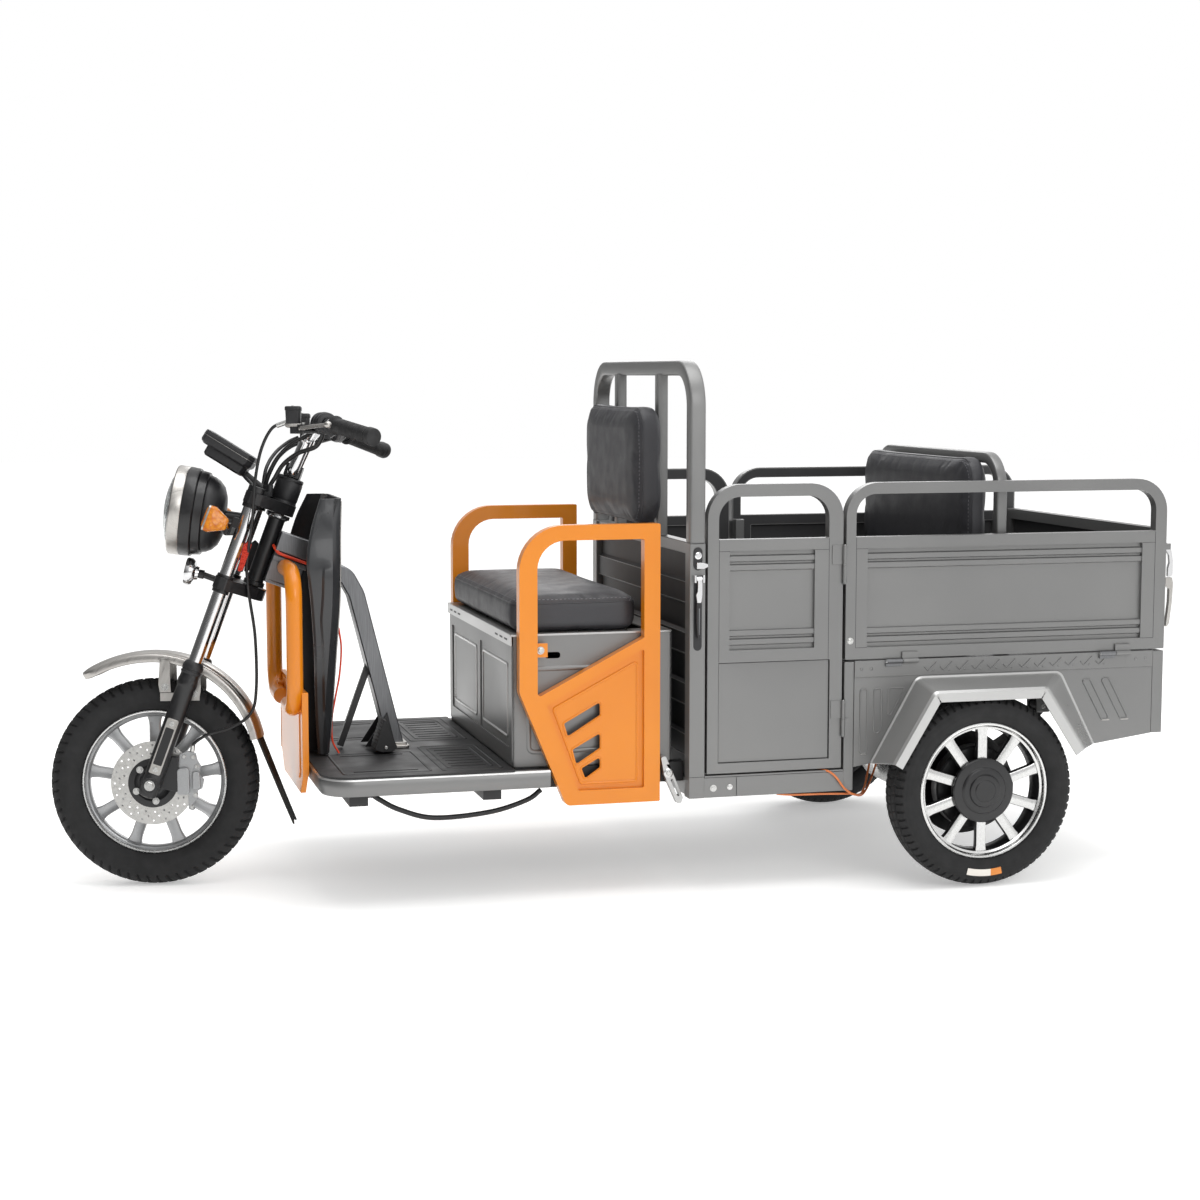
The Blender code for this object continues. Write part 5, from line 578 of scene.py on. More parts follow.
def carried(path, section, side, closed=False, scale=None):
    """A section carried along a flat path: its first value along the fixed side vector, its second square to both,
    drawn out at a bend by one over the cosine of half the turn."""
    p = np.asarray(path, float)
    side = np.array(Vector(side).normalized())
    step = np.diff(np.concatenate([p[-1:], p, p[:1]]), axis=0)
    into, out = step[:-1].copy(), step[1:].copy()
    if not closed:
        into[0], out[-1] = out[0], into[-1]
    into /= np.linalg.norm(into, axis=1, keepdims=True)
    out /= np.linalg.norm(out, axis=1, keepdims=True)
    along = into + out
    along /= np.linalg.norm(along, axis=1, keepdims=True)
    rise = np.cross(side, along) / np.maximum(0.3, (along * into).sum(1, keepdims=True))
    s = np.asarray(section, float)[None] * (1 if scale is None else np.asarray(scale, float)[:, None, None])
    grid = p[:, None] + side * s[..., :1] + rise[:, None] * s[..., 1:]
    return lattice(grid, around=True, along=closed, ends=not closed)


def tubed(path, radius, steps=16):
    """A round tube along any path: at each point a circle square to the way ahead, its start turned with the path
    so that it never twists. The radius may differ from point to point."""
    p = np.asarray(path, float)
    way = np.gradient(p, axis=0)
    way /= np.maximum(1e-9, np.linalg.norm(way, axis=1, keepdims=True))
    first = np.cross(way[0], (0, 0, 1) if abs(way[0, 2]) < 0.9 else (1, 0, 0))
    rows = [first / np.linalg.norm(first)]
    for w in way[1:]:
        side = rows[-1] - w * (rows[-1] @ w)
        rows.append(side / np.linalg.norm(side))
    side = np.array(rows)
    rise = np.cross(way, side)
    a = np.linspace(0, 2 * np.pi, steps, endpoint=False)
    r = np.broadcast_to(np.asarray(radius, float), (len(p),))[:, None, None]
    grid = p[:, None] + r * (side[:, None] * np.cos(a)[None, :, None] + rise[:, None] * np.sin(a)[None, :, None])
    return lattice(grid, around=True, ends=True)


# Chrome plate: a mirror over the tube, a little dulled by handling
chrome, tree, shader = finish("chrome_plate", "D9D9DA", Metallic=1.0, Roughness=0.1)
pattern(tree, shader, 24.0, 4.0, rough=(0.06, 0.17))

# Satin aluminium sheet: brushed round the bend, so the strokes are long and fine
satin_alloy, tree, shader = finish("satin_aluminium_sheet", "B9B6B2", Metallic=1.0, Roughness=0.32)
pattern(tree, shader, (18.0, 640.0, 18.0), 3.0, tint=("A29F9B", "C8C5C1"), rough=(0.26, 0.42))

# Moulded black plastic: ABS with a fine spark-eroded grain and a low sheen
black_plastic, tree, shader = finish("moulded_black_plastic", "1E1E20", Roughness=0.46)
pattern(tree, shader, 850.0, bump=(0.18, 0.0003), kind="Voronoi")
pattern(tree, shader, 16.0, 3.0, rough=(0.38, 0.54))


LEG_X, LEG_Y = -0.0562, 0.085
legs, seals, plates, black_inset, screws = [], [], [], [], []
for side in (-1, 1):
    leg = RAKED @ moved(LEG_X, side * LEG_Y, 0)
    legs.append(turned([(0.0, -0.05), (0.012, -0.05), (0.0185, -0.0465), (0.0205, -0.04), (0.0212, 0.03),
        (0.0212, 0.14), (0.0206, 0.205), (0.0222, 0.21), (0.023, 0.215), (0.023, 0.224), (0.0216, 0.228),
        (0.0216, 0.238), (0.016, 0.24), (0.016, 0.115), (0.0, 0.115)], leg, 40))
    legs.append(rod(RAKED @ Vector((LEG_X, side * 0.1035, -0.021)),
        RAKED @ Vector((LEG_X, side * 0.1085, -0.021)), 0.0175))
    seals.append(turned([(0.016, 0.2385), (0.0222, 0.2385), (0.0232, 0.24), (0.0232, 0.244), (0.022, 0.2452),
        (0.022, 0.248), (0.0232, 0.2492), (0.0232, 0.256), (0.0205, 0.264), (0.017, 0.2672), (0.0156, 0.2672)],
        leg, 40))
    screws += fastener(0.0098, 0.008, RAKED @ moved(LEG_X, side * 0.1085, -0.021) @ sideways(side), 6, 1.2)
    screws.append(rod(RAKED @ Vector((LEG_X, side * 0.06, -0.021)),
        RAKED @ Vector((LEG_X, side * 0.115, -0.021)), 0.0062))
    if side < 0:
        way = leg @ WALL
        rim_line = bent([(-0.013, 0.006, 0), (0.013, 0.006, 0), (0.013, 0.134, 0), (-0.013, 0.134, 0)],
            0.004, 4, True)
        plates.append(slab(rim_line[:, :2], 0.0165, 0.0226, way))
        black_inset.append(slab(plan([(-0.0098, 0.027), (0.0098, 0.027), (0.0098, 0.113), (-0.0098, 0.113)],
            0.0025, 3), 0.016, 0.0229, way))
        for z in (0.0165, 0.1235):
            screws += fastener(0.0052, 0.0036, way @ moved(0, z, 0.0224), 20, 1.15)
put("fork_lower_legs", legs, black_paint, "fork_lower", TURN, bevel=0.0, node="fork_legs")
put("fork_dust_seals", seals, black_plastic, "fork_lower", TURN)
put("fork_leg_plate", plates, satin_alloy, "fork_lower", TURN, bevel=0.0012)
put("fork_leg_inset", black_inset, black_plastic, "fork_lower", TURN, bevel=0.0006)
put("fork_fasteners", screws, zinc, "fork_lower", TURN)


# Front mudguard: satin aluminium rolled to the wheel, its two edges folded under into a
# bead. Four cast ears hold it to the fork, and a ribbed rubber flap hangs from its tail.

def arc_place(share):
    """The mudguard's middle line: a circle about the axle, drawn in a little behind as the angle falls."""
    angle = np.radians(122 - 100 * share)
    radius = 0.285 - 0.034 * (1 - np.sin(angle)) / 0.625 * (angle < np.pi / 2)
    return np.stack([radius * np.cos(angle), 0 * angle, FRONT_RADIUS + radius * np.sin(angle)], 1)


share = np.linspace(0, 1, 72)
skin = [(-0.0535, -0.0172), (-0.056, -0.0165), (-0.057, -0.014), (-0.0562, -0.004), (-0.0545, 0.0), (-0.05, 0.0018),
    (-0.044, 0.0022), (-0.0415, 0.004), (-0.038, 0.0062), (-0.02, 0.0074), (0.0, 0.0078)]
inner = [(0.0, 0.0062), (-0.02, 0.0058), (-0.0375, 0.0046), (-0.0405, 0.0022), (-0.044, 0.0004), (-0.0495, 0.0),
    (-0.053, -0.0016), (-0.0546, -0.005), (-0.055, -0.0135), (-0.054, -0.015)]
half = np.array(skin + inner)
whole = np.concatenate([skin, [(-x, y) for x, y in skin[::-1][1:]], [(-x, y) for x, y in inner[::-1][:-1]], inner])
taper = 1 - 0.3 * np.clip(1 - share / 0.055, 0, 1) ** 2.2
put("mudguard_sheet", [carried(arc_place(share), whole, (0, -1, 0), scale=taper)], satin_alloy, "fork_lower", TURN,
    soft=60, node="front_mudguard")
ears, ear_bolts = [], []
for side in (-1, 1):
    for x in (0.03, 0.096):
        z = FRONT_RADIUS + math.sqrt(0.281 ** 2 - x ** 2)
        lean = 0.01 if x < 0.05 else -0.008
        ears.append(slab([(x - 0.012 + lean * 0.2, z - 0.078), (x + 0.012 + lean * 0.2, z - 0.078),
            (x + 0.013, z - 0.06), (x + 0.012, z - 0.004), (x - 0.009, z - 0.002), (x - 0.013, z - 0.06)],
            -side * 0.0585, -side * 0.0625, WALL))
        ears.append(block((x - 0.01, x + 0.012), (side * 0.0525, side * 0.0625), (z - 0.01, z - 0.004)))
        ear_bolts += fastener(0.0055, 0.0052, moved(x + lean * 0.1, side * 0.0622, z - 0.066) @ sideways(side),
            6, 1.5)
    ears.append(block((0.02, 0.106), (side * 0.054, side * 0.058), (0.412, 0.43)))
put("mudguard_ears", ears, satin_alloy, "fork_lower", TURN, bevel=0.0012)
put("mudguard_bolts", ear_bolts, zinc, "fork_lower", TURN)

flap_line = smooth([(0.22, 0, 0.352), (0.231, 0, 0.325), (0.259, 0, 0.252), (0.283, 0, 0.19), (0.307, 0, 0.13)], 40)
wave = np.linspace(-1, 1, 41)
wide = 0.053 * (1 - 0.34 * np.linspace(0, 1, 40) ** 1.2)
top = np.stack([wave, 0.003 + 0.0011 * np.clip(np.cos(wave * np.pi * 6) * 2.2, -1, 1)], 1)
foot = np.stack([wave[::-1], 0 * wave], 1)
rows = np.concatenate([top, foot])
grid = np.stack([np.stack([wide[k] * rows[:, 0], rows[:, 1] - 0.0015], 1) for k in range(40)])
way = np.gradient(flap_line, axis=0)
way /= np.linalg.norm(way, axis=1, keepdims=True)
rise = np.cross((0, -1, 0), way)
drop = 0.013 * np.clip((np.linspace(0, 1, 40) - 0.86) / 0.14,
    0, 1)[:, None, None] * (1 - np.abs(rows[:, 0]))[None, :, None]
points = flap_line[:, None] + np.array((0,
    -1, 0)) * grid[..., :1] + rise[:, None] * grid[..., 1:] - way[:, None] * drop
put("mudguard_flap", [lattice(points, around=True, ends=True)], rubber, "fork_lower", TURN, soft=50)


# Brake caliper: a cast two-pad sliding caliper on its bracket, silver painted, with a
# rounded pad housing outside the disc and a banjo bolt where the hose ends.

caliper, pad_parts, caliper_bolts = [], [], []
caliper.append(slab(plan([(0.056, 0.248), (0.06, 0.294), (0.08, 0.301), (0.096, 0.295), (0.1, 0.276), (0.09, 0.262),
    (0.086, 0.24), (0.07, 0.238)], 0.0035, 4), 0.054, 0.0625, WALL))
caliper.append(slab(plan([(0.08, 0.276), (0.096, 0.282), (0.106, 0.264), (0.102, 0.248), (0.112, 0.234),
    (0.108, 0.216), (0.098, 0.212), (0.098, 0.196), (0.086, 0.18), (0.094, 0.164), (0.078, 0.172), (0.078, 0.2)],
    0.003, 4), 0.0415, 0.06, WALL))
pad_parts.append(slab(plan([(0.055, 0.204), (0.082, 0.204), (0.082, 0.264), (0.055, 0.264)], 0.0085, 6), 0.0535,
    0.0738, WALL))
pad_parts.append(slab(plan([(0.088, 0.214), (0.106, 0.218), (0.104, 0.254), (0.088, 0.256)], 0.005, 5), 0.059,
    0.068, WALL))
pad_parts.append(slab(plan([(0.059, 0.209), (0.078, 0.209), (0.078, 0.259), (0.059, 0.259)], 0.007, 5), 0.04,
    0.048, WALL))
for x, z, r in ((0.07, 0.288, 0.005), (0.09, 0.287, 0.0055), (0.097, 0.266, 0.0042), (0.094, 0.203, 0.005),
        (0.086, 0.176, 0.0034)):
    caliper_bolts += fastener(r, 0.005, moved(x, -0.0595, z) @ WALL, 6, 1.25)
put("caliper_bracket", caliper, silver_paint, "fork_lower", TURN, bevel=0.001, node="brake_caliper")
put("caliper_pads", pad_parts, silver_paint, "fork_lower", TURN, bevel=0.0022)
put("caliper_bolts", caliper_bolts, zinc, "fork_lower", TURN)
put("caliper_lug", [slab([(0.005, 0.222), (0.0599, 0.21), (0.0577, 0.24), (0.0594, 0.29), (0.026, 0.29)], 0.062,
    0.0735, WALL)], black_paint, "fork_lower", TURN, bevel=0.0025)


# Upper fork: hard-chromed tubes held in two black forged clamps, a steel steerer with a
# deep black cap nut over it, and short arms that carry the lamp, horn and indicators.

tubes, clamps, collars, cap_parts = [], [], [], []
for side in (-1, 1):
    tubes.append(rod(RAKED @ Vector((LEG_X, side * LEG_Y, 0.154)),
        RAKED @ Vector((LEG_X, side * LEG_Y, 0.672)), 0.015, 40))
for low in (0.436, 0.6354):
    back = LEG_X
    half_line = [(back - 0.0225, 0.068), (back - 0.019, 0.098), (back - 0.008, 0.107), (back + 0.008, 0.107),
        (back + 0.019, 0.098), (0.02, 0.044), (0.031, 0.018)]
    ring_line = half_line + [(p, -y) for p, y in reversed(half_line)] + [(back - 0.004, -0.034),
        (back - 0.004, 0.034)]
    clamps.append(slab(plan(ring_line, 0.0055, 4), low + 0.0005, low + 0.0265, RAKED))
for side in (-1, 1):
    for low, high, r in ((0.428, 0.437, 0.0188), (0.462, 0.47, 0.0188), (0.626, 0.636, 0.0192),
            (0.6615, 0.676, 0.019)):
        collars.append(turned([(0.0148, low), (r - 0.001, low), (r, low + 0.001), (r, high - 0.001),
            (r - 0.001, high), (0.0148, high)], RAKED @ moved(LEG_X, side * LEG_Y, 0), 32))
put("fork_upper_tubes", tubes, chrome, "steering", TURN, node="steering_stem")
put("fork_clamps", clamps + collars, black_paint, "steering", TURN, bevel=0.0015)
cap_parts.append(turned([(0.0, 0.66), (0.029, 0.66), (0.03, 0.6612), (0.03, 0.664), (0.0292, 0.6655), (0.0292, 0.669),
    (0.03, 0.6705), (0.03, 0.708), (0.0292, 0.7095), (0.0292, 0.713), (0.03, 0.7145), (0.029, 0.7186),
    (0.0262, 0.7202), (0.0215, 0.7204), (0.0, 0.72)], RAKED, 56))
put("steering_cap", cap_parts, black_plastic, "steering", TURN)
put("steering_cap_ring",
    [turned([(0.0205, 0.7195), (0.0235, 0.7195), (0.024, 0.7202), (0.0235, 0.7212), (0.0205, 0.7212)], RAKED, 48),
    turned([(0.019, 0.6255), (0.0262, 0.6255), (0.027, 0.6265), (0.027, 0.633), (0.0262, 0.6342), (0.019, 0.6342)],
    RAKED, 48)], chrome, "steering", TURN)
arms = [rod(RAKED @ Vector((0, 0, 0.44)), RAKED @ Vector((0, 0, 0.7)), 0.0125)]
for side in (-1, 1):
    arms.append(block((-0.082, -0.06), (side * 0.076, side * 0.094), (0.5735, 0.5965), RAKED))
arms.append(block((-0.083, -0.0775), (-0.093, 0.093), (0.5545, 0.5955), RAKED))
LAMP_WAY = Vector((-math.cos(math.radians(9)), 0, math.sin(math.radians(9))))
LAMP_MID = Vector((0.1, 0, 0.829))
HORN_WAY = Vector((-math.cos(math.radians(12)), 0, math.sin(math.radians(12))))
HORN_MID = Vector((0.088, 0, 0.695))
back = LAMP_MID - LAMP_WAY * 0.0643
arms.append(rod(back, back - LAMP_WAY * 0.036, 0.014))
neck = HORN_MID - HORN_WAY * 0.0273
arms.append(rod(HORN_MID - HORN_WAY * 0.0153, neck, 0.01))
arms.append(rod(neck + HORN_WAY * 0.004, RAKED @ Vector((-0.0502, 0, 0.448)), 0.007))
put("lamp_arms", arms, black_paint, "steering", TURN, bevel=0.0012)


# Headlamp: a round motorcycle lamp. A brushed steel rim holds a bulging fluted lens over
# a bright bowl, and two stepped black rings lead back to the rounded plastic shell.

def facing(way, middle):
    """A frame at a point whose Z runs along a way in the middle plane and whose Y stays level."""
    up = Vector(way).normalized()
    across = Vector((0, 1, 0)).cross(up).normalized()
    return Matrix.Translation(middle) @ Matrix((across, (0, 1, 0), up)).transposed().to_4x4()


# Clear lamp glass: pressed glass with upright flutes that smear the bowl behind it
lamp_glass, tree, shader = finish("pressed_lamp_glass", "F4F7F7", Roughness=0.04, IOR=1.47, Transmission_Weight=0.9)
pattern(tree, shader, 90.0, bump=(0.1, 0.0006))

LAMP = facing(LAMP_WAY, LAMP_MID)
rim = [(0.0885, 0.043), (0.089, 0.0495), (0.0915, 0.051), (0.0975, 0.051), (0.1, 0.048), (0.1, 0.027),
    (0.0988, 0.0252), (0.0885, 0.0252)]
put("headlamp_rim", [turned(rim, LAMP, 96)], satin_alloy, "steering", TURN, node="headlamp")
rings = [(0.087, 0.025), (0.099, 0.025), (0.0998, 0.0232), (0.0985, 0.001), (0.0968, -0.001), (0.087, -0.001)]
step = [(0.086, -0.0012), (0.0938, -0.0012), (0.0948, -0.003), (0.0925, -0.02), (0.0905, -0.0216), (0.079, -0.0216)]
put("headlamp_rings", [turned(rings, LAMP, 80), turned(step, LAMP, 80)], black_paint, "steering", TURN)
shell = [(0.078, -0.02), (0.0858, -0.0218), (0.0864, -0.0236), (0.084, -0.033), (0.078, -0.044), (0.066, -0.055),
    (0.048, -0.062), (0.024, -0.064), (0.0, -0.064), (0.0, -0.06), (0.047, -0.0582), (0.064, -0.051), (0.075, -0.041),
    (0.078, -0.033)]
put("headlamp_shell", [turned(shell, LAMP, 80)], black_plastic, "steering", TURN)
bowl = [(0.0878, 0.0425), (0.079, 0.03), (0.058, 0.002), (0.035, -0.016), (0.014, -0.024), (0.0, -0.025),
    (0.0, -0.0262), (0.0146, -0.0252), (0.036, -0.017), (0.0592, 0.001), (0.0802, 0.0295), (0.0888, 0.0425)]
bulb = [(0.0, 0.026), (0.006, 0.0245), (0.009, 0.019), (0.0095, -0.02), (0.0, -0.02)]
put("headlamp_bowl", [turned(bowl, LAMP, 64), turned(bulb, LAMP, 24)], chrome, "steering", TURN)
r = np.concatenate([np.linspace(0, 0.0882, 26), np.linspace(0.0882, 0, 26)])[:, None]
a = np.linspace(0, 2 * np.pi, 160, endpoint=False)[None]
crown = 0.0445 + 0.0265 * (1 - (r / 0.0882) ** 2) ** 0.6
inside = (np.arange(52) > 25)[:, None]
flute = 0.0028 + 0.0009 * np.abs(np.sin(np.pi * r * np.sin(a) / 0.0055)) * np.clip((0.084 - r) / 0.004, 0, 1)
rib = 0.0005 * (np.abs(r - 0.07) < 0.002) + 0.0004 * (np.abs(r - 0.078) < 0.0015)
grid = np.stack([r * np.cos(a), r * np.sin(a), np.where(inside, crown - flute, crown + rib + 0 * a)], 2)
points, faces = lattice(grid, around=True)
put("headlamp_glass", [(place_rows(points, LAMP), faces)], lamp_glass, "steering", TURN, soft=50,
    node="headlamp_lens")


# Horn: a chromed disc horn under the lamp, with a pressed rim and a black centre boss.

HORN = facing(HORN_WAY, HORN_MID)
rim = [(0.0, -0.015), (0.015, -0.015), (0.017, -0.008), (0.0285, -0.004), (0.0318, 0.003), (0.032, 0.012),
    (0.0305, 0.015), (0.028, 0.014), (0.0265, 0.0105), (0.018, 0.0085), (0.016, 0.01), (0.0, 0.01)]
put("horn_shell", [turned(rim, HORN, 56)], chrome, "steering", TURN, node="horn")
boss = [(0.0, 0.0095), (0.0125, 0.0095), (0.013, 0.012), (0.0095, 0.014), (0.0, 0.0145)]
put("horn_boss", [turned(boss, HORN, 32)], black_plastic, "steering", TURN)


# Direction indicators: amber faceted plastic shaped like a rounded triangle, each on a
# black rubber stalk from a flat steel bar across the fork tubes.

def lofted(outline, levels, matrix=Matrix()):
    """An outline drawn at several heights: at each it is scaled about the middle, then joined to the next."""
    o = np.asarray(outline, float)
    grid = np.stack([np.concatenate([o * scale, np.full((len(o), 1), height)], 1) for scale, height in levels])
    points, faces = lattice(grid, around=True, ends=True)
    return place_rows(points, matrix), faces


# Amber lens plastic: acrylic dyed through, lit by its own facets
amber, tree, shader = finish("amber_acrylic", "F08C12", Roughness=0.14, IOR=1.49, Transmission_Weight=0.25)
pattern(tree, shader, 120.0, tint=("F7A126", "C9620A"), bump=(0.5, 0.0012), kind="Voronoi")

lenses, bezels, stalks = [], [], [block((-0.089, -0.0835), (-0.11, 0.11), (0.552, 0.566), RAKED)]
for side in (-1, 1):
    lens = RAKED @ moved(-0.112, side * 0.13, 0.576) @ Matrix.Rotation(-math.pi / 2, 4, "Y")
    corner = plan([(-0.03, -0.027), (-0.03, 0.027), (0.03, 0.015), (0.03, -0.015)], 0.009, 4)
    lenses.append(lofted(corner, [(0.3, -0.026), (0.42, -0.024), (0.96, 0.008), (0.97, 0.015), (0.9, 0.023),
        (0.7, 0.0262)], lens))
    bezels.append(lofted(corner, [(0.9, 0.018), (0.965, 0.019), (0.955, 0.0225), (0.9, 0.0232)], lens))
    stalks.append(rod(RAKED @ Vector((-0.0867, side * 0.098, 0.559)),
        RAKED @ Vector((-0.106, side * 0.1225, 0.5722)), 0.0075))
put("indicator_lenses", lenses, amber, "steering", TURN, soft=20, node="indicators")
put("indicator_bezels", bezels, satin_alloy, "steering", TURN, soft=30)
put("indicator_stalks", stalks, black_plastic, "steering", TURN, bevel=0.0008)


# Side reflector: a small red prism plate on a black clip behind the near fork tube.

# Red reflector plastic: hex prisms under a smooth skin
red_plastic, tree, shader = finish("red_reflector_plastic", "C4271A", Roughness=0.16, IOR=1.49)
pattern(tree, shader, 380.0, tint=("DE4A34", "9B140C"), kind="Voronoi")

for side, label in ((-1, "left"), (1, "right")):
    plate = plan([(0.196, 0.696), (0.208, 0.699), (0.229, 0.756), (0.222, 0.764), (0.211, 0.756)], 0.003, 4)
    middle = plate.mean(0)
    put("reflector_" + label, [slab(plate, -side * 0.0775, -side * 0.0825, WALL)], red_plastic, "steering", TURN,
        bevel=0.0008)
    clip = [slab(middle + (plate - middle) * 1.08, -side * 0.0745, -side * 0.0772, WALL),
        block((0.184, 0.212), (side * 0.0745, side * 0.08), (0.722, 0.734))]
    put("reflector_clip_" + label, clip, black_plastic, "steering", TURN, bevel=0.0008)


# Display: a moulded black case tilted to the rider, its angular visor wider than the box
# below it, with a pale edge line and a smoked screen.

# Smoked screen: tinted polycarbonate, glossy and almost black
smoked, tree, shader = finish("smoked_polycarbonate", "101214", Roughness=0.08, Coat_Weight=0.6)
pattern(tree, shader, 30.0, 3.0, rough=(0.05, 0.14))

DASH = moved(0.172, 0, 0.955) @ Matrix.Rotation(math.radians(32.6), 4, "Y")
wide = bent([(-0.066, -0.04, 0), (-0.06, -0.062, 0), (0.046, -0.056, 0), (0.06, -0.04, 0), (0.06, 0.04, 0),
    (0.046, 0.056, 0), (-0.06, 0.062, 0), (-0.066, 0.04, 0)], 0.005, 3, True)
small = bent([(-0.045, -0.048, 0), (0.044, -0.043, 0), (0.054, -0.03, 0), (0.054, 0.03, 0), (0.044, 0.043, 0),
    (-0.045, 0.048, 0)], 0.006, 3, True)
case = [lofted(wide[:, :2], [(0.88, -0.003), (0.97, 0.001), (1.0, 0.005), (1.0, 0.0225), (0.985, 0.024)], DASH),
    lofted(small[:, :2], [(0.9, -0.024), (1.0, -0.02), (1.02, -0.0005)], DASH)]
brow = carried(wide, [(0.022, 0.0), (0.0275, 0.0012), (0.028, 0.0035), (0.027, 0.0105), (0.0235, 0.013)],
    (0, 0, 1), closed=True)
case.append((place_rows(brow[0], DASH), brow[1]))
case.append(rod((0.19, 0, 0.93), RAKED @ Vector((-0.0442, 0, 0.672)), 0.008))
case.append(block((-0.0552, -0.032), (-0.018, 0.018), (0.6622, 0.6722), RAKED))
put("display_case", case, black_plastic, "steering", TURN, soft=25, node="display")
edge = carried(wide, [(0.016, 0.001), (0.0168, 0.001), (0.0168, -0.0006), (0.016, -0.0006)], (0, 0, 1), closed=True)
put("display_edge_line", [(place_rows(edge[0], DASH), edge[1])], satin_alloy, "steering", TURN)
put("display_screen", [lofted(wide[:, :2], [(0.82, 0.0235), (0.82, 0.025), (0.8, 0.0258)], DASH)], smoked,
    "steering", TURN)


# Handlebar: one chromed tube that rises from its clasp in two legs and bends out to the
# grips. Clamped on it are switch pods, lever perches and two brake fluid reservoirs.

BAR = [(0.3163, 0.03, 0.916), (0.35, 0.04, 0.99), (0.372, 0.1, 1.018), (0.4, 0.2, 1.016), (0.415, 0.24, 1.012),
    (0.5065, 0.37, 0.978)]
BENDS = [0.012, 0.026, 0.04, 0.03, 0.03, 0]
PERCH = Vector((0.352, 0.178, 1.005))
line = bent([(x, -y, z) for x, y, z in reversed(BAR)] + BAR, BENDS[::-1] + BENDS, 8)
put("handlebar_tube", [tubed(line, np.where(np.abs(line[:, 1]) < 0.046, 0.0132, 0.011), 24)], chrome, "steering",
    TURN, node="handlebar")
clasp = [slab(plan([(-0.019, -0.026), (0.019, -0.026), (0.019, 0.026), (-0.019, 0.026)], 0.006, 4), 0.7207,
    0.7497, RAKED)]
put("handlebar_clasp", clasp, black_paint, "steering", TURN, bevel=0.002)


def mirrored(p, side):
    """A point taken to one side: its second value times that side's sign."""
    return Vector((p[0], side * p[1], p[2]))


pods, brackets, screws, bosses = [], [], [], []
for side in (-1, 1):
    inner, outer = Vector(BAR[2]).lerp(Vector(BAR[3]), 0.6), Vector(BAR[3]).lerp(Vector(BAR[4]), 0.3)
    pod, _ = line_of(mirrored(inner, side), mirrored(outer, side))
    if side < 0:
        three = [(0.0112, -0.002), (0.019, -0.002), (0.0235, 0.001), (0.0245, 0.005), (0.0245, 0.014),
            (0.0235, 0.0175), (0.0198, 0.019), (0.0198, 0.021), (0.0235, 0.0225), (0.0245, 0.026), (0.0245, 0.035),
            (0.0235, 0.0385), (0.019, 0.04), (0.019, 0.042), (0.0222, 0.0435), (0.023, 0.047), (0.023, 0.056),
            (0.0218, 0.059), (0.0165, 0.0605), (0.0112, 0.0605)]
        pods.append(turned(three, pod, 40))
        pods.append(lofted(plan([(-0.012, -0.01), (0.012, -0.01), (0.012, 0.01), (-0.012, 0.01)], 0.004, 3),
            [(1.0, 0.0), (1.0, 0.026), (0.84, 0.031)],
            Matrix.Translation(mirrored(outer, side)) @ Matrix.Rotation(math.radians(150), 4, "Y")))
    else:
        shape = plan([(-0.0215, -0.0215), (0.0215, -0.0215), (0.0215, 0.0215), (-0.0215, 0.0215)], 0.006, 4)
        pods.append(lofted(shape, [(0.92, -0.002), (1.0, 0.001), (1.0, 0.0225), (0.965, 0.0232), (0.965, 0.0244),
            (1.0, 0.0251), (1.0, 0.048), (0.92, 0.0505)], pod))
        pods.append(turned([(0.0112, 0.048), (0.02, 0.05), (0.0232, 0.052), (0.0235, 0.056), (0.0225, 0.061),
            (0.0165, 0.063), (0.0112, 0.063)], pod, 36))
    x, y, z = PERCH
    for low, high in ((-0.0094, -0.0048), (0.0048, 0.0094)):
        plan_line = plan([(x - 0.013, side * (y - 0.012)), (x + 0.04, side * (y - 0.014)),
            (x + 0.04, side * (y + 0.01)), (x - 0.013, side * (y + 0.012))], 0.006, 4)
        pods.append(slab(plan_line, z + low, z + high))
    screws += fastener(0.0045, 0.0035, moved(x, side * y, z + 0.0094), 6, 1.3)
    pods.append(slab(plan([(x - 0.03, side * (y - 0.036)), (x + 0.046, side * (y - 0.036)),
        (x + 0.046, side * (y - 0.0125)), (x - 0.03, side * (y - 0.0125))], 0.007, 4), z - 0.009, z + 0.006))
    cup = plan([(x - 0.04, side * (y - 0.052)), (x - 0.006, side * (y - 0.052)), (x - 0.006, side * (y - 0.012)),
        (x - 0.04, side * (y - 0.012))], 0.007, 5)
    centre = cup.mean(0)
    pot = moved(centre[0], centre[1], z)
    pods.append(lofted(cup - centre, [(0.9, 0.0115), (0.92, 0.013), (0.97, 0.04), (0.97, 0.041), (1.04, 0.0415),
        (1.04, 0.0475), (0.97, 0.05)], pot))
    brackets.append(lofted(cup - centre, [(0.8, 0.004), (1.02, 0.0062), (1.02, 0.0112), (0.94, 0.012)], pot))
    for k in (-1, 1):
        screws += fastener(0.0028, 0.0014, pot @ moved(0, k * 0.0135, 0.05), 16, 1.2)
    bosses.append(rod((x + 0.03, side * (y - 0.03), z + 0.004), (x + 0.03, side * (y - 0.03), z + 0.02), 0.0085))
put("switch_pods", pods + bosses, black_plastic, "steering", TURN, soft=30, bevel=0.0012)
put("reservoir_brackets", brackets, satin_alloy, "steering", TURN, bevel=0.0012)
put("perch_screws", screws, zinc, "steering", TURN)


# Grips: soft black rubber sleeves with fine rings and a ribbed cap at the end; the right
# one is the twist throttle and turns on the bar.

# Grip rubber: softer and a shade darker than the tyres, polished by hands
grip_rubber, tree, shader = finish("grip_rubber", "1A1A1B", Roughness=0.6)
pattern(tree, shader, 60.0, 4.0, rough=(0.48, 0.72))

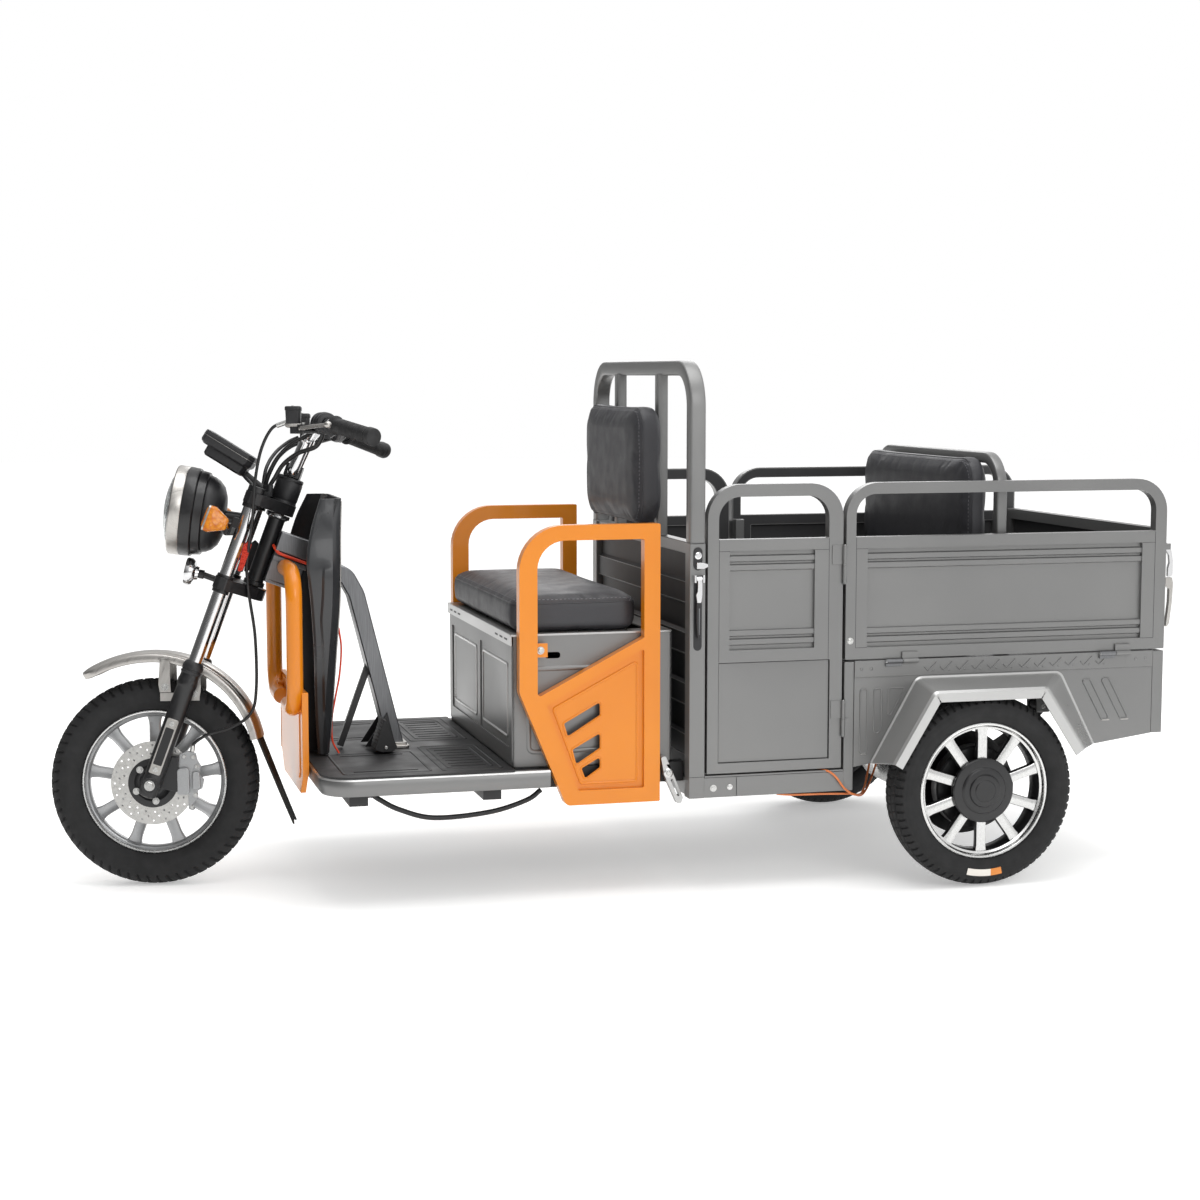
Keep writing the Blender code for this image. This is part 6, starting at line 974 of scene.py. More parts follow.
GRIP_LONG = 0.15
along = np.linspace(0.008, 0.128, 160)
ridge = np.stack([0.0165 + 0.00055 * np.clip(np.sin(along * 2 * np.pi / 0.0048) * 2, -1, 1), along], 1)
sleeve = np.concatenate([[(0.0118, 0.0), (0.0195, 0.0), (0.0205, 0.001), (0.0205, 0.004), (0.019, 0.0055),
    (0.017, 0.007)], ridge, [(0.0168, 0.13), (0.0175, 0.132), (0.0188, 0.134), (0.019, 0.136), (0.0182, 0.1375),
    (0.019, 0.139), (0.019, 0.15), (0.018, 0.153), (0.0135, 0.1545), (0.0, 0.155), (0.0, 0.151), (0.0118, 0.151)]])
for label, side, body, node in (("left", -1, "steering", "grip_left"),
        ("right", 1, "throttle_grip", "throttle_grip")):
    a, b = (Vector((p[0], side * p[1], p[2])) for p in BAR[-2:])
    end = b + (b - a).normalized() * 0.004
    hold, _ = line_of(end - (b - a).normalized() * GRIP_LONG, end)
    put("grip_sleeve_" + label, [turned(sleeve, hold, 40)], grip_rubber, body, TURN, soft=45, node=node)


# Brake levers: forged aluminium blades with a ball end, each on a pin in its perch.

for label, side in SIDES:
    x, y, z = PERCH
    line = bent([(x, y, z), (x + 0.001, y + 0.04, z), (x + 0.034, y + 0.118, z), (x + 0.062, y + 0.166, z)],
        [0, 0.05, 0.12, 0], 10) * (1, side, 1)
    share = np.linspace(0, 1, len(line))
    oval = np.array([(-0.0044, -0.004), (-0.0044, 0.004), (-0.0026, 0.006), (0.0026, 0.006), (0.0044, 0.004),
        (0.0044, -0.004), (0.0026, -0.006), (-0.0026, -0.006)])
    blade = carried(line, oval, (0, 0, 1), scale=1 - 0.16 * share)
    hub = turned([(0.0036, -0.0044), (0.01, -0.0044), (0.0105, -0.0036), (0.0105, 0.0036), (0.01, 0.0044),
        (0.0036, 0.0044)], moved(x, side * y, z), 32)
    b = np.linspace(0, np.pi, 12)
    ball = turned(np.stack([0.008 * np.sin(b), -0.0072 * np.cos(b)], 1), Matrix.Translation(line[-1]), 24)
    put("lever_blade_" + label, [blade, hub, ball], satin_alloy, "brake_lever_" + label, TURN, soft=40,
        node="brake_lever_" + label)
put("start_button_cap",
    [turned([(0.0, 1.0308), (0.0058, 1.0308), (0.006, 1.0313), (0.006, 1.0395), (0.0052, 1.0405), (0.0, 1.0408)],
    moved(0.4005, 0.202, 0), 28)], red_plastic, "start_button", TURN, node="start_button")


# Control cables: black sheathed wires and hoses that loop from the pods, reservoirs and
# display down to a knot of moulded connectors on the upper clamp.

def strand(name, points, radius, material, body, home=HOME, count=60, node=()):
    """A cord through chosen points, as a round tube; its length is that of its own middle line."""
    path = smooth(points, count)
    made = put(name, [tubed(path, radius, 12)], material, body, home, soft=60, node=node)
    there = place_rows(path, home)
    return made, there


# Cable sheath: extruded PVC, plain black and half glossy
sheath, tree, shader = finish("black_cable_sheath", "171718", Roughness=0.42)
pattern(tree, shader, 180.0, 3.0, rough=(0.34, 0.52))

CABLES = [("cable_left_switch", 0.005, [(0.3975, -0.19, 0.998), (0.378, -0.158, 0.968), (0.336, -0.112, 0.955),
    (0.3, -0.074, 0.932), (0.279, -0.056, 0.902), (0.266, -0.048, 0.884)]),
    ("cable_left_lever", 0.0042, [(0.378, -0.14, 1.004), (0.352, -0.104, 0.992), (0.318, -0.078, 0.976),
    (0.288, -0.054, 0.95), (0.266, -0.036, 0.912), (0.256, -0.03, 0.884)]),
    ("cable_display", 0.0038, [(0.2, -0.02, 0.922), (0.212, -0.04, 0.906), (0.226, -0.052, 0.892),
    (0.236, -0.054, 0.88)]), ("cable_right_switch", 0.005,
    [(0.3905, 0.17, 0.998), (0.36, 0.118, 0.988), (0.318, 0.064, 0.982), (0.284, 0.034, 0.956), (0.262, 0.012, 0.916),
    (0.252, 0.008, 0.884)]), ("cable_right_brake", 0.0042,
    [(0.318, 0.15, 1.001), (0.296, 0.138, 0.99), (0.27, 0.1, 0.965), (0.252, 0.06, 0.93), (0.244, 0.04, 0.884)]),]
for name, radius, points in CABLES:
    strand(name, points, radius, sheath, "steering", TURN)
knot = []
for x, y, z, r, h in ((0.266, -0.048, 0.868, 0.0075, 0.02), (0.256, -0.03, 0.868, 0.007, 0.02),
        (0.236, -0.056, 0.866, 0.0065, 0.018), (0.252, 0.008, 0.868, 0.008, 0.02), (0.244, 0.04, 0.868, 0.007, 0.02),
        (0.246, -0.012, 0.868, 0.008, 0.016)):
    knot.append(rod((x, y, z), (x + 0.002, y, z + h), r, 16))
knot.append(block((0.222, 0.272), (-0.06, 0.056), (0.861, 0.872)))
put("cable_connectors", knot, black_plastic, "steering", TURN, bevel=0.0012)


# Front brake hose: reinforced rubber from the near reservoir down behind the fork leg to
# the caliper, between its two crimped ends.

HOSE = [(0.088, -0.06, 0.3006), (0.094, -0.064, 0.318), (0.126, -0.074, 0.338), (0.175, -0.08, 0.352),
    (0.22, -0.078, 0.383), (0.233, -0.078, 0.44), (0.232, -0.074, 0.55), (0.221, -0.07, 0.635), (0.218, -0.075, 0.67),
    (0.216, -0.074, 0.705), (0.222, -0.082, 0.748), (0.233, -0.107, 0.805), (0.238, -0.123, 0.85),
    (0.244, -0.129, 0.905), (0.258, -0.134, 0.965), (0.282, -0.144, 1.008), (0.3104, -0.146, 1.02)]
hose, there = strand("brake_hose_line", HOSE, 0.0035, sheath, None, TURN, count=150, node="brake_hose")
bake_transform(hose)
put("hose_crimp_low", [rod((0.088, -0.0598, 0.299), (0.0905, -0.0615, 0.313), 0.0052)], zinc, "fork_lower", TURN)
put("hose_crimp_high", [rod((0.292, -0.1455, 1.0135), (0.315, -0.1462, 1.0215), 0.0054)], zinc, "steering", TURN)


# Front frame: a steel head tube with pressed bearing cups, a folded neck box in two steps
# behind it, a square down tube and a flat brace bent down to its foot on the floor.

# Brushed graphite steel: sheet brushed lengthwise under clear lacquer
graphite, tree, shader = finish("brushed_graphite_steel", "77787A", Metallic=0.85, Roughness=0.36)
pattern(tree, shader, (620.0, 90.0, 26.0), 3.0, tint=("626365", "8A8B8D"))
pattern(tree, shader, 7.0, rough=(0.3, 0.44))

# Orange powder coat: thick, smooth and glossy, with a slight orange-peel ripple
orange, tree, shader = finish("orange_powder_coat", "E08208", Roughness=0.3, Coat_Weight=0.25)
pattern(tree, shader, 260.0, bump=(0.05, 0.0004))
pattern(tree, shader, 5.0, tint=("D97A00", "E58A10"))

# Wire insulation: orange-red silicone, soft sheen
wire_red, tree, shader = finish("orange_red_wire", "E4401F", Roughness=0.4)
pattern(tree, shader, 120.0, tint=("DA3A1A", "EC4A28"))

tube = [(0.0165, 0.4642), (0.0225, 0.4642), (0.0236, 0.4655), (0.0236, 0.474), (0.0196, 0.4762), (0.019, 0.48),
    (0.019, 0.618), (0.0196, 0.6218), (0.0236, 0.624), (0.0236, 0.633), (0.0225, 0.6342), (0.0165, 0.6342)]
put("head_tube", [turned(tube, RAKED, 48)], black_paint, "chassis", node="head_frame")
put("neck_box", [block((0.0152, 0.098), (-0.042, 0.042), (0.5565, 0.6), RAKED),
    block((0.0152, 0.096), (-0.0405, 0.0405), (0.534, 0.5455), RAKED),
    block((0.0152, 0.09), (-0.0365, 0.0365), (0.482, 0.5345), RAKED),
    block((0.0152, 0.094), (-0.039, 0.039), (0.4825, 0.49), RAKED)], graphite, "chassis", bevel=0.0022)
put("neck_inner", [block((0.016, 0.093), (-0.0385, 0.0385), (0.544, 0.558), RAKED)], black_paint, "chassis")
wire = [tuple(RAKED @ Vector(p)) for p in ((0.01, -0.0235, 0.564), (0.015, -0.033, 0.559), (0.026, -0.0425, 0.5525),
    (0.06, -0.0435, 0.551), (0.09, -0.043, 0.5508), (0.104, -0.036, 0.55))]
strand("neck_wire", wire, 0.0034, wire_red, "chassis")

brace_line = bent([(0.345, 0, 0.69), (0.425, 0, 0.69), (0.452, 0, 0.64), (0.538, 0, 0.2933)], [0, 0.03, 0.06, 0], 12)
flat = [(-0.03, -0.0155), (-0.03, 0.0155), (-0.0275, 0.018), (0.0275, 0.018), (0.03, 0.0155), (0.03, -0.0155),
    (0.0275, -0.018), (-0.0275, -0.018)]
put("brace", [carried(brace_line, flat, (0, 1, 0))], graphite, "chassis", soft=40)
down = [(0.335, 0, 0.7), (0.3555, 0, 0.247)]
square = [(-0.025, -0.0155), (-0.025, 0.0155), (-0.0225, 0.018), (0.0225, 0.018), (0.025, 0.0155), (0.025, -0.0155),
    (0.0225, -0.018), (-0.0225, -0.018)]
gussets = [carried(down, square, (0, 1, 0)),
    carried([(0.4135, 0, 0.2923), (0.487, 0, 0.495)],
    [(-0.007, -0.007), (-0.007, 0.007), (0.007, 0.007), (0.007, -0.007)], (0, 1, 0))]
for side in (-1, 1):
    gussets.append(slab([(0.466, 0.2925), (0.536, 0.2925), (0.518, 0.37)], -side * 0.031, -side * 0.0345, WALL))
gussets.append(block((0.49, 0.51), (-0.056, -0.046), (0.2905, 0.3125)))
gussets.append(rod((0.5, -0.05, 0.3035), (0.5, -0.118, 0.3035), 0.0045))
put("down_tube_and_struts", gussets, black_paint, "chassis", bevel=0.001)
put("brace_foot", [slab(plan([(0.49, -0.05), (0.566, -0.05), (0.566, 0.05), (0.49, 0.05)], 0.006, 4), 0.2886, 0.2945),
    slab(plan([(0.516, -0.038), (0.562, -0.038), (0.562, 0.038), (0.516, 0.038)], 0.004, 4), 0.294, 0.3003)],
    satin_alloy, "chassis", bevel=0.001)


# Front guard: two loops of steel tube, powder coated orange, welded to a folded apron
# plate that is tabbed to the floor rail.

FRONTAL = Matrix(((0, 0, 1, 0), (1, 0, 0, 0), (0, 1, 0, 0), (0, 0, 0, 1)))
loops, apron = [], []
for side in (-1, 1):
    line = bent([(0.29, side * 0.0423, 0.707), (0.29, side * 0.187, 0.707), (0.29, side * 0.187, 0.403),
        (0.29, side * 0.062, 0.403)], [0, 0.062, 0.062, 0], 14)
    loops.append(tubed(line, 0.018, 28))
    loops.append(block((0.288, 0.306), (side * 0.12, side * 0.168), (0.398, 0.428)))
    apron.append(block((0.309, 0.3217), (side * 0.06, side * 0.1), (0.252, 0.276)))
    apron.append(slab([(side * 0.1975, 0.262), (side * 0.1975, 0.4455), (side * 0.1945, 0.4455),
        (side * 0.1945, 0.264)], 0.303, 0.317, FRONTAL))
apron.append(slab([(-0.197, 0.445), (-0.197, 0.265), (-0.147, 0.215), (0.147, 0.215), (0.197, 0.265), (0.197, 0.445)],
    0.304, 0.316, FRONTAL))
apron.append(slab([(-0.15, 0.44), (-0.15, 0.262), (-0.135, 0.247), (0.135, 0.247), (0.15, 0.262), (0.15, 0.44)],
    0.302, 0.305, FRONTAL))
put("guard_loops", loops, orange, "chassis", bevel=0.002, soft=40, node="front_guard")
put("guard_apron", apron, orange, "chassis", bevel=0.0012)


# Leg shield: a tall moulded shell of dark satin plastic round the down tube. Its sides
# carry a raised faceted panel, and a pale line along each rear corner is a painted highlight.

# Satin shield plastic: dark grey ABS, painted and waxed
shield_plastic, tree, shader = finish("satin_shield_plastic", "2E2F31", Roughness=0.3, Coat_Weight=0.2)
pattern(tree, shader, 9.0, 3.0, tint=("2A2B2D", "333436"), rough=(0.24, 0.38))

levels = np.array([(0.292, 0.35, 0.378, 0.105), (0.4, 0.343, 0.384, 0.12), (0.53, 0.338, 0.39, 0.15),
    (0.64, 0.33, 0.396, 0.168), (0.73, 0.322, 0.398, 0.17), (0.8, 0.336, 0.402, 0.15), (0.862, 0.36, 0.41, 0.115)])
z, front, back, half = smooth(levels, 70).T
raised = 0.0045 * np.clip((z - 0.375) / 0.028, 0, 1) * np.clip((0.735 - z) / 0.04, 0, 1)
lean = 0.02 * np.clip((z - 0.6) / 0.13, 0, 1)
nil = 0 * z
outer = [(front, -half + 0.004), (front + 0.005, -half + 0.0006), (front + 0.012, -half + nil),
    (front + 0.016 + lean, -half + nil), (front + 0.021 + lean, -half - raised), (back - 0.02, -half - raised),
    (back - 0.0155, -half + 0.002), (back - 0.008, -half + 0.0075), (back - 0.002, -half + 0.015),
    (back + nil, -half + 0.024), (back + nil, -half * 0.3)]
inner = [(back - 0.005, -half * 0.3), (back - 0.005, -half + 0.028), (back - 0.012, -half + 0.0145),
    (back - 0.018, -half + 0.009), (front + 0.012, -half + 0.0052), (front + nil, -half + 0.009)]
section = outer + [(x, -y) for x, y in outer[::-1]] + [(x, -y) for x, y in inner[::-1]] + inner
grid = np.stack([np.stack([x, y, z], 1) for x, y in section], 1)
put("leg_shield_shell", [lattice(grid, around=True, ends=True)], shield_plastic, "chassis", soft=22,
    node="leg_shield")
shield_highlight_lines = []
# A thin pale tube along each rear corner: a painted highlight
for side in (-1, 1):
    line = np.stack([back + 0.0002, side * (half - 0.0205), z], 1)[4:-1]
    shield_highlight_lines.append(tubed(line, 0.0015, 8))
put("shield_edge_highlight", shield_highlight_lines, satin_alloy, "chassis", soft=60)
strand("shield_wire", [(0.3985, -0.105, 0.575), (0.404, -0.104, 0.53), (0.4, -0.101, 0.47), (0.391, -0.097, 0.42),
    (0.383, -0.092, 0.37), (0.384, -0.088, 0.32), (0.398, -0.09, 0.2905)], 0.0022, wire_red, "chassis")


# Floor: one rail of formed steel tube bent round the front corners, cross members below,
# and a moulded rubber mat whose raised outlines mark the foot rests.

# Grey box paint: warm metallic grey enamel over steel, with slow clouding and a fine sparkle
box_paint, tree, shader = finish("metallic_grey_enamel", "7F7F7E", Metallic=0.6, Roughness=0.36)
pattern(tree, shader, 3.0, 3.0, tint=("767676", "888887"), rough=(0.32, 0.44))
pattern(tree, shader, 900.0, bump=(0.06, 0.0003))

# Pale grey enamel: the same paint in a paler tone. It is the fenders' own colour, and it is also laid as a painted
# highlight on the rail's upper edge, the seat box lip and the panel beads, where they catch the light
pale_paint_and_painted_highlight, tree, shader = finish("pale_grey_enamel_and_painted_highlight", "B9B9B8", Metallic=0.75, Roughness=0.28)
pattern(tree, shader, 5.0, 3.0, tint=("AFAFAE", "C4C4C3"), rough=(0.24, 0.38))

# Dark underside paint: flat grey-black chassis black
chassis_paint, tree, shader = finish("chassis_black_paint", "2A2A2B", Metallic=0.2, Roughness=0.5)
pattern(tree, shader, 22.0, 4.0, tint=("222223", "333334"))

# Mat rubber: moulded black rubber, its pebbled face worn to a soft shine
mat_rubber, tree, shader = finish("moulded_mat_rubber", "1B1B1C", Roughness=0.5)
pattern(tree, shader, 420.0, bump=(0.25, 0.0005), kind="Voronoi")
pattern(tree, shader, 11.0, 4.0, tint=("161617", "252526"), rough=(0.38, 0.62))


def pierced(outline, holes, low, high, matrix=Matrix()):
    """A plate with openings: its outline and holes, filled between them at two heights, and their walls."""
    loops = [np.asarray(loop, float)[:, :2] for loop in (outline, *holes)]
    flat = np.concatenate(loops)
    count = len(flat)
    points = np.concatenate([np.concatenate([flat, np.full((count, 1), h)], 1) for h in (low, high)])
    fill = tessellate_polygon([[Vector((*map(float, p), 0)) for p in loop] for loop in loops])
    faces = [list(t) for t in fill] + [[k + count for k in reversed(t)] for t in fill]
    start = 0
    for loop in loops:
        k = np.arange(len(loop))
        n = (k + 1) % len(loop)
        faces += (np.stack([k, n, n + count, k + count], 1) + start).tolist()
        start += len(loop)
    return place_rows(points, matrix), faces


def inset(outline, by):
    """An outline drawn in: each corner moves along the mean of its two sides' inner normals, over the cosine of half
    its turn."""
    p = np.asarray(outline, float)[:, :2]
    into, out = p - np.roll(p, 1, 0), np.roll(p, -1, 0) - p
    into /= np.linalg.norm(into, axis=1, keepdims=True)
    out /= np.linalg.norm(out, axis=1, keepdims=True)
    way = into + out
    way /= np.linalg.norm(way, axis=1, keepdims=True)
    after = np.roll(p, -1, 0)
    turn = np.sign((p[:, 0] * after[:, 1] - after[:, 0] * p[:, 1]).sum())
    inward = np.stack([-way[:, 1], way[:, 0]], 1) * turn
    return p + inward * by / np.maximum(0.3, (way * into).sum(1, keepdims=True))


def corners(x, z, radius=0.0, steps=5):
    """A rectangle's outline between two values each way, its corners arcs of one radius or one each."""
    return plan([(x[0], z[0]), (x[1], z[0]), (x[1], z[1]), (x[0], z[1])], radius, steps)


def upright_line(outline, at):
    """An outline in X and Z stood up at a value of Y, as points of a path."""
    o = np.asarray(outline, float)
    return np.stack([o[:, 0], np.full(len(o), float(at)), o[:, 1]], 1)


def bead(outline, side, face, out, width, rise):
    """A pressed bead: a low rounded section carried round an outline on an upright sheet, standing out on its side."""
    half = width / 2
    arch = [(-0.0008, -half), (rise * 0.55, -half * 0.72), (rise, -half * 0.3), (rise, half * 0.3),
        (rise * 0.55, half * 0.72), (-0.0008, half)]
    return carried(upright_line(outline, side * face), np.array(arch) * (out, 1), (0, side, 0), closed=True)


floor_line = bent([(0.814, -0.3725, 0.2643), (0.3345, -0.3725, 0.2643), (0.3345, 0.3725, 0.2643),
    (0.814, 0.3725, 0.2643)], [0, 0.0575, 0.0575, 0], 14)
rail_section = [(-0.019, -0.0095), (-0.016, -0.0125), (0.016, -0.0125), (0.019, -0.0095), (0.019, 0.0085),
    (0.015, 0.0125), (-0.0135, 0.0125), (-0.019, 0.008)]
put("floor_rail", [carried(floor_line, rail_section, (0, 0, 1))], box_paint, "chassis", soft=50, node="floor_frame")
# A strip of pale paint along the rail's upper outer corner: a painted highlight
strip = [(0.0146, 0.0126), (0.019, 0.0086), (0.0194, 0.009), (0.015, 0.0131)]
put("floor_rail_highlight_strip", [carried(floor_line, strip, (0, 0, 1))], pale_paint_and_painted_highlight, "chassis", soft=50)
under = []
for side in (-1, 1):
    under.append(block((0.395, 1.1245), (side * 0.16, side * 0.2), (0.2153, 0.2493)))
    under.append(block((0.7, 1.1245), (side * 0.3187, side * 0.3487), (0.2393, 0.283)))
for x, half in ((0.4, 0.362), (0.69, 0.362), (1.0, 0.3487)):
    under.append(block((x - 0.02, x + 0.02), (-half, half), (0.2213, 0.2733)))
under.append(block((0.327, 0.4), (-0.045, 0.045), (0.2493, 0.2773)))
under.append(rod((1.084, -0.34, 0.262), (1.084, -0.374, 0.262), 0.005))
put("floor_under_rails", under, chassis_paint, "chassis", bevel=0.002)

plan_line = bent([(0.737, -0.383, 0), (0.324, -0.383, 0), (0.324, 0.383, 0), (0.737, 0.383, 0)],
    [0.004, 0.068, 0.068, 0.004], 12, True)
slot = [(0.332, -0.026), (0.376, -0.026), (0.376, 0.026), (0.332, 0.026)]
put("floor_mat_sheet", [pierced(plan_line, [slot], 0.2836, 0.2876)], mat_rubber, "chassis", bevel=0.001,
    node="floor_mat")
raised = []
ridge = [(-0.0003, -0.0035), (0.0009, -0.0026), (0.0012, 0.0), (0.0009, 0.0026), (-0.0003, 0.0035)]
for side in (-1, 1):
    for x, y in (((0.372, 0.56), (0.096, 0.345)), ((0.586, 0.716), (0.04, 0.35)), ((0.602, 0.7), (0.07, 0.32))):
        line = np.concatenate([corners(x, sorted((side * y[0], side * y[1])), 0.008, 4), np.full((20, 1), 0.2876)], 1)
        raised.append(carried(line, ridge, (0, 0, 1), closed=True))
    for k in range(7):
        y = side * (0.1 + 0.033 * k)
        raised.append(block((0.612, 0.69), (y - 0.002, y + 0.002), (0.287, 0.2886)))
    raised.append(block((0.396, 0.536), (side * 0.12, side * 0.123), (0.287, 0.2886)))
    raised.append(block((0.396, 0.536), (side * 0.318, side * 0.321), (0.287, 0.2886)))
put("floor_mat_ridges", raised, mat_rubber, "chassis", soft=50)


# Seat box: a folded steel locker with a lip round its top, two beaded panels in front and
# a cable slot in each side. The battery and the motor controller stand inside it.

shell = [block((0.741, 0.745), (-0.345, 0.345), (0.2836, 0.576)),
    block((1.094, 1.098), (-0.345, 0.345), (0.2836, 0.576)), block((0.741, 1.098), (-0.345, 0.345), (0.2836, 0.287))]
lip = []
for side in (-1, 1):
    shell.append(pierced(corners((0.741, 1.098), (0.2836, 0.576)),
        [corners((0.812, 0.846), (0.522, 0.536), 0.006, 4)], -side * 0.341, -side * 0.345, WALL))
    shell.append(bead(corners((0.775, 1.064), (0.318, 0.5), 0.012), side, 0.345, 1, 0.012, 0.0022))
put("seat_box_shell", shell, box_paint, "chassis", bevel=0.0, soft=40, node="seat_box")
# The lip round the top is in pale paint: a painted highlight where its top edge catches the light
lip.append(pierced(corners((0.7345, 1.098), (-0.3482, 0.3482), 0.003, 3),
    [corners((0.786, 1.053), (-0.3, 0.3), 0.01, 3)], 0.5722, 0.5765))
lip.append(block((0.7342, 0.7372), (-0.3482, 0.3482), (0.552, 0.575)))
put("seat_box_lip", lip, pale_paint_and_painted_highlight, "chassis", bevel=0.001)
# Black strips on the lip's front stand for its slits: painted shade where the openings would be
slits = [block((0.7337, 0.7345), (y, y + 0.026), (0.561, 0.565))
    for y in (-0.315, -0.268, -0.221, 0.195, 0.242, 0.289)]
put("seat_box_slits", slits, black_plastic, "chassis")
PANELS = [(-0.311, -0.015), (0.015, 0.311)]
windows = [corners(p, (0.3256, 0.5265), 0.004, 3) for p in PANELS]
face = [pierced(corners((-0.341, 0.341), (0.2956, 0.552), 0.003, 3), windows, 0.738, 0.7412, FRONTAL)]
put("seat_box_front_frame", face, box_paint, "chassis", bevel=0.0009)
# The beads round the front panels are in pale paint: painted highlights on their ridges
beads = []
for p in PANELS:
    o = corners((p[0] + 0.02, p[1] - 0.02), (0.3456, 0.5065), 0.008, 4)
    ring_line = np.stack([np.full(len(o), 0.741), o[:, 0], o[:, 1]], 1)
    beads.append(carried(ring_line, [(0.0005, -0.0045), (-0.0014, -0.003), (-0.0018, 0.0), (-0.0014, 0.003),
        (0.0005, 0.0045)], (1, 0, 0), closed=True))
put("seat_box_panel_beads", beads, pale_paint_and_painted_highlight, "chassis", soft=60)
# Battery case: black sheet steel under wrinkle paint; controller: finned die casting
wrinkle, tree, shader = finish("black_wrinkle_paint", "1F1F21", Metallic=0.3, Roughness=0.6)
pattern(tree, shader, 420.0, 4.0, bump=(0.5, 0.0006))
for name, coat in (("battery_pack", wrinkle), ("motor_controller", silver_paint)):
    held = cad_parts[name].data
    held.materials.clear()
    held.materials.append(coat)


# Arm frames: box tube bent and mitred round the seat, powder coated orange, with a sheet
# infill pierced by three slanted slots and edged with a pressed bead.

for label, side in SIDES:
    outer = bent([(0.748, 0.813, 0), (0.748, 0.452, 0), (0.851, 0.202, 0), (1.063, 0.202, 0), (1.063, 0.813, 0)],
        [0.1, 0.03, 0.015, 0.003, 0.003], 10, True)
    window = bent([(0.788, 0.78, 0), (0.788, 0.441, 0), (1.027, 0.565, 0), (1.027, 0.78, 0)],
        [0.062, 0.006, 0.004, 0.004], 8, True)
    lower = bent([(0.808, 0.423, 0), (0.878, 0.234, 0), (1.027, 0.234, 0), (1.027, 0.541, 0)], 0.004, 3, True)
    put("arm_frame_tube_" + label, [pierced(outer, [window, lower], -side * 0.349, -side * 0.376, WALL)], orange,
        "chassis", bevel=0.0035, soft=40, node="arm_frame_" + label)
    slots = []
    for left, top, tall in ((0.849, 0.381, 0.028), (0.868, 0.323, 0.032), (0.888, 0.281, 0.022)):
        rise = (0.929 - left) * 0.55
        slots.append(bent([(left, top, 0), (left + 0.008, top - tall, 0), (0.929, top - tall + rise, 0),
            (0.929, top + rise, 0)], 0.0035, 3, True))
    plate = [(0.8, 0.427), (0.872, 0.226), (1.033, 0.226), (1.033, 0.547)]
    put("arm_frame_infill_" + label, [pierced(plate, slots, -side * 0.363, -side * 0.367, WALL)], orange, "chassis",
        bevel=0.0009, soft=40)
    line = plan([(0.824, 0.415), (0.886, 0.248), (1.013, 0.248), (1.013, 0.513)], 0.006, 4)
    marks = [bead(line, side, 0.367, 1, 0.006, 0.0024)]
    for s in slots:
        marks.append(bead(inset(s, -0.0032), side, 0.367, 1, 0.0036, 0.0016))
    marks.append(block((0.784, 0.812), (side * 0.36, side * 0.368), (0.528, 0.558)))
    put("arm_frame_beads_" + label, marks, orange, "chassis", soft=50, bevel=0.0)
    put("arm_frame_bolt_" + label, fastener(0.0062, 0.006, moved(0.796, side * 0.368, 0.543) @ sideways(side),
        6, 1.4), zinc, "chassis")


# Cushions: moulded foam under black vinyl, each a boxed pad with a crowned face. A seam
# runs round the edge of the face, with a line of stitches beside it.

# Black vinyl: coated cloth, leather grained, dark grey where it catches the light
vinyl, tree, shader = finish("black_grained_vinyl", "343437", Roughness=0.5)
spot = add(tree, "ShaderNodeTexCoord")
pores = add(tree, "ShaderNodeTexVoronoi", {"Vector": (spot, "Object"), "Scale": 520.0})
pull = add(tree, "ShaderNodeTexNoise", {"Vector": (spot, "Object"), "Scale": 26.0, "Detail": 5.0})
tint = add(tree, "ShaderNodeMix", {0: (pull, "Fac"), 6: linear("2B2B2E"), 7: linear("3D3D41")}, data_type="RGBA")
rough = add(tree, "ShaderNodeMapRange", {"Value": (pull, "Fac"), 1: 0.3, 2: 0.7, 3: 0.42, 4: 0.58})
fine = add(tree, "ShaderNodeBump", {"Height": (pores, "Distance"), "Strength": 0.28, "Distance": 0.0005})
relief = add(tree, "ShaderNodeBump", {"Height": (pull, "Fac"), "Strength": 0.1, "Distance": 0.003,
    "Normal": (fine, 0)})
tree.links.new(tint.outputs[2], shader.inputs["Base Color"])
tree.links.new(rough.outputs[0], shader.inputs["Roughness"])
tree.links.new(relief.outputs[0], shader.inputs["Normal"])

# Stitching thread: waxed grey polyester
thread, tree, shader = finish("grey_stitch_thread", "77777B", Roughness=0.55)
pattern(tree, shader, 900.0, tint=("6A6A6E", "88888C"))


def pad_shape(long, wide, deep, corner, crown, shrink):
    """A boxed pad: a rounded rectangle at rising heights, drawn in below, rolled over at the edge, then crowned by a
    power of the share to the middle."""
    edge = plan([(-long / 2, -wide / 2), (long / 2, -wide / 2), (long / 2, wide / 2), (-long / 2, wide / 2)],
        corner, 8)
    body = deep - crown
    rows = [inset(edge, shrink + d) for d in (0.018, 0.006, 0.0015, 0.0, 0.0006, 0.004, 0.011)]
    heights = [shrink, 0.006 + shrink, body * 0.25, body * 0.55, body * 0.82, body * 0.95, body + 0.001]
    grid = [np.concatenate([r, np.full((len(r), 1), h)], 1) for r, h in zip(rows, heights)]
    for share in (0.9, 0.75, 0.5, 0.25, 0.0):
        grid.append(np.concatenate([rows[-1] * share,
            np.full((len(edge), 1), body + (crown - shrink) * (1 - share ** 2.4) + 0.001)], 1))
    grid.insert(0, grid[0] * (0.0, 0.0, 1.0))
    return lattice(np.stack(grid), around=True)


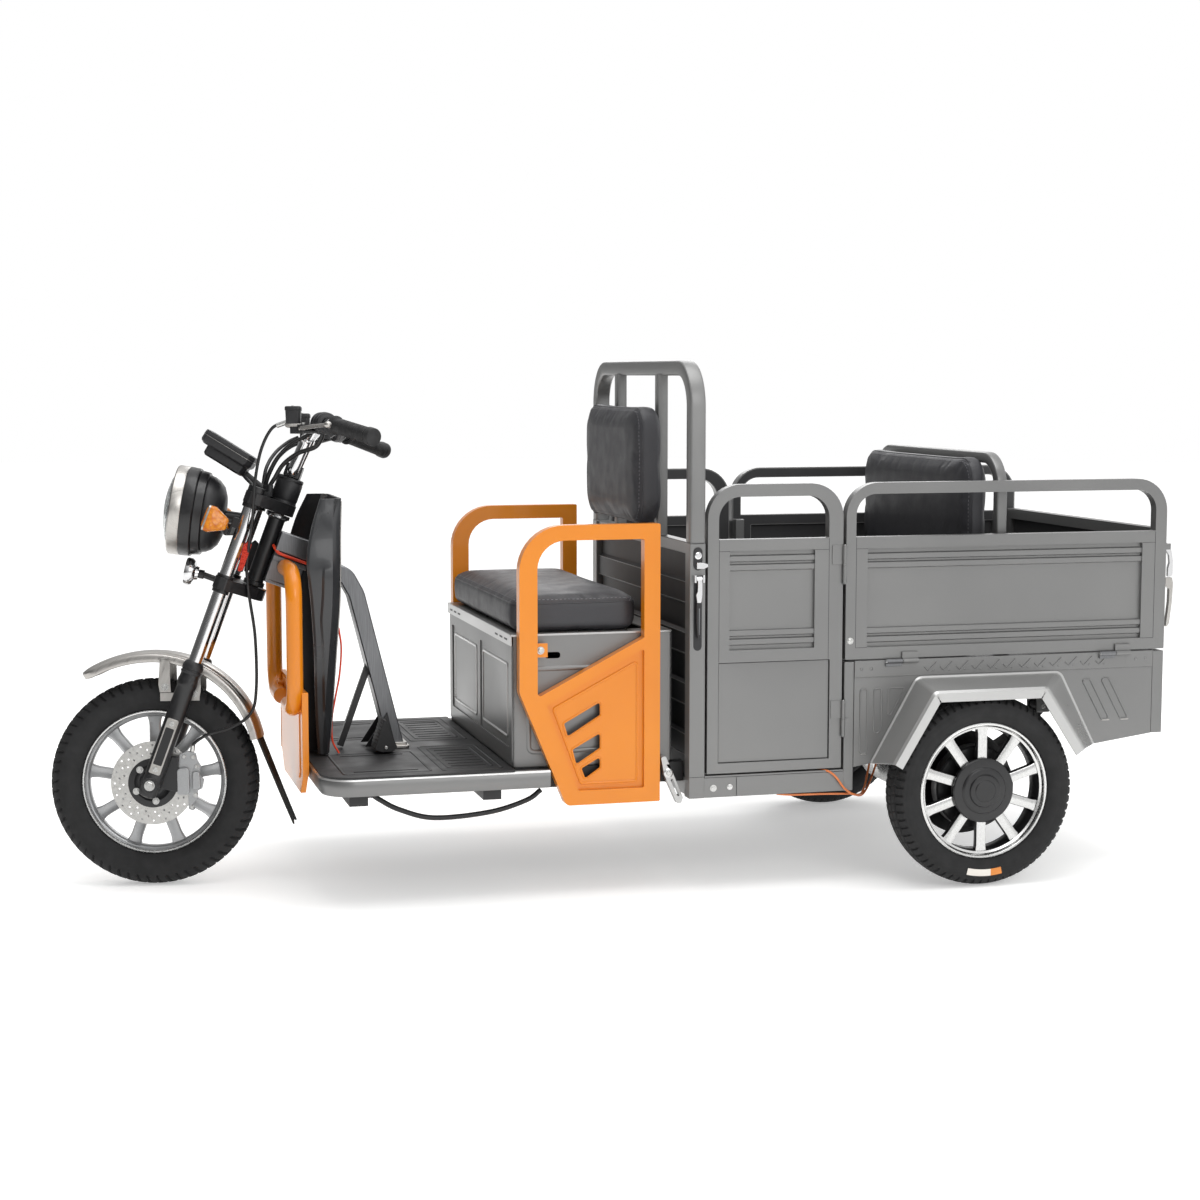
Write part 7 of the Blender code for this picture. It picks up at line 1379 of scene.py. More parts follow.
def pad(name, size, corner, crown, matrix, body, node, cap=0.007):
    """A vinyl pad: its shape remeshed, blown up by cloth pressure with each point's travel capped, and smoothed."""
    long, wide, deep = size
    made = put(name, [pad_shape(long, wide, deep, corner, crown, 0.0035)], vinyl, body, HOME @ matrix,
        soft=180, node=node)
    remesh = made.modifiers.new("fine_mesh", "REMESH")
    remesh.mode = "VOXEL"
    remesh.voxel_size = 0.006
    made.data = bpy.data.meshes.new_from_object(made.evaluated_get(bpy.context.evaluated_depsgraph_get()))
    made.modifiers.clear()
    still = np.empty(len(made.data.vertices) * 3)
    made.data.vertices.foreach_get("co", still)
    cloth = made.modifiers.new("swell", "CLOTH")
    cloth.settings.use_pressure = True
    cloth.settings.uniform_pressure_force = 4.0
    cloth.settings.effector_weights.gravity = 0.0
    cloth.settings.quality = 4
    cloth.point_cache.frame_end = 20
    for step in range(1, 21):
        bpy.context.scene.frame_set(step)
    swollen = np.empty_like(still)
    result = made.evaluated_get(bpy.context.evaluated_depsgraph_get())
    result.data.vertices.foreach_get("co", swollen)
    made.modifiers.clear()
    bpy.context.scene.frame_set(1)
    travel = (swollen - still).reshape(-1, 3)
    reach = np.linalg.norm(travel, axis=1, keepdims=True)
    still = (still.reshape(-1, 3) + travel * np.minimum(1, cap / np.maximum(reach, 1e-9)))
    local = place_rows(still, (HOME @ matrix).inverted())
    local = np.clip(local, (-long / 2, -wide / 2, 0.0004), (long / 2, wide / 2, deep))
    made.data.vertices.foreach_set("co", place_rows(local, HOME @ matrix).ravel())
    made.data.shade_smooth()
    soften = made.modifiers.new("soften", "SUBSURF")
    soften.levels = soften.render_levels = 1
    return made


def apart(line):
    """A line without the points that repeat the one before, which the nearest-point drop can make at a corner."""
    return line[np.append(True, np.linalg.norm(np.diff(line, axis=0), axis=1) > 0.0002)]


def seams(made, name, size, corner, crown, matrix, body):
    """The piped seam round the face's edge, and a row of stitches inside it, dropped on the pad's own surface."""
    long, wide, deep = size
    edge = plan([(-long / 2, -wide / 2), (long / 2, -wide / 2), (long / 2, wide / 2), (-long / 2, wide / 2)],
        corner, 10)
    surface = BVHTree.FromObject(made, bpy.context.evaluated_depsgraph_get())
    place = HOME @ matrix
    loops = []
    for by, height, count in ((0.004, (deep - crown) * 0.94, 160),
            (0.0155, deep - crown + 0.004, 6 * int(2 * (long + wide) / 0.0085))):
        sewn = inset(edge, by)
        flat = smooth(np.concatenate([sewn, np.full((len(sewn), 1), height)], 1), count, closed=True)
        loops.append(apart(np.array([place.inverted() @ surface.find_nearest(place @ Vector(p))[0] for p in flat])
            + (0, 0, 0.0003)))
    loop = loops[1]
    put(name + "_piping", [tubed(apart(np.concatenate([loops[0], loops[0][:1]])), 0.0014, 8)], vinyl, body,
        place, soft=60)
    stitches = []
    for k in range(0, len(loop) - 4, 6):
        stitches.append(tubed(loop[k:k + 4], 0.00055, 4))
    put(name + "_stitches", stitches, thread, body, HOME @ matrix, soft=60)


STAND = Matrix(((0, 0, -1, 0), (0, 1, 0, 0), (1, 0, 0, 0), (0, 0, 0, 1)))
PADS = [("driver_seat_pad", (0.301, 0.69, 0.0912), 0.045, 0.02, moved(0.8835, 0, 0.5768), "seat_lid", "seat_cushion"),
    ("driver_back_pad", (0.279, 0.48, 0.068), 0.06, 0.014, moved(1.1132, 0, 0.9315) @ STAND,
    "chassis", "back_cushion"), ("bench_pad", (0.342, 0.65, 0.0749), 0.04, 0.018, moved(1.671, 0, 0.5001),
    "chassis", "bench_cushion"), ("passenger_back_pad", (0.271, 0.657, 0.062), 0.06, 0.014,
    moved(1.8652, 0, 0.8175) @ STAND, "passenger_backrest", "passenger_cushion"),]
for name, size, corner, crown, matrix, body, node in PADS:
    made = pad(name, size, corner, crown, matrix, body, node)
    seams(made, name, size, corner, crown, matrix, body)


# Roll bow: one square tube bent over behind the driver on the two front posts, with two
# uprights welded inside it that carry the backrest.

def rounded(width, height, corner, steps=3):
    """A section for carrying: a rectangle about its middle with rounded corners."""
    return corners((-width / 2, width / 2), (-height / 2, height / 2), corner, steps)


bow_line = bent([(1.138, -0.3915, 0.7717), (1.138, -0.3915, 1.1485), (1.138, 0.3915, 1.1485),
    (1.138, 0.3915, 0.7717)], [0, 0.085, 0.085, 0], 14)
bow = [carried(bow_line, rounded(0.036, 0.033, 0.0055), (1, 0, 0))]
for side in (-1, 1):
    bow.append(carried([(1.126, side * 0.17, 0.772), (1.126, side * 0.17, 1.135)],
        rounded(0.025, 0.025, 0.004), (1, 0, 0)))
put("roll_bow_tube", bow, box_paint, "chassis", soft=45, node="roll_bow")


# Cargo frame: posts, base rails, deck beams and cross members of square steel tube, with a
# ribbed bulkhead behind the driver and the fixed halves of the hinges.

SHEET_Y = 0.4076


def weld_line(side, x, z):
    """A dark line where two sheets meet: a strip from x to x and from z to z, 0.7 mm proud of the side's sheet."""
    return block(x, (side * SHEET_Y, side * 0.4083), z)


bars, lines = [], []
for side in (-1, 1):
    outer = sorted((side * 0.373, side * 0.408))
    bars += [block((1.12, 1.156), outer, (0.209, 0.7714)),
        block((1.154, 1.4825), (side * 0.3734, side * SHEET_Y), (0.2094, 0.2538)),
        block((1.4805, 1.504), outer, (0.209, 0.4996)), block((2.241, 2.269), outer, (0.308, 0.4996)),
        block((1.4805, 1.504), (side * 0.35, side * 0.3795), (0.452, 0.768)),
        block((1.4845, 2.267), (side * 0.306, side * 0.3562), (0.422, 0.4955))]
    for x in (1.555, 1.993):
        for low, high in ((0.3035, 0.3077), (0.3523, 0.3564)):
            bars.append(slab([(x - 0.016, 0.358), (x + 0.016, 0.358), (x + 0.02, 0.432), (x - 0.02, 0.432)],
                -side * low, -side * high, WALL))
for x, low, high in ((1.138, 0.21, 0.248), (1.4865, 0.21, 0.248), (1.138, 0.7447, 0.7711)):
    bars.append(block((x - 0.013, x + 0.013), (-0.378, 0.378), (low, high)))
for x, half in ((1.4945, 0.36), (1.85, 0.36), (2.254, 0.377)):
    bars.append(block((x - 0.012, x + 0.012), (-half, half), (0.456, 0.4958)))
bars.append(block((2.243, 2.267), (-0.377, 0.377), (0.372, 0.412)))
put("cargo_frame_tubes", bars, box_paint, "chassis", bevel=0.0026, node="cargo_frame")


def ribs_up(low, high, spans, slope, rise, back):
    """A ribbed sheet's section: its back line, then its front line stepping out over each rib between sloped sides."""
    line = [(back, low), (back, high), (0.0, high)]
    for a, b in sorted(spans, reverse=True):
        line += [(0.0, b + slope), (rise, b), (rise, a), (0.0, a - slope)]
    return np.array(line + [(0.0, low)])


CROSSWAYS = Matrix(((1, 0, 0, 0), (0, 0, 1, 0), (0, 1, 0, 0), (0, 0, 0, 1)))
dark_wall = ribs_up(0.244, 0.762, [(0.3 + 0.1125 * k, 0.345 + 0.1125 * k) for k in range(4)], 0.006, -0.0078, 0.003)
spans = dark_wall + (1.134, 0)
put("bulkhead_sheet", [slab(spans, -0.3735, 0.3735, CROSSWAYS)], chassis_paint, "chassis", soft=30, bevel=0.0012)
# Thin grey rods along the edges of the dark sheet's ribs: painted highlights
rib_highlight_rods = []
for k in range(4):
    for z in (0.3 + 0.1125 * k, 0.345 + 0.1125 * k):
        rib_highlight_rods.append(rod((1.1262, -0.372, z), (1.1262, 0.372, z), 0.0011, 6))
put("bulkhead_rib_highlights", rib_highlight_rods, box_paint, "chassis", soft=60)
pins, knuckles, fixings, brass = [], [], [], []
for side in (-1, 1):
    y = side * 0.4134
    for low, high in ((0.333, 0.414), (0.674, 0.76)):
        middle = (low + high) / 2
        pins.append(rod((1.4765, y, middle - 0.004), (1.4765, y, high + 0.0015), 0.0022, 16))
        knuckles.append(rod((1.4765, y, low), (1.4765, y, middle), 0.0045, 24))
        knuckles.append(rod((1.4765, y, low + 0.004), (1.4765, y, low + 0.006), 0.0049, 24))
        if low < 0.5:
            knuckles.append(block((1.4765, 1.4925), (side * 0.4078, side * 0.411), (low, middle)))
        else:
            knuckles.append(block((1.4753, 1.4777), (side * 0.362, side * 0.4134), (low, middle)))
    fixings += fastener(0.0052, 0.0022, moved(1.176, side * 0.408, 0.2305) @ sideways(side), 24, 1.5)
    brass += fastener(0.005, 0.0022, moved(1.214, side * 0.408, 0.2315) @ sideways(side), 24, 1.3)
    lines.append(weld_line(side, (1.229, 1.2302), (0.211, 0.2525)))
    for z in (0.769, 0.256):
        lines.append(weld_line(side, (1.1205, 1.1555), (z, z + 0.001)))
put("hinge_pins", pins, zinc, "chassis")
put("hinge_knuckles_fixed", knuckles, box_paint, "chassis", bevel=0.0005)
put("base_rail_bolts", fixings, zinc, "chassis")
put("base_rail_studs", brass, two_tone, "chassis")
put("frame_weld_lines", lines, black_plastic, "chassis")


# Locks on the front posts: a keyed plate with a chromed tongue, and below it a hanging pull
# with a chromed hook and a moulded black body, lying over a black recess plate.

def oval(x, z, wide, tall, steps=10):
    """An upright oval plate's outline: two half circles joined by straight sides."""
    a = np.linspace(0, math.pi, steps)
    r, h = wide / 2, tall / 2 - wide / 2
    top = np.stack([x + r * np.cos(a), z + h + r * np.sin(a)], 1)
    return np.concatenate([top, (2 * x, 2 * z) - top])


plates, locks, tongues = [], [], []
for label, side in SIDES:
    plates.append(slab(oval(1.138, 0.737, 0.02, 0.05), -side * 0.4078, -side * 0.41, WALL))
    plates.append(slab(oval(1.138, 0.618, 0.019, 0.164), -side * 0.4078, -side * 0.4087, WALL))
    locks.append(turned([(0, 0), (0.0075, 0), (0.008, 0.0006), (0.008, 0.0028), (0.0068, 0.0036), (0.0045, 0.0036),
        (0.0042, 0.003), (0, 0.003)], moved(1.138, side * 0.4084, 0.744) @ sideways(side), 28))
    tongues.append(slab([(1.134, 0.7155), (1.15, 0.7155), (1.1596, 0.7195), (1.159, 0.7255), (1.148, 0.729),
        (1.134, 0.729)], -side * 0.41, -side * 0.4148, WALL))
    for x in (1.1285, 1.1475):
        tongues.append(block((x - 0.002, x + 0.002), (side * 0.407, side * 0.4238), (0.686, 0.702)))
    tongues.append(rod((1.127, side * 0.4175, 0.694), (1.149, side * 0.4175, 0.694), 0.0025, 16))
    hook = [(1.1345, 0.699), (1.1448, 0.696), (1.1448, 0.66), (1.1425, 0.642), (1.1335, 0.642), (1.1312, 0.66),
        (1.1345, 0.668)]
    latch = [slab(plan(hook, 0.002, 3), -side * 0.4145, -side * 0.4205, WALL),
        rod((1.1312, side * 0.4175, 0.694), (1.1448, side * 0.4175, 0.694), 0.0054, 24)]
    put("door_latch_hook_" + label, latch, chrome, "door_latch_" + label, bevel=0.0012, node="door_latch_" + label)
    body = [(1.1318, 0.644), (1.1442, 0.644), (1.144, 0.6), (1.1415, 0.566), (1.138, 0.56), (1.1345, 0.566),
        (1.132, 0.6)]
    put("door_latch_body_" + label, [slab(plan(body, 0.003, 3), -side * 0.4145, -side * 0.42, WALL)], black_plastic,
        "door_latch_" + label, bevel=0.0016)
    # A thin grey strip down the black body: a painted highlight along its edge
    blade = [(1.1368, 0.63), (1.1392, 0.63), (1.1386, 0.572), (1.1374, 0.572)]
    put("door_latch_line_" + label, [slab(blade, -side * 0.4198, -side * 0.4203, WALL)], graphite,
        "door_latch_" + label)
put("lock_plates", plates, black_plastic, "chassis", bevel=0.0006)
put("lock_barrels", locks, chrome, "chassis")
put("lock_tongues", tongues, chrome, "chassis", bevel=0.0007)


# Doors: rounded square-tube frames with an open top, a ribbed upper sheet and a crowned lower
# sheet. Each lifts off its two pin hinges; the inside faces are a darker grey-black, and a dark sheet behind the panels
# gives painted shade in the gap round the lower sheet.

# Dark grey-black coat: it covers the inner faces of the doors, drop sides and tailgate, which are darker than the outer
# faces, and the sheets behind the side panels, where it is painted shade in the gap round the lower door sheet
dark_inner_and_gap_paint, tree, shader = finish("dark_inner_faces_and_painted_gap_shade", "39393A", Metallic=0.3, Roughness=0.48)
pattern(tree, shader, 9.0, 4.0, tint=("323233", "424243"))


def panel_ribs(low, high, tall=0.011, pitch=0.0195, edge=0.012):
    """The four ribs of a side panel: two below its top and two above its bottom."""
    return ([(low + edge + pitch * k, low + edge + pitch * k + tall) for k in (0, 1)]
        + [(high - edge - pitch * k - tall, high - edge - pitch * k) for k in (0, 1)])


def side_sheet(side, x, z, face=0.3995, rise=0.0058):
    """A ribbed side sheet from one x to the other, its section standing outward on its side."""
    section = ribs_up(z[0] - 0.006, z[1] + 0.006, panel_ribs(*z), 0.0022, rise,
        -0.0022) * (side, 1) + (side * face, 0)
    return slab(section, x[0] - 0.006, x[1] + 0.006, FRONTAL)


def crowned_sheet(side, x, z, face, rise, count=24):
    """A pressed sheet swelling outward: face + rise (1 - u^4)(1 - v^4) over its width and height, its rim folded
    back."""
    u, v = np.meshgrid(np.linspace(-1, 1, count), np.linspace(-1, 1, count))
    y = face + rise * (1 - u ** 4) * (1 - v ** 4)
    grid = np.stack([(x[0] + x[1]) / 2 + u * (x[1] - x[0]) / 2, side * y, (z[0] + z[1]) / 2 + v * (z[1] - z[0]) / 2],
        -1)
    back = grid.copy()
    back[..., 1] = side * (face - 0.0015)
    front_points, faces = lattice(grid)
    edge = np.concatenate([np.arange(count), np.arange(1, count) * count + count - 1,
        np.arange(count - 2, -1, -1) + count * (count - 1), np.arange(count - 2, 0, -1) * count])
    rim = np.concatenate([grid.reshape(-1, 3)[edge], back.reshape(-1, 3)[edge]])
    n = len(edge)
    k = np.arange(n)
    walls = np.stack([edge, np.roll(edge, -1), count * count + (k + 1) % n, count * count + k], 1)
    return np.concatenate([front_points, rim[n:]]), [list(f)
        for f in faces] + walls.tolist() + [(count * count + k)[::-1].tolist()]


for label, side in SIDES:
    body = "door_" + label
    outline = plan([(1.161, 0.2625), (1.4745, 0.2625), (1.4745, 0.897), (1.161, 0.897)],
        [0.002, 0.002, 0.075, 0.075], 12)
    window = plan([(1.186, 0.777), (1.4415, 0.777), (1.4415, 0.87), (1.186, 0.87)], [0.002, 0.002, 0.049, 0.049], 10)
    upper = corners((1.211, 1.4085), (0.534, 0.752), 0.0012, 2)
    lower = corners((1.186, 1.4455), (0.2845, 0.507), 0.0012, 2)
    put(body + "_frame", [pierced(outline, [window, upper, lower], -side * 0.3832, -side * 0.408, WALL)], box_paint,
        body, bevel=0.0036, node="door_" + label)
    put(body + "_inner_face",
        [pierced(inset(outline, 0.003), [inset(window, -0.002), inset(upper, -0.002), inset(lower, -0.002)],
        -side * 0.3829, -side * 0.3834, WALL)], dark_inner_and_gap_paint, body)
    put(body + "_ribbed_sheet", [side_sheet(side, (1.211, 1.4085), (0.534, 0.752))], box_paint, body, soft=25,
        bevel=0.0006)
    put(body + "_lower_sheet", [crowned_sheet(side, (1.188, 1.4435), (0.2865, 0.505), 0.404, 0.0022)], box_paint,
        body, soft=30)
    # Dark sheets behind the two panels: they are the panels' inner side, and painted shade in the gap round the lower
    # sheet
    back = [block((1.205, 1.4145), (side * 0.395, side * 0.397), (0.528, 0.758)),
        block((1.178, 1.4535), (side * 0.3985, side * 0.4008), (0.2765, 0.515))]
    put(body + "_backing", back, dark_inner_and_gap_paint, body)
    seams_here = [weld_line(side, (1.1865, 1.211), (0.751, 0.7518)),
        weld_line(side, (1.4085, 1.441), (0.751, 0.7518)), weld_line(side, (1.1865, 1.1873), (0.509, 0.776)),
        weld_line(side, (1.4412, 1.442), (0.509, 0.776))]
    put(body + "_weld_lines", seams_here, black_plastic, body)
    leaves = []
    for low, high in ((0.333, 0.414), (0.674, 0.76)):
        middle = (low + high) / 2 + 0.0006
        leaves.append(turned([(0.0029, 0), (0.0045, 0), (0.0045, high - middle), (0.0029, high - middle)],
            moved(1.4765, side * 0.4134, middle), 24))
        leaves.append(block((1.4485, 1.4735), (side * 0.4078, side * 0.4101), (middle, high)))
    put(body + "_knuckles", leaves, box_paint, body, bevel=0.0005)


# Drop sides and tailgate: long frames of the same tube and ribbed sheet on barrel hinges.
# A hooked catch at each rear corner hangs over the tailgate.

HINGE_Y, HINGE_Z, GATE_X = 0.4157, 0.4985, 2.2767
for label, side in SIDES:
    body = "drop_side_" + label
    outline = plan([(1.482, 0.5045), (2.269, 0.5045), (2.269, 0.897), (1.482, 0.897)],
        [0.002, 0.002, 0.075, 0.075], 12)
    window = plan([(1.505, 0.777), (2.241, 0.777), (2.241, 0.872), (1.505, 0.872)], [0.002, 0.002, 0.047, 0.047], 10)
    panel = corners((1.533, 2.208), (0.5305, 0.751), 0.0012, 2)
    put(body + "_frame", [pierced(outline, [window, panel], -side * 0.3832, -side * 0.408, WALL)], box_paint, body,
        bevel=0.0036, node="drop_side_" + label)
    put(body + "_inner_face",
        [pierced(inset(outline, 0.003), [inset(window, -0.002), inset(panel, -0.002)], -side * 0.3829,
        -side * 0.3834, WALL)], dark_inner_and_gap_paint, body)
    put(body + "_ribbed_sheet", [side_sheet(side, (1.533, 2.208), (0.5305, 0.751))], box_paint, body, soft=25,
        bevel=0.0006)
    put(body + "_backing", [block((1.527, 2.214), (side * 0.395, side * 0.397), (0.5245, 0.757))], dark_inner_and_gap_paint, body)
    marks = []
    for x in (1.5055, 2.2402):
        marks.append(weld_line(side, (x, x + 0.0008), (0.53, 0.776)))
    for x in ((1.506, 1.533), (2.208, 2.24)):
        for z in (0.53, 0.7505):
            marks.append(weld_line(side, x, (z, z + 0.0008)))
    put(body + "_weld_lines", marks, black_plastic, body)
    put(body + "_bolt", fastener(0.0058, 0.003, moved(1.4935, side * 0.408, 0.546) @ sideways(side), 24, 1.3),
        zinc, body)
    knuckle_parts = []
    for low, high in ((1.577, 1.654), (2.103, 2.18)):
        a = (low + high) / 2 + 0.0006
        knuckle_parts.append(turned([(0.0036, 0), (0.0055, 0), (0.0055, high - a), (0.0036, high - a)],
            moved(a, side * HINGE_Y, HINGE_Z) @ Matrix.Rotation(math.pi / 2, 4, "Y"), 24))
        knuckle_parts.append(block((a, high), (side * SHEET_Y, side * 0.4135), (0.5016, 0.5185)))
    for low, high in ((0.385, 0.389), (0.402, 0.406)):
        knuckle_parts.append(block((2.267, 2.282), (side * low, side * high), (0.733, 0.747)))
    knuckle_parts.append(rod((2.276, side * 0.387, 0.74), (2.276, side * 0.404, 0.74), 0.0022, 14))
    put(body + "_hinge_halves", knuckle_parts, box_paint, body, bevel=0.0006)
    catch = "tail_latch_" + label
    hook = bent([(2.2735, 0, 0.746), (2.288, 0, 0.73), (2.2925, 0, 0.706), (2.2925, 0, 0.672), (2.28, 0, 0.668),
        (2.28, 0, 0.69), (2.2835, 0, 0.702), (2.2815, 0, 0.72), (2.2722, 0, 0.733)], 0.003, 4, True)[:, [0, 2]]
    put(catch + "_hook", [slab(hook, -side * 0.3915, -side * 0.3995, WALL),
        rod((2.276, side * 0.3895, 0.74), (2.276, side * 0.4015, 0.74), 0.0052, 24)], chrome, catch,
        bevel=0.0012, node=catch)
    handle = [(2.273, 0.668), (2.2905, 0.668), (2.2935, 0.654), (2.2915, 0.61), (2.286, 0.562), (2.2795, 0.552),
        (2.2765, 0.556), (2.283, 0.612), (2.2835, 0.642), (2.273, 0.65)]
    put(catch + "_handle", [slab(plan(handle, 0.002, 3), -side * 0.39, -side * 0.401, WALL)], satin_alloy, catch,
        bevel=0.0014)

low, top = 0.5045, 0.783
gate = pierced(corners((-0.3824, 0.3824), (low, top), 0.002, 2),
    [corners((-0.3564, 0.3564), (low + 0.026, top - 0.026), 0.0012, 2)], 2.2452, 2.269, FRONTAL)
put("tailgate_frame", [gate], box_paint, "tailgate", bevel=0.0034, node="tailgate")
rib_face = ribs_up(low + 0.02, top - 0.02, panel_ribs(low + 0.026, top - 0.026), 0.0022, 0.0058,
    -0.0022) + (2.2595, 0)
put("tailgate_sheet", [slab(rib_face, -0.362, 0.362, CROSSWAYS)], box_paint, "tailgate", soft=25, bevel=0.0006)
put("tailgate_inner_face", [block((2.2555, 2.2572), (-0.362, 0.362), (low + 0.02, top - 0.02))], dark_inner_and_gap_paint, "tailgate")
gate_halves, gate_fixed = [], []
for side in (-1, 1):
    a = 0.1885 + 0.0006
    gate_halves.append(turned([(0.0036, 0), (0.0055, 0), (0.0055, 0.227 - a), (0.0036, 0.227 - a)],
        moved(GATE_X, side * a, HINGE_Z) @ sideways(side), 24))
    gate_halves.append(block((2.2686, 2.2745), (side * a, side * 0.227), (0.5016, 0.5185)))
    gate_fixed.append(rod((GATE_X, side * 0.15, HINGE_Z), (GATE_X, side * 0.1885, HINGE_Z), 0.0055, 24))
    gate_fixed.append(rod((GATE_X, side * 0.1845, HINGE_Z), (GATE_X, side * 0.228, HINGE_Z), 0.0028, 16))
    gate_fixed.append(block((2.261, 2.2755), (side * 0.15, side * 0.1885), (0.4825, 0.4955)))
put("tailgate_hinge_halves", gate_halves, box_paint, "tailgate", bevel=0.0006)
put("tailgate_hinge_fixed", gate_fixed, box_paint, "chassis", bevel=0.0006)


# Skirts: the fixed side panels below the drop sides, with pressed grooves, and along their
# top a band embossed with a zigzag and round dimples between riveted ends.

body_line = [(1.548, 0.269), (1.655, 0.457), (2.005, 0.457), (2.092, 0.288)]
outer_line = [(1.545, 0.29), (1.64, 0.447), (1.911, 0.447), (2.006, 0.303)]
for label, side in SIDES:
    arch = bent([(*p, 0) for p in body_line], [0, 0.02, 0.02, 0], 6)[:, :2]
    outline = np.concatenate([[(1.5044, HINGE_Z), (1.5044, 0.262)], arch, [(2.2406, 0.308), (2.2406, HINGE_Z)]])
    put("skirt_sheet_" + label, [slab(outline, -side * 0.4032, -side * 0.408, WALL)], box_paint, "chassis",
        bevel=0.001, node="skirt_" + label)
    put("skirt_band_" + label, [block((1.5044, 2.2406), (side * 0.407, side * 0.4095), (0.4635, 0.501))], box_paint,
        "chassis", bevel=0.0009)
    pressed = [corners((1.519, 1.536), (0.292, 0.437), 0.0065, 5)]
    pressed.append(plan([(1.552, 0.318), (1.57, 0.35), (1.57, 0.437), (1.552, 0.437)], 0.0065, 5))
    for x in (2.062, 2.11):
        pressed.append(plan([(x + 0.052, 0.345), (x + 0.072, 0.345), (x + 0.02, 0.44), (x, 0.44)], 0.005, 4))
    put("skirt_grooves_" + label, [bead(line, side, 0.408, 1, 0.0046, 0.0022) for line in pressed], box_paint,
        "chassis", soft=70)
    lines = [bead(plan([(1.586, 0.366), (1.586, 0.437), (1.627, 0.437)], 0.004, 4), side, 0.408, 1, 0.0042, 0.002),
        block((1.506, 2.239), (side * SHEET_Y, side * 0.4088), (0.4605, 0.4622))]
    put("skirt_lines_" + label, lines, box_paint, "chassis", soft=70)
    feet = [block((x, x + 0.02), (side * 0.4078, side * 0.4098), (0.342, 0.3445)) for x in (2.114, 2.162)]
    feet.append(block((1.5215, 1.5335), (side * 0.4078, side * 0.4098), (0.2895, 0.2915)))
    put("skirt_bright_feet_" + label, feet, satin_alloy, "chassis", bevel=0.0006)
    wave, dots = [], []
    wire = [(-0.0008, -0.0015), (0.0017, -0.0008), (0.0017, 0.0008), (-0.0008, 0.0015)]
    for k in range(12):
        x = 1.672 + 0.0385 * k
        path = bent([(x, side * 0.4095, 0.4815), (x + 0.009, side * 0.4095, 0.4735),
            (x + 0.029, side * 0.4095, 0.4925)], 0.001, 2)
        wave.append(carried(path, np.array(wire) * (side, 1), (0, 1, 0)))
        dots.append((x + 0.021, 0.4735, 0.0022))
    for x in (1.5205, 1.544, 2.197, 2.222):
        dots.append((x, 0.4825, 0.004))
    wave.append(block((2.1705, 2.1712), (side * 0.409, side * 0.4097), (0.464, 0.5005)))
    for x, z, r in dots:
        dome = [(0, 0), (r, 0), (r * 0.8, r * 0.28), (r * 0.4, r * 0.42), (0, r * 0.46)]
        wave.append(turned(dome, moved(x, side * 0.4094, z) @ sideways(side), 14))
    put("skirt_embossing_" + label, wave, box_paint, "chassis", soft=60)
    barrels, caps = [], []
    for low, high in ((1.577, 1.654), (2.103, 2.18)):
        middle = (low + high) / 2
        barrels.append(rod((low, side * HINGE_Y, HINGE_Z), (middle, side * HINGE_Y, HINGE_Z), 0.0055, 24))
        barrels.append(block((low, middle), (side * 0.4085, side * 0.4145), (0.4865, 0.498)))
        caps.append(rod((middle - 0.004, side * HINGE_Y, HINGE_Z),
            (high + 0.001, side * HINGE_Y, HINGE_Z), 0.0028, 16))
        caps.append(rod((low - 0.0008, side * HINGE_Y, HINGE_Z), (low + 0.0012, side * HINGE_Y, HINGE_Z), 0.005, 20))
    put("side_hinge_barrels_" + label, barrels, graphite, "chassis", bevel=0.0005)
    put("side_hinge_pins_" + label, caps, chrome, "chassis")

    near, outer_face = 0.4083, 0.5398
    body_bend = bent([(*p, 0) for p in body_line], [0, 0.02, 0.02, 0], 8)[:, :2]
    outer_bend = bent([(*p, 0) for p in outer_line], [0, 0.02, 0.02, 0], 8)[:, :2]
    section = [(near, 0.0046, 0), (near + 0.0022, 0.0046, 0), (near + 0.004, 0.0008, 0.02),
        (outer_face - 0.018, -0.0002, 0.88), (outer_face - 0.006, -0.0012, 0.97), (outer_face, -0.0062, 1),
        (outer_face, -0.0258, 1), (outer_face - 0.003, -0.0258, 1), (outer_face - 0.003, -0.007, 1),
        (outer_face - 0.02, -0.0032, 0.86), (near, -0.0032, 0)]
    cage = []
    for y, offset, share in section:
        line = body_bend * (1 - share) + outer_bend * share
        ahead = np.diff(line, axis=0)
        ahead /= np.linalg.norm(ahead, axis=1, keepdims=True)
        into, out = np.concatenate([ahead[:1], ahead]), np.concatenate([ahead, ahead[-1:]])
        way = into + out
        way /= np.linalg.norm(way, axis=1, keepdims=True)
        moved_line = line + np.stack([-way[:, 1], way[:, 0]], 1) * offset / (way * into).sum(1, keepdims=True)
        cage.append(np.stack([moved_line[:, 0], np.full(len(line), side * y), moved_line[:, 1]], 1))
    put("fender_" + label + "_pressing", [lattice(np.stack(cage, 1), around=True, ends=True)], pale_paint_and_painted_highlight,
        "chassis", soft=28, node="fender_" + label)


# Cargo floor: folded sheet over the beams, with a footwell behind the doors, pressed ribs
# along the deck, and two stands for the passenger backrest.

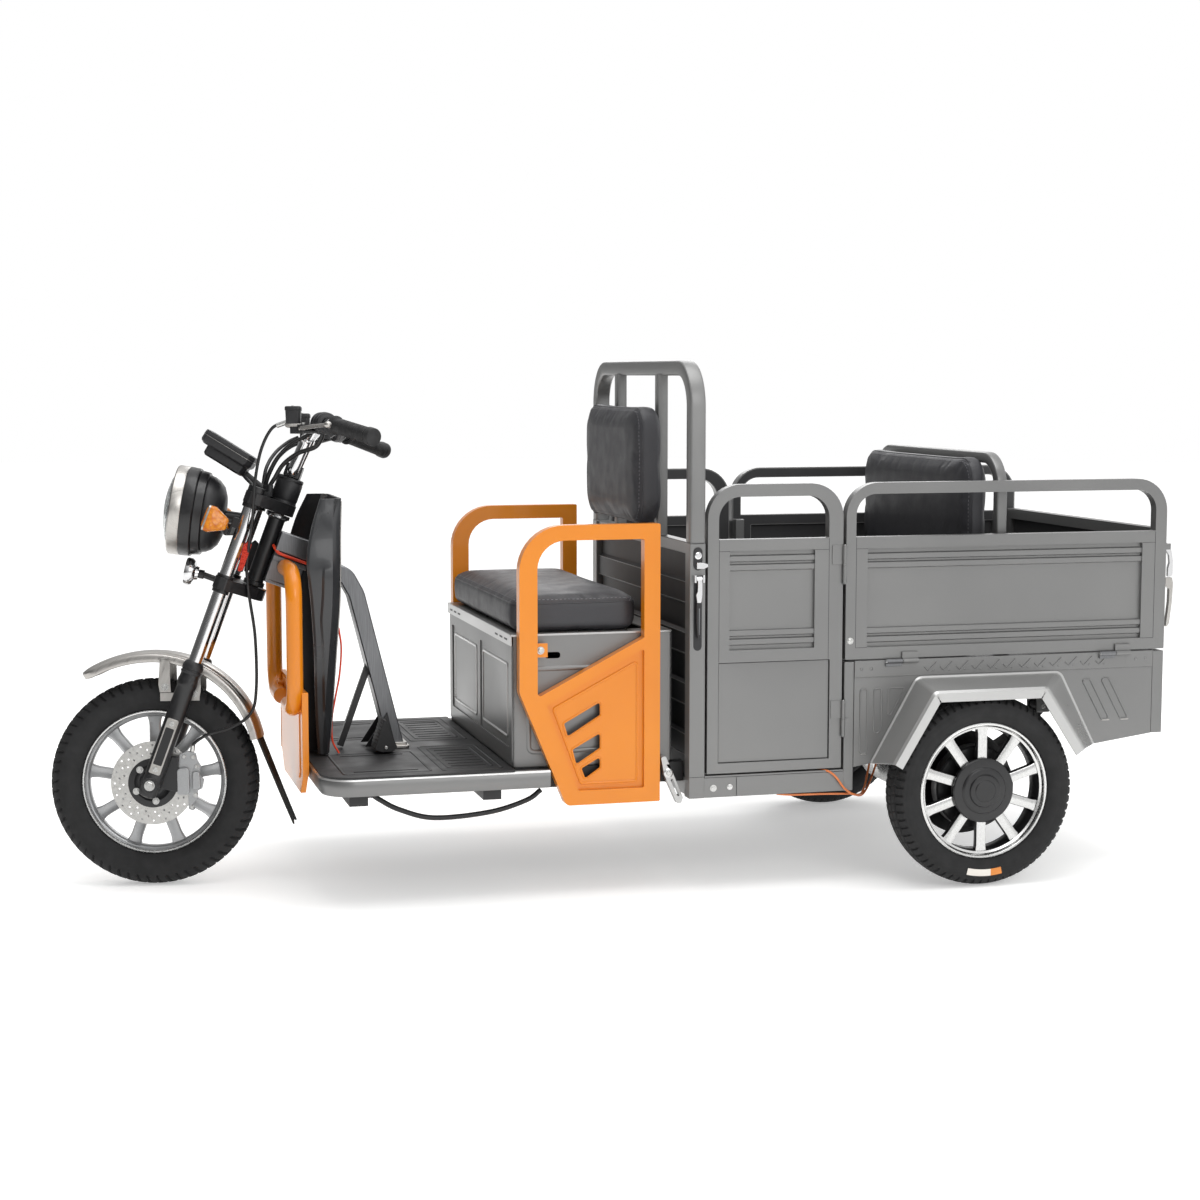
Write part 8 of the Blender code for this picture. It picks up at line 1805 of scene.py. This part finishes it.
deck = [block((1.1563, 1.4802), (-0.4075, 0.4075), (0.2543, 0.2581)),
    block((1.4764, 1.4802), (-0.349, 0.349), (0.2555, 0.4996))]
half = [(1.4764, 0.349), (1.5043, 0.349), (1.5043, 0.4025), (2.2407, 0.4025), (2.2407, 0.3727), (2.2686, 0.3727)]
deck.append(slab(half + [(x, -y) for x, y in half[::-1]], 0.4963, 0.4992))
for k in range(9):
    deck.append(block((1.89, 2.225), (-0.302 + 0.07 * k, -0.258 + 0.07 * k), (0.499, 0.5)))
    deck.append(block((1.19, 1.45), (-0.302 + 0.07 * k, -0.258 + 0.07 * k), (0.258, 0.2596)))
put("cargo_floor_sheet", deck, box_paint, "chassis", bevel=0.0008, node="cargo_floor")
stand = [(1.858, 0.499), (1.898, 0.499), (1.898, 0.672), (1.888, 0.682), (1.868, 0.682), (1.858, 0.672)]
stands, pivots = [], []
for side in (-1, 1):
    stands.append(slab(plan(stand, 0.002, 3), -side * 0.3616, -side * 0.3666, WALL))
    pivots.append(rod((1.878, side * 0.336, 0.66), (1.878, side * 0.3665, 0.66), 0.006, 24))
    pivots += fastener(0.008, 0.004, moved(1.878, side * 0.3666, 0.66) @ sideways(side), 6, 1.3)
put("backrest_stands", stands, box_paint, "chassis", bevel=0.001)
put("backrest_pivots", pivots, zinc, "chassis")


# Passenger backrest bow: square tube bent over, with a bar behind the cushion, folding
# forward on its two stands. Tail lamps: two red lenses joined by a lit bar.

pass_line = bent([(1.878, -0.3485, 0.605), (1.878, -0.3485, 0.9445), (1.878, 0.3485, 0.9445), (1.878, 0.3485, 0.605)],
    [0, 0.07, 0.07, 0], 12)
put("passenger_bow_tube", [carried(pass_line, rounded(0.025, 0.025, 0.0045), (1, 0, 0)),
    block((1.8665, 1.886), (-0.34, 0.34), (0.7, 0.722))], box_paint, "passenger_backrest", soft=45,
    node="passenger_bow")
lenses, shells = [], []
for side in (-1, 1):
    plan_of = corners(sorted((side * 0.271, side * 0.349)), (0.3775, 0.4065), 0.004, 4)
    lenses.append(slab(plan_of, 2.27, 2.2785, FRONTAL))
    shells.append(slab(corners(sorted((side * 0.27, side * 0.35)), (0.376, 0.408), 0.005, 4), 2.2675,
        2.2725, FRONTAL))
lenses.append(block((2.268, 2.2708), (-0.27, 0.27), (0.3875, 0.3965)))
put("tail_lamp_lenses", lenses, red_plastic, "chassis", bevel=0.0018, node="tail_lamps")
put("tail_lamp_shells", shells, black_plastic, "chassis", bevel=0.0008)


# Rear axle: a driven beam with its gear case and motor, carried by two bowed leaf springs,
# and a drum brake at each end. The beam, springs and drums are painted black; the gear case and motor are bright turned
# aluminium.

axle = [rod((REAR_X, -0.4, REAR_RADIUS), (REAR_X, 0.4, REAR_RADIUS), 0.026, 32)]
drums = []
for side in (-1, 1):
    drums.append(turned([(0, 0), (0.066, 0), (0.072, 0.004), (0.072, 0.027), (0.069, 0.0312), (0.018, 0.0312),
        (0, 0.0312)], moved(REAR_X, side * 0.3985, REAR_RADIUS) @ sideways(side), 48))
    drums.append(rod((REAR_X, side * 0.429, REAR_RADIUS), (REAR_X, side * 0.452, REAR_RADIUS), 0.0122, 24))
    axle.append(block((1.744, 1.804), (side * 0.306, side * 0.354), (0.2265, 0.2495)))
# A wide black disc inside each wheel: a brake backing plate, drawn wide so that it gives painted shade behind the
# spokes
for side in (-1, 1):
    drums.append(turned([(0.026, 0), (0.109, 0), (0.116, 0.004), (0.118, 0.004), (0.118, 0.0015), (0.111, -0.0025),
        (0.026, -0.0025)], moved(REAR_X, side * 0.395, REAR_RADIUS) @ sideways(side), 64))
put("rear_axle_tube", axle, chassis_paint, "rear_axle", bevel=0.002, node="rear_axle")
put("rear_brake_drums", drums, black_paint, "rear_axle")
turn_y = Matrix.Rotation(-math.pi / 2, 4, "X")
case = turned([(0, -0.09), (0.036, -0.09), (0.044, -0.086), (0.072, -0.056), (0.074, -0.05), (0.074, 0.018),
    (0.07, 0.024), (0.044, 0.048), (0.036, 0.052), (0, 0.052)], moved(REAR_X, 0, REAR_RADIUS) @ turn_y, 48)
motor = turned([(0, -0.135), (0.04, -0.135), (0.05, -0.13), (0.052, -0.124), (0.052, -0.062), (0.048, -0.055),
    (0, -0.055)], moved(1.714, 0, 0.2205) @ turn_y, 48)
fins = [turned([(0.05, y), (0.0522, y), (0.0522, y + 0.002), (0.05, y + 0.002)], moved(1.714, 0, 0.2205) @ turn_y, 48)
    for y in np.arange(-0.12, -0.066, 0.008)]
put("axle_gear_case_and_motor", [case, motor, *fins], turned_alloy, "rear_axle", soft=40)
for label, side in SIDES:
    for half, share in (("front", np.linspace(-1, 0, 25)), ("rear", np.linspace(0, 1, 25))):
        path = np.stack([REAR_X + share * 0.219, np.full(25, side * 0.33),
            0.364 - 0.108 * (1 - abs(share) ** 2.2)], 1)
        leaf = [carried(path, [(-0.022, -0.0058), (-0.0212, -0.0062), (0.0212, -0.0062), (0.022, -0.0058),
            (0.022, 0.0056), (0.0212, 0.006), (-0.0212, 0.006), (-0.022, 0.0056)], (0, -1, 0))]
        eye, seat = (path[0], path[-1]) if half == "front" else (path[-1], path[0])
        leaf.append(rod((eye[0], side * 0.33 - 0.0222, 0.372), (eye[0], side * 0.33 + 0.0222, 0.372), 0.0128, 28))
        made = put("leaf_spring_" + label + "_" + half + "_half", leaf, black_paint, None, soft=40,
            node="leaf_spring_" + label)
        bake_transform(made)
    pins = [rod((x, side * 0.33 - 0.0272, 0.372), (x, side * 0.33 + 0.0272, 0.372), 0.0055, 20)
        for x in (1.555, 1.993)]
    put("spring_pins_" + label, pins, zinc, "chassis")


# Foot and hand brakes: a ribbed rubber pedal pad on its pivot, and the parking lever of
# slotted steel plate with a brass bush, pivoted under the left rail.

wedge = [(0.498, 0.3735), (0.474, 0.2985), (0.49, 0.293), (0.514, 0.293), (0.526, 0.3015)]
pedal = [slab(plan(wedge, 0.004, 4), 0.12, 0.06, WALL)]
put("brake_pedal_pad", pedal, mat_rubber, "brake_pedal", bevel=0.0012, node="brake_pedal")
ribs = []
for k in range(8):
    share = 0.12 + 0.1 * k
    x, z = 0.498 + (0.474 - 0.498) * share, 0.3735 + (0.2985 - 0.3735) * share
    ribs.append(rod((x, -0.117, z), (x, -0.063, z), 0.0012, 10))
put("brake_pedal_ribs", ribs, mat_rubber, "brake_pedal", soft=60)
put("brake_pedal_pin", [rod((0.5, -0.123, 0.3035), (0.5, -0.057, 0.3035), 0.004, 16)], zinc, "chassis")
outline = plan([(1.067, 0.298), (1.078, 0.3), (1.093, 0.266), (1.118, 0.206), (1.114, 0.194), (1.104, 0.194),
    (1.075, 0.258)], 0.004, 4)
slit = plan([(1.089, 0.247), (1.094, 0.249), (1.1105, 0.211), (1.1055, 0.209)], 0.002, 3)
hole = [(1.084 + 0.0062 * math.cos(a), 0.262 + 0.0062 * math.sin(a))
    for a in np.linspace(0, 2 * math.pi, 20, endpoint=False)]
put("parking_lever_plate", [pierced(outline, [hole, slit], 0.3535, 0.3705, WALL)], pale_paint_and_painted_highlight, "parking_lever",
    bevel=0.0014, node="parking_lever")
put("parking_lever_bush",
    [turned([(0.0052, 0), (0.0105, 0), (0.0105, 0.0008), (0.0075, 0.0022), (0.0052, 0.0022)],
    moved(1.084, -0.3705, 0.262) @ WALL, 24)], two_tone, "parking_lever")
put("parking_lever_pin", [rod((1.084, -0.369, 0.262), (1.084, -0.3745, 0.262), 0.0048, 20)], zinc, "chassis")


# Cables under the floor: the brake cable in its black sheath, and two thin orange motor
# leads that run along the base rail and back to the axle.

strand("brake_cable_under_floor", [(0.4212, -0.34, 0.24), (0.434, -0.34, 0.2393), (0.449, -0.34, 0.229),
    (0.49, -0.34, 0.206), (0.566, -0.34, 0.184), (0.687, -0.34, 0.19), (0.77, -0.34, 0.212), (0.803, -0.34, 0.2336)],
    0.0056, sheath, "chassis", node="floor_cable")
# Lead insulation: orange-brown silicone rubber
lead_skin, tree, shader = finish("orange_lead_silicone", "DE7C46", Roughness=0.42)
pattern(tree, shader, 60.0, 3.0, tint=("D0703C", "E68A52"))
strand("motor_lead_upper", [(1.415, -0.366, 0.256), (1.44, -0.406, 0.2575), (1.46, -0.413, 0.244),
    (1.485, -0.412, 0.213), (1.52, -0.395, 0.196), (1.56, -0.34, 0.205), (1.6, -0.295, 0.3), (1.64, -0.302, 0.44)],
    0.0024, lead_skin, "chassis")
strand("motor_lead_lower", [(1.33, -0.39, 0.207), (1.36, -0.4, 0.2052), (1.43, -0.402, 0.204), (1.5, -0.395, 0.2),
    (1.55, -0.36, 0.193), (1.61, -0.296, 0.26), (1.66, -0.302, 0.44)], 0.0024, lead_skin, "chassis")
put("motor_lead_grommet",
    [turned([(0.0026, 0.0), (0.0066, 0.0), (0.0066, 0.0024), (0.0052, 0.0046), (0.0026, 0.0046)],
    moved(1.415, -0.366, 0.2536), 24)], rubber, "chassis")
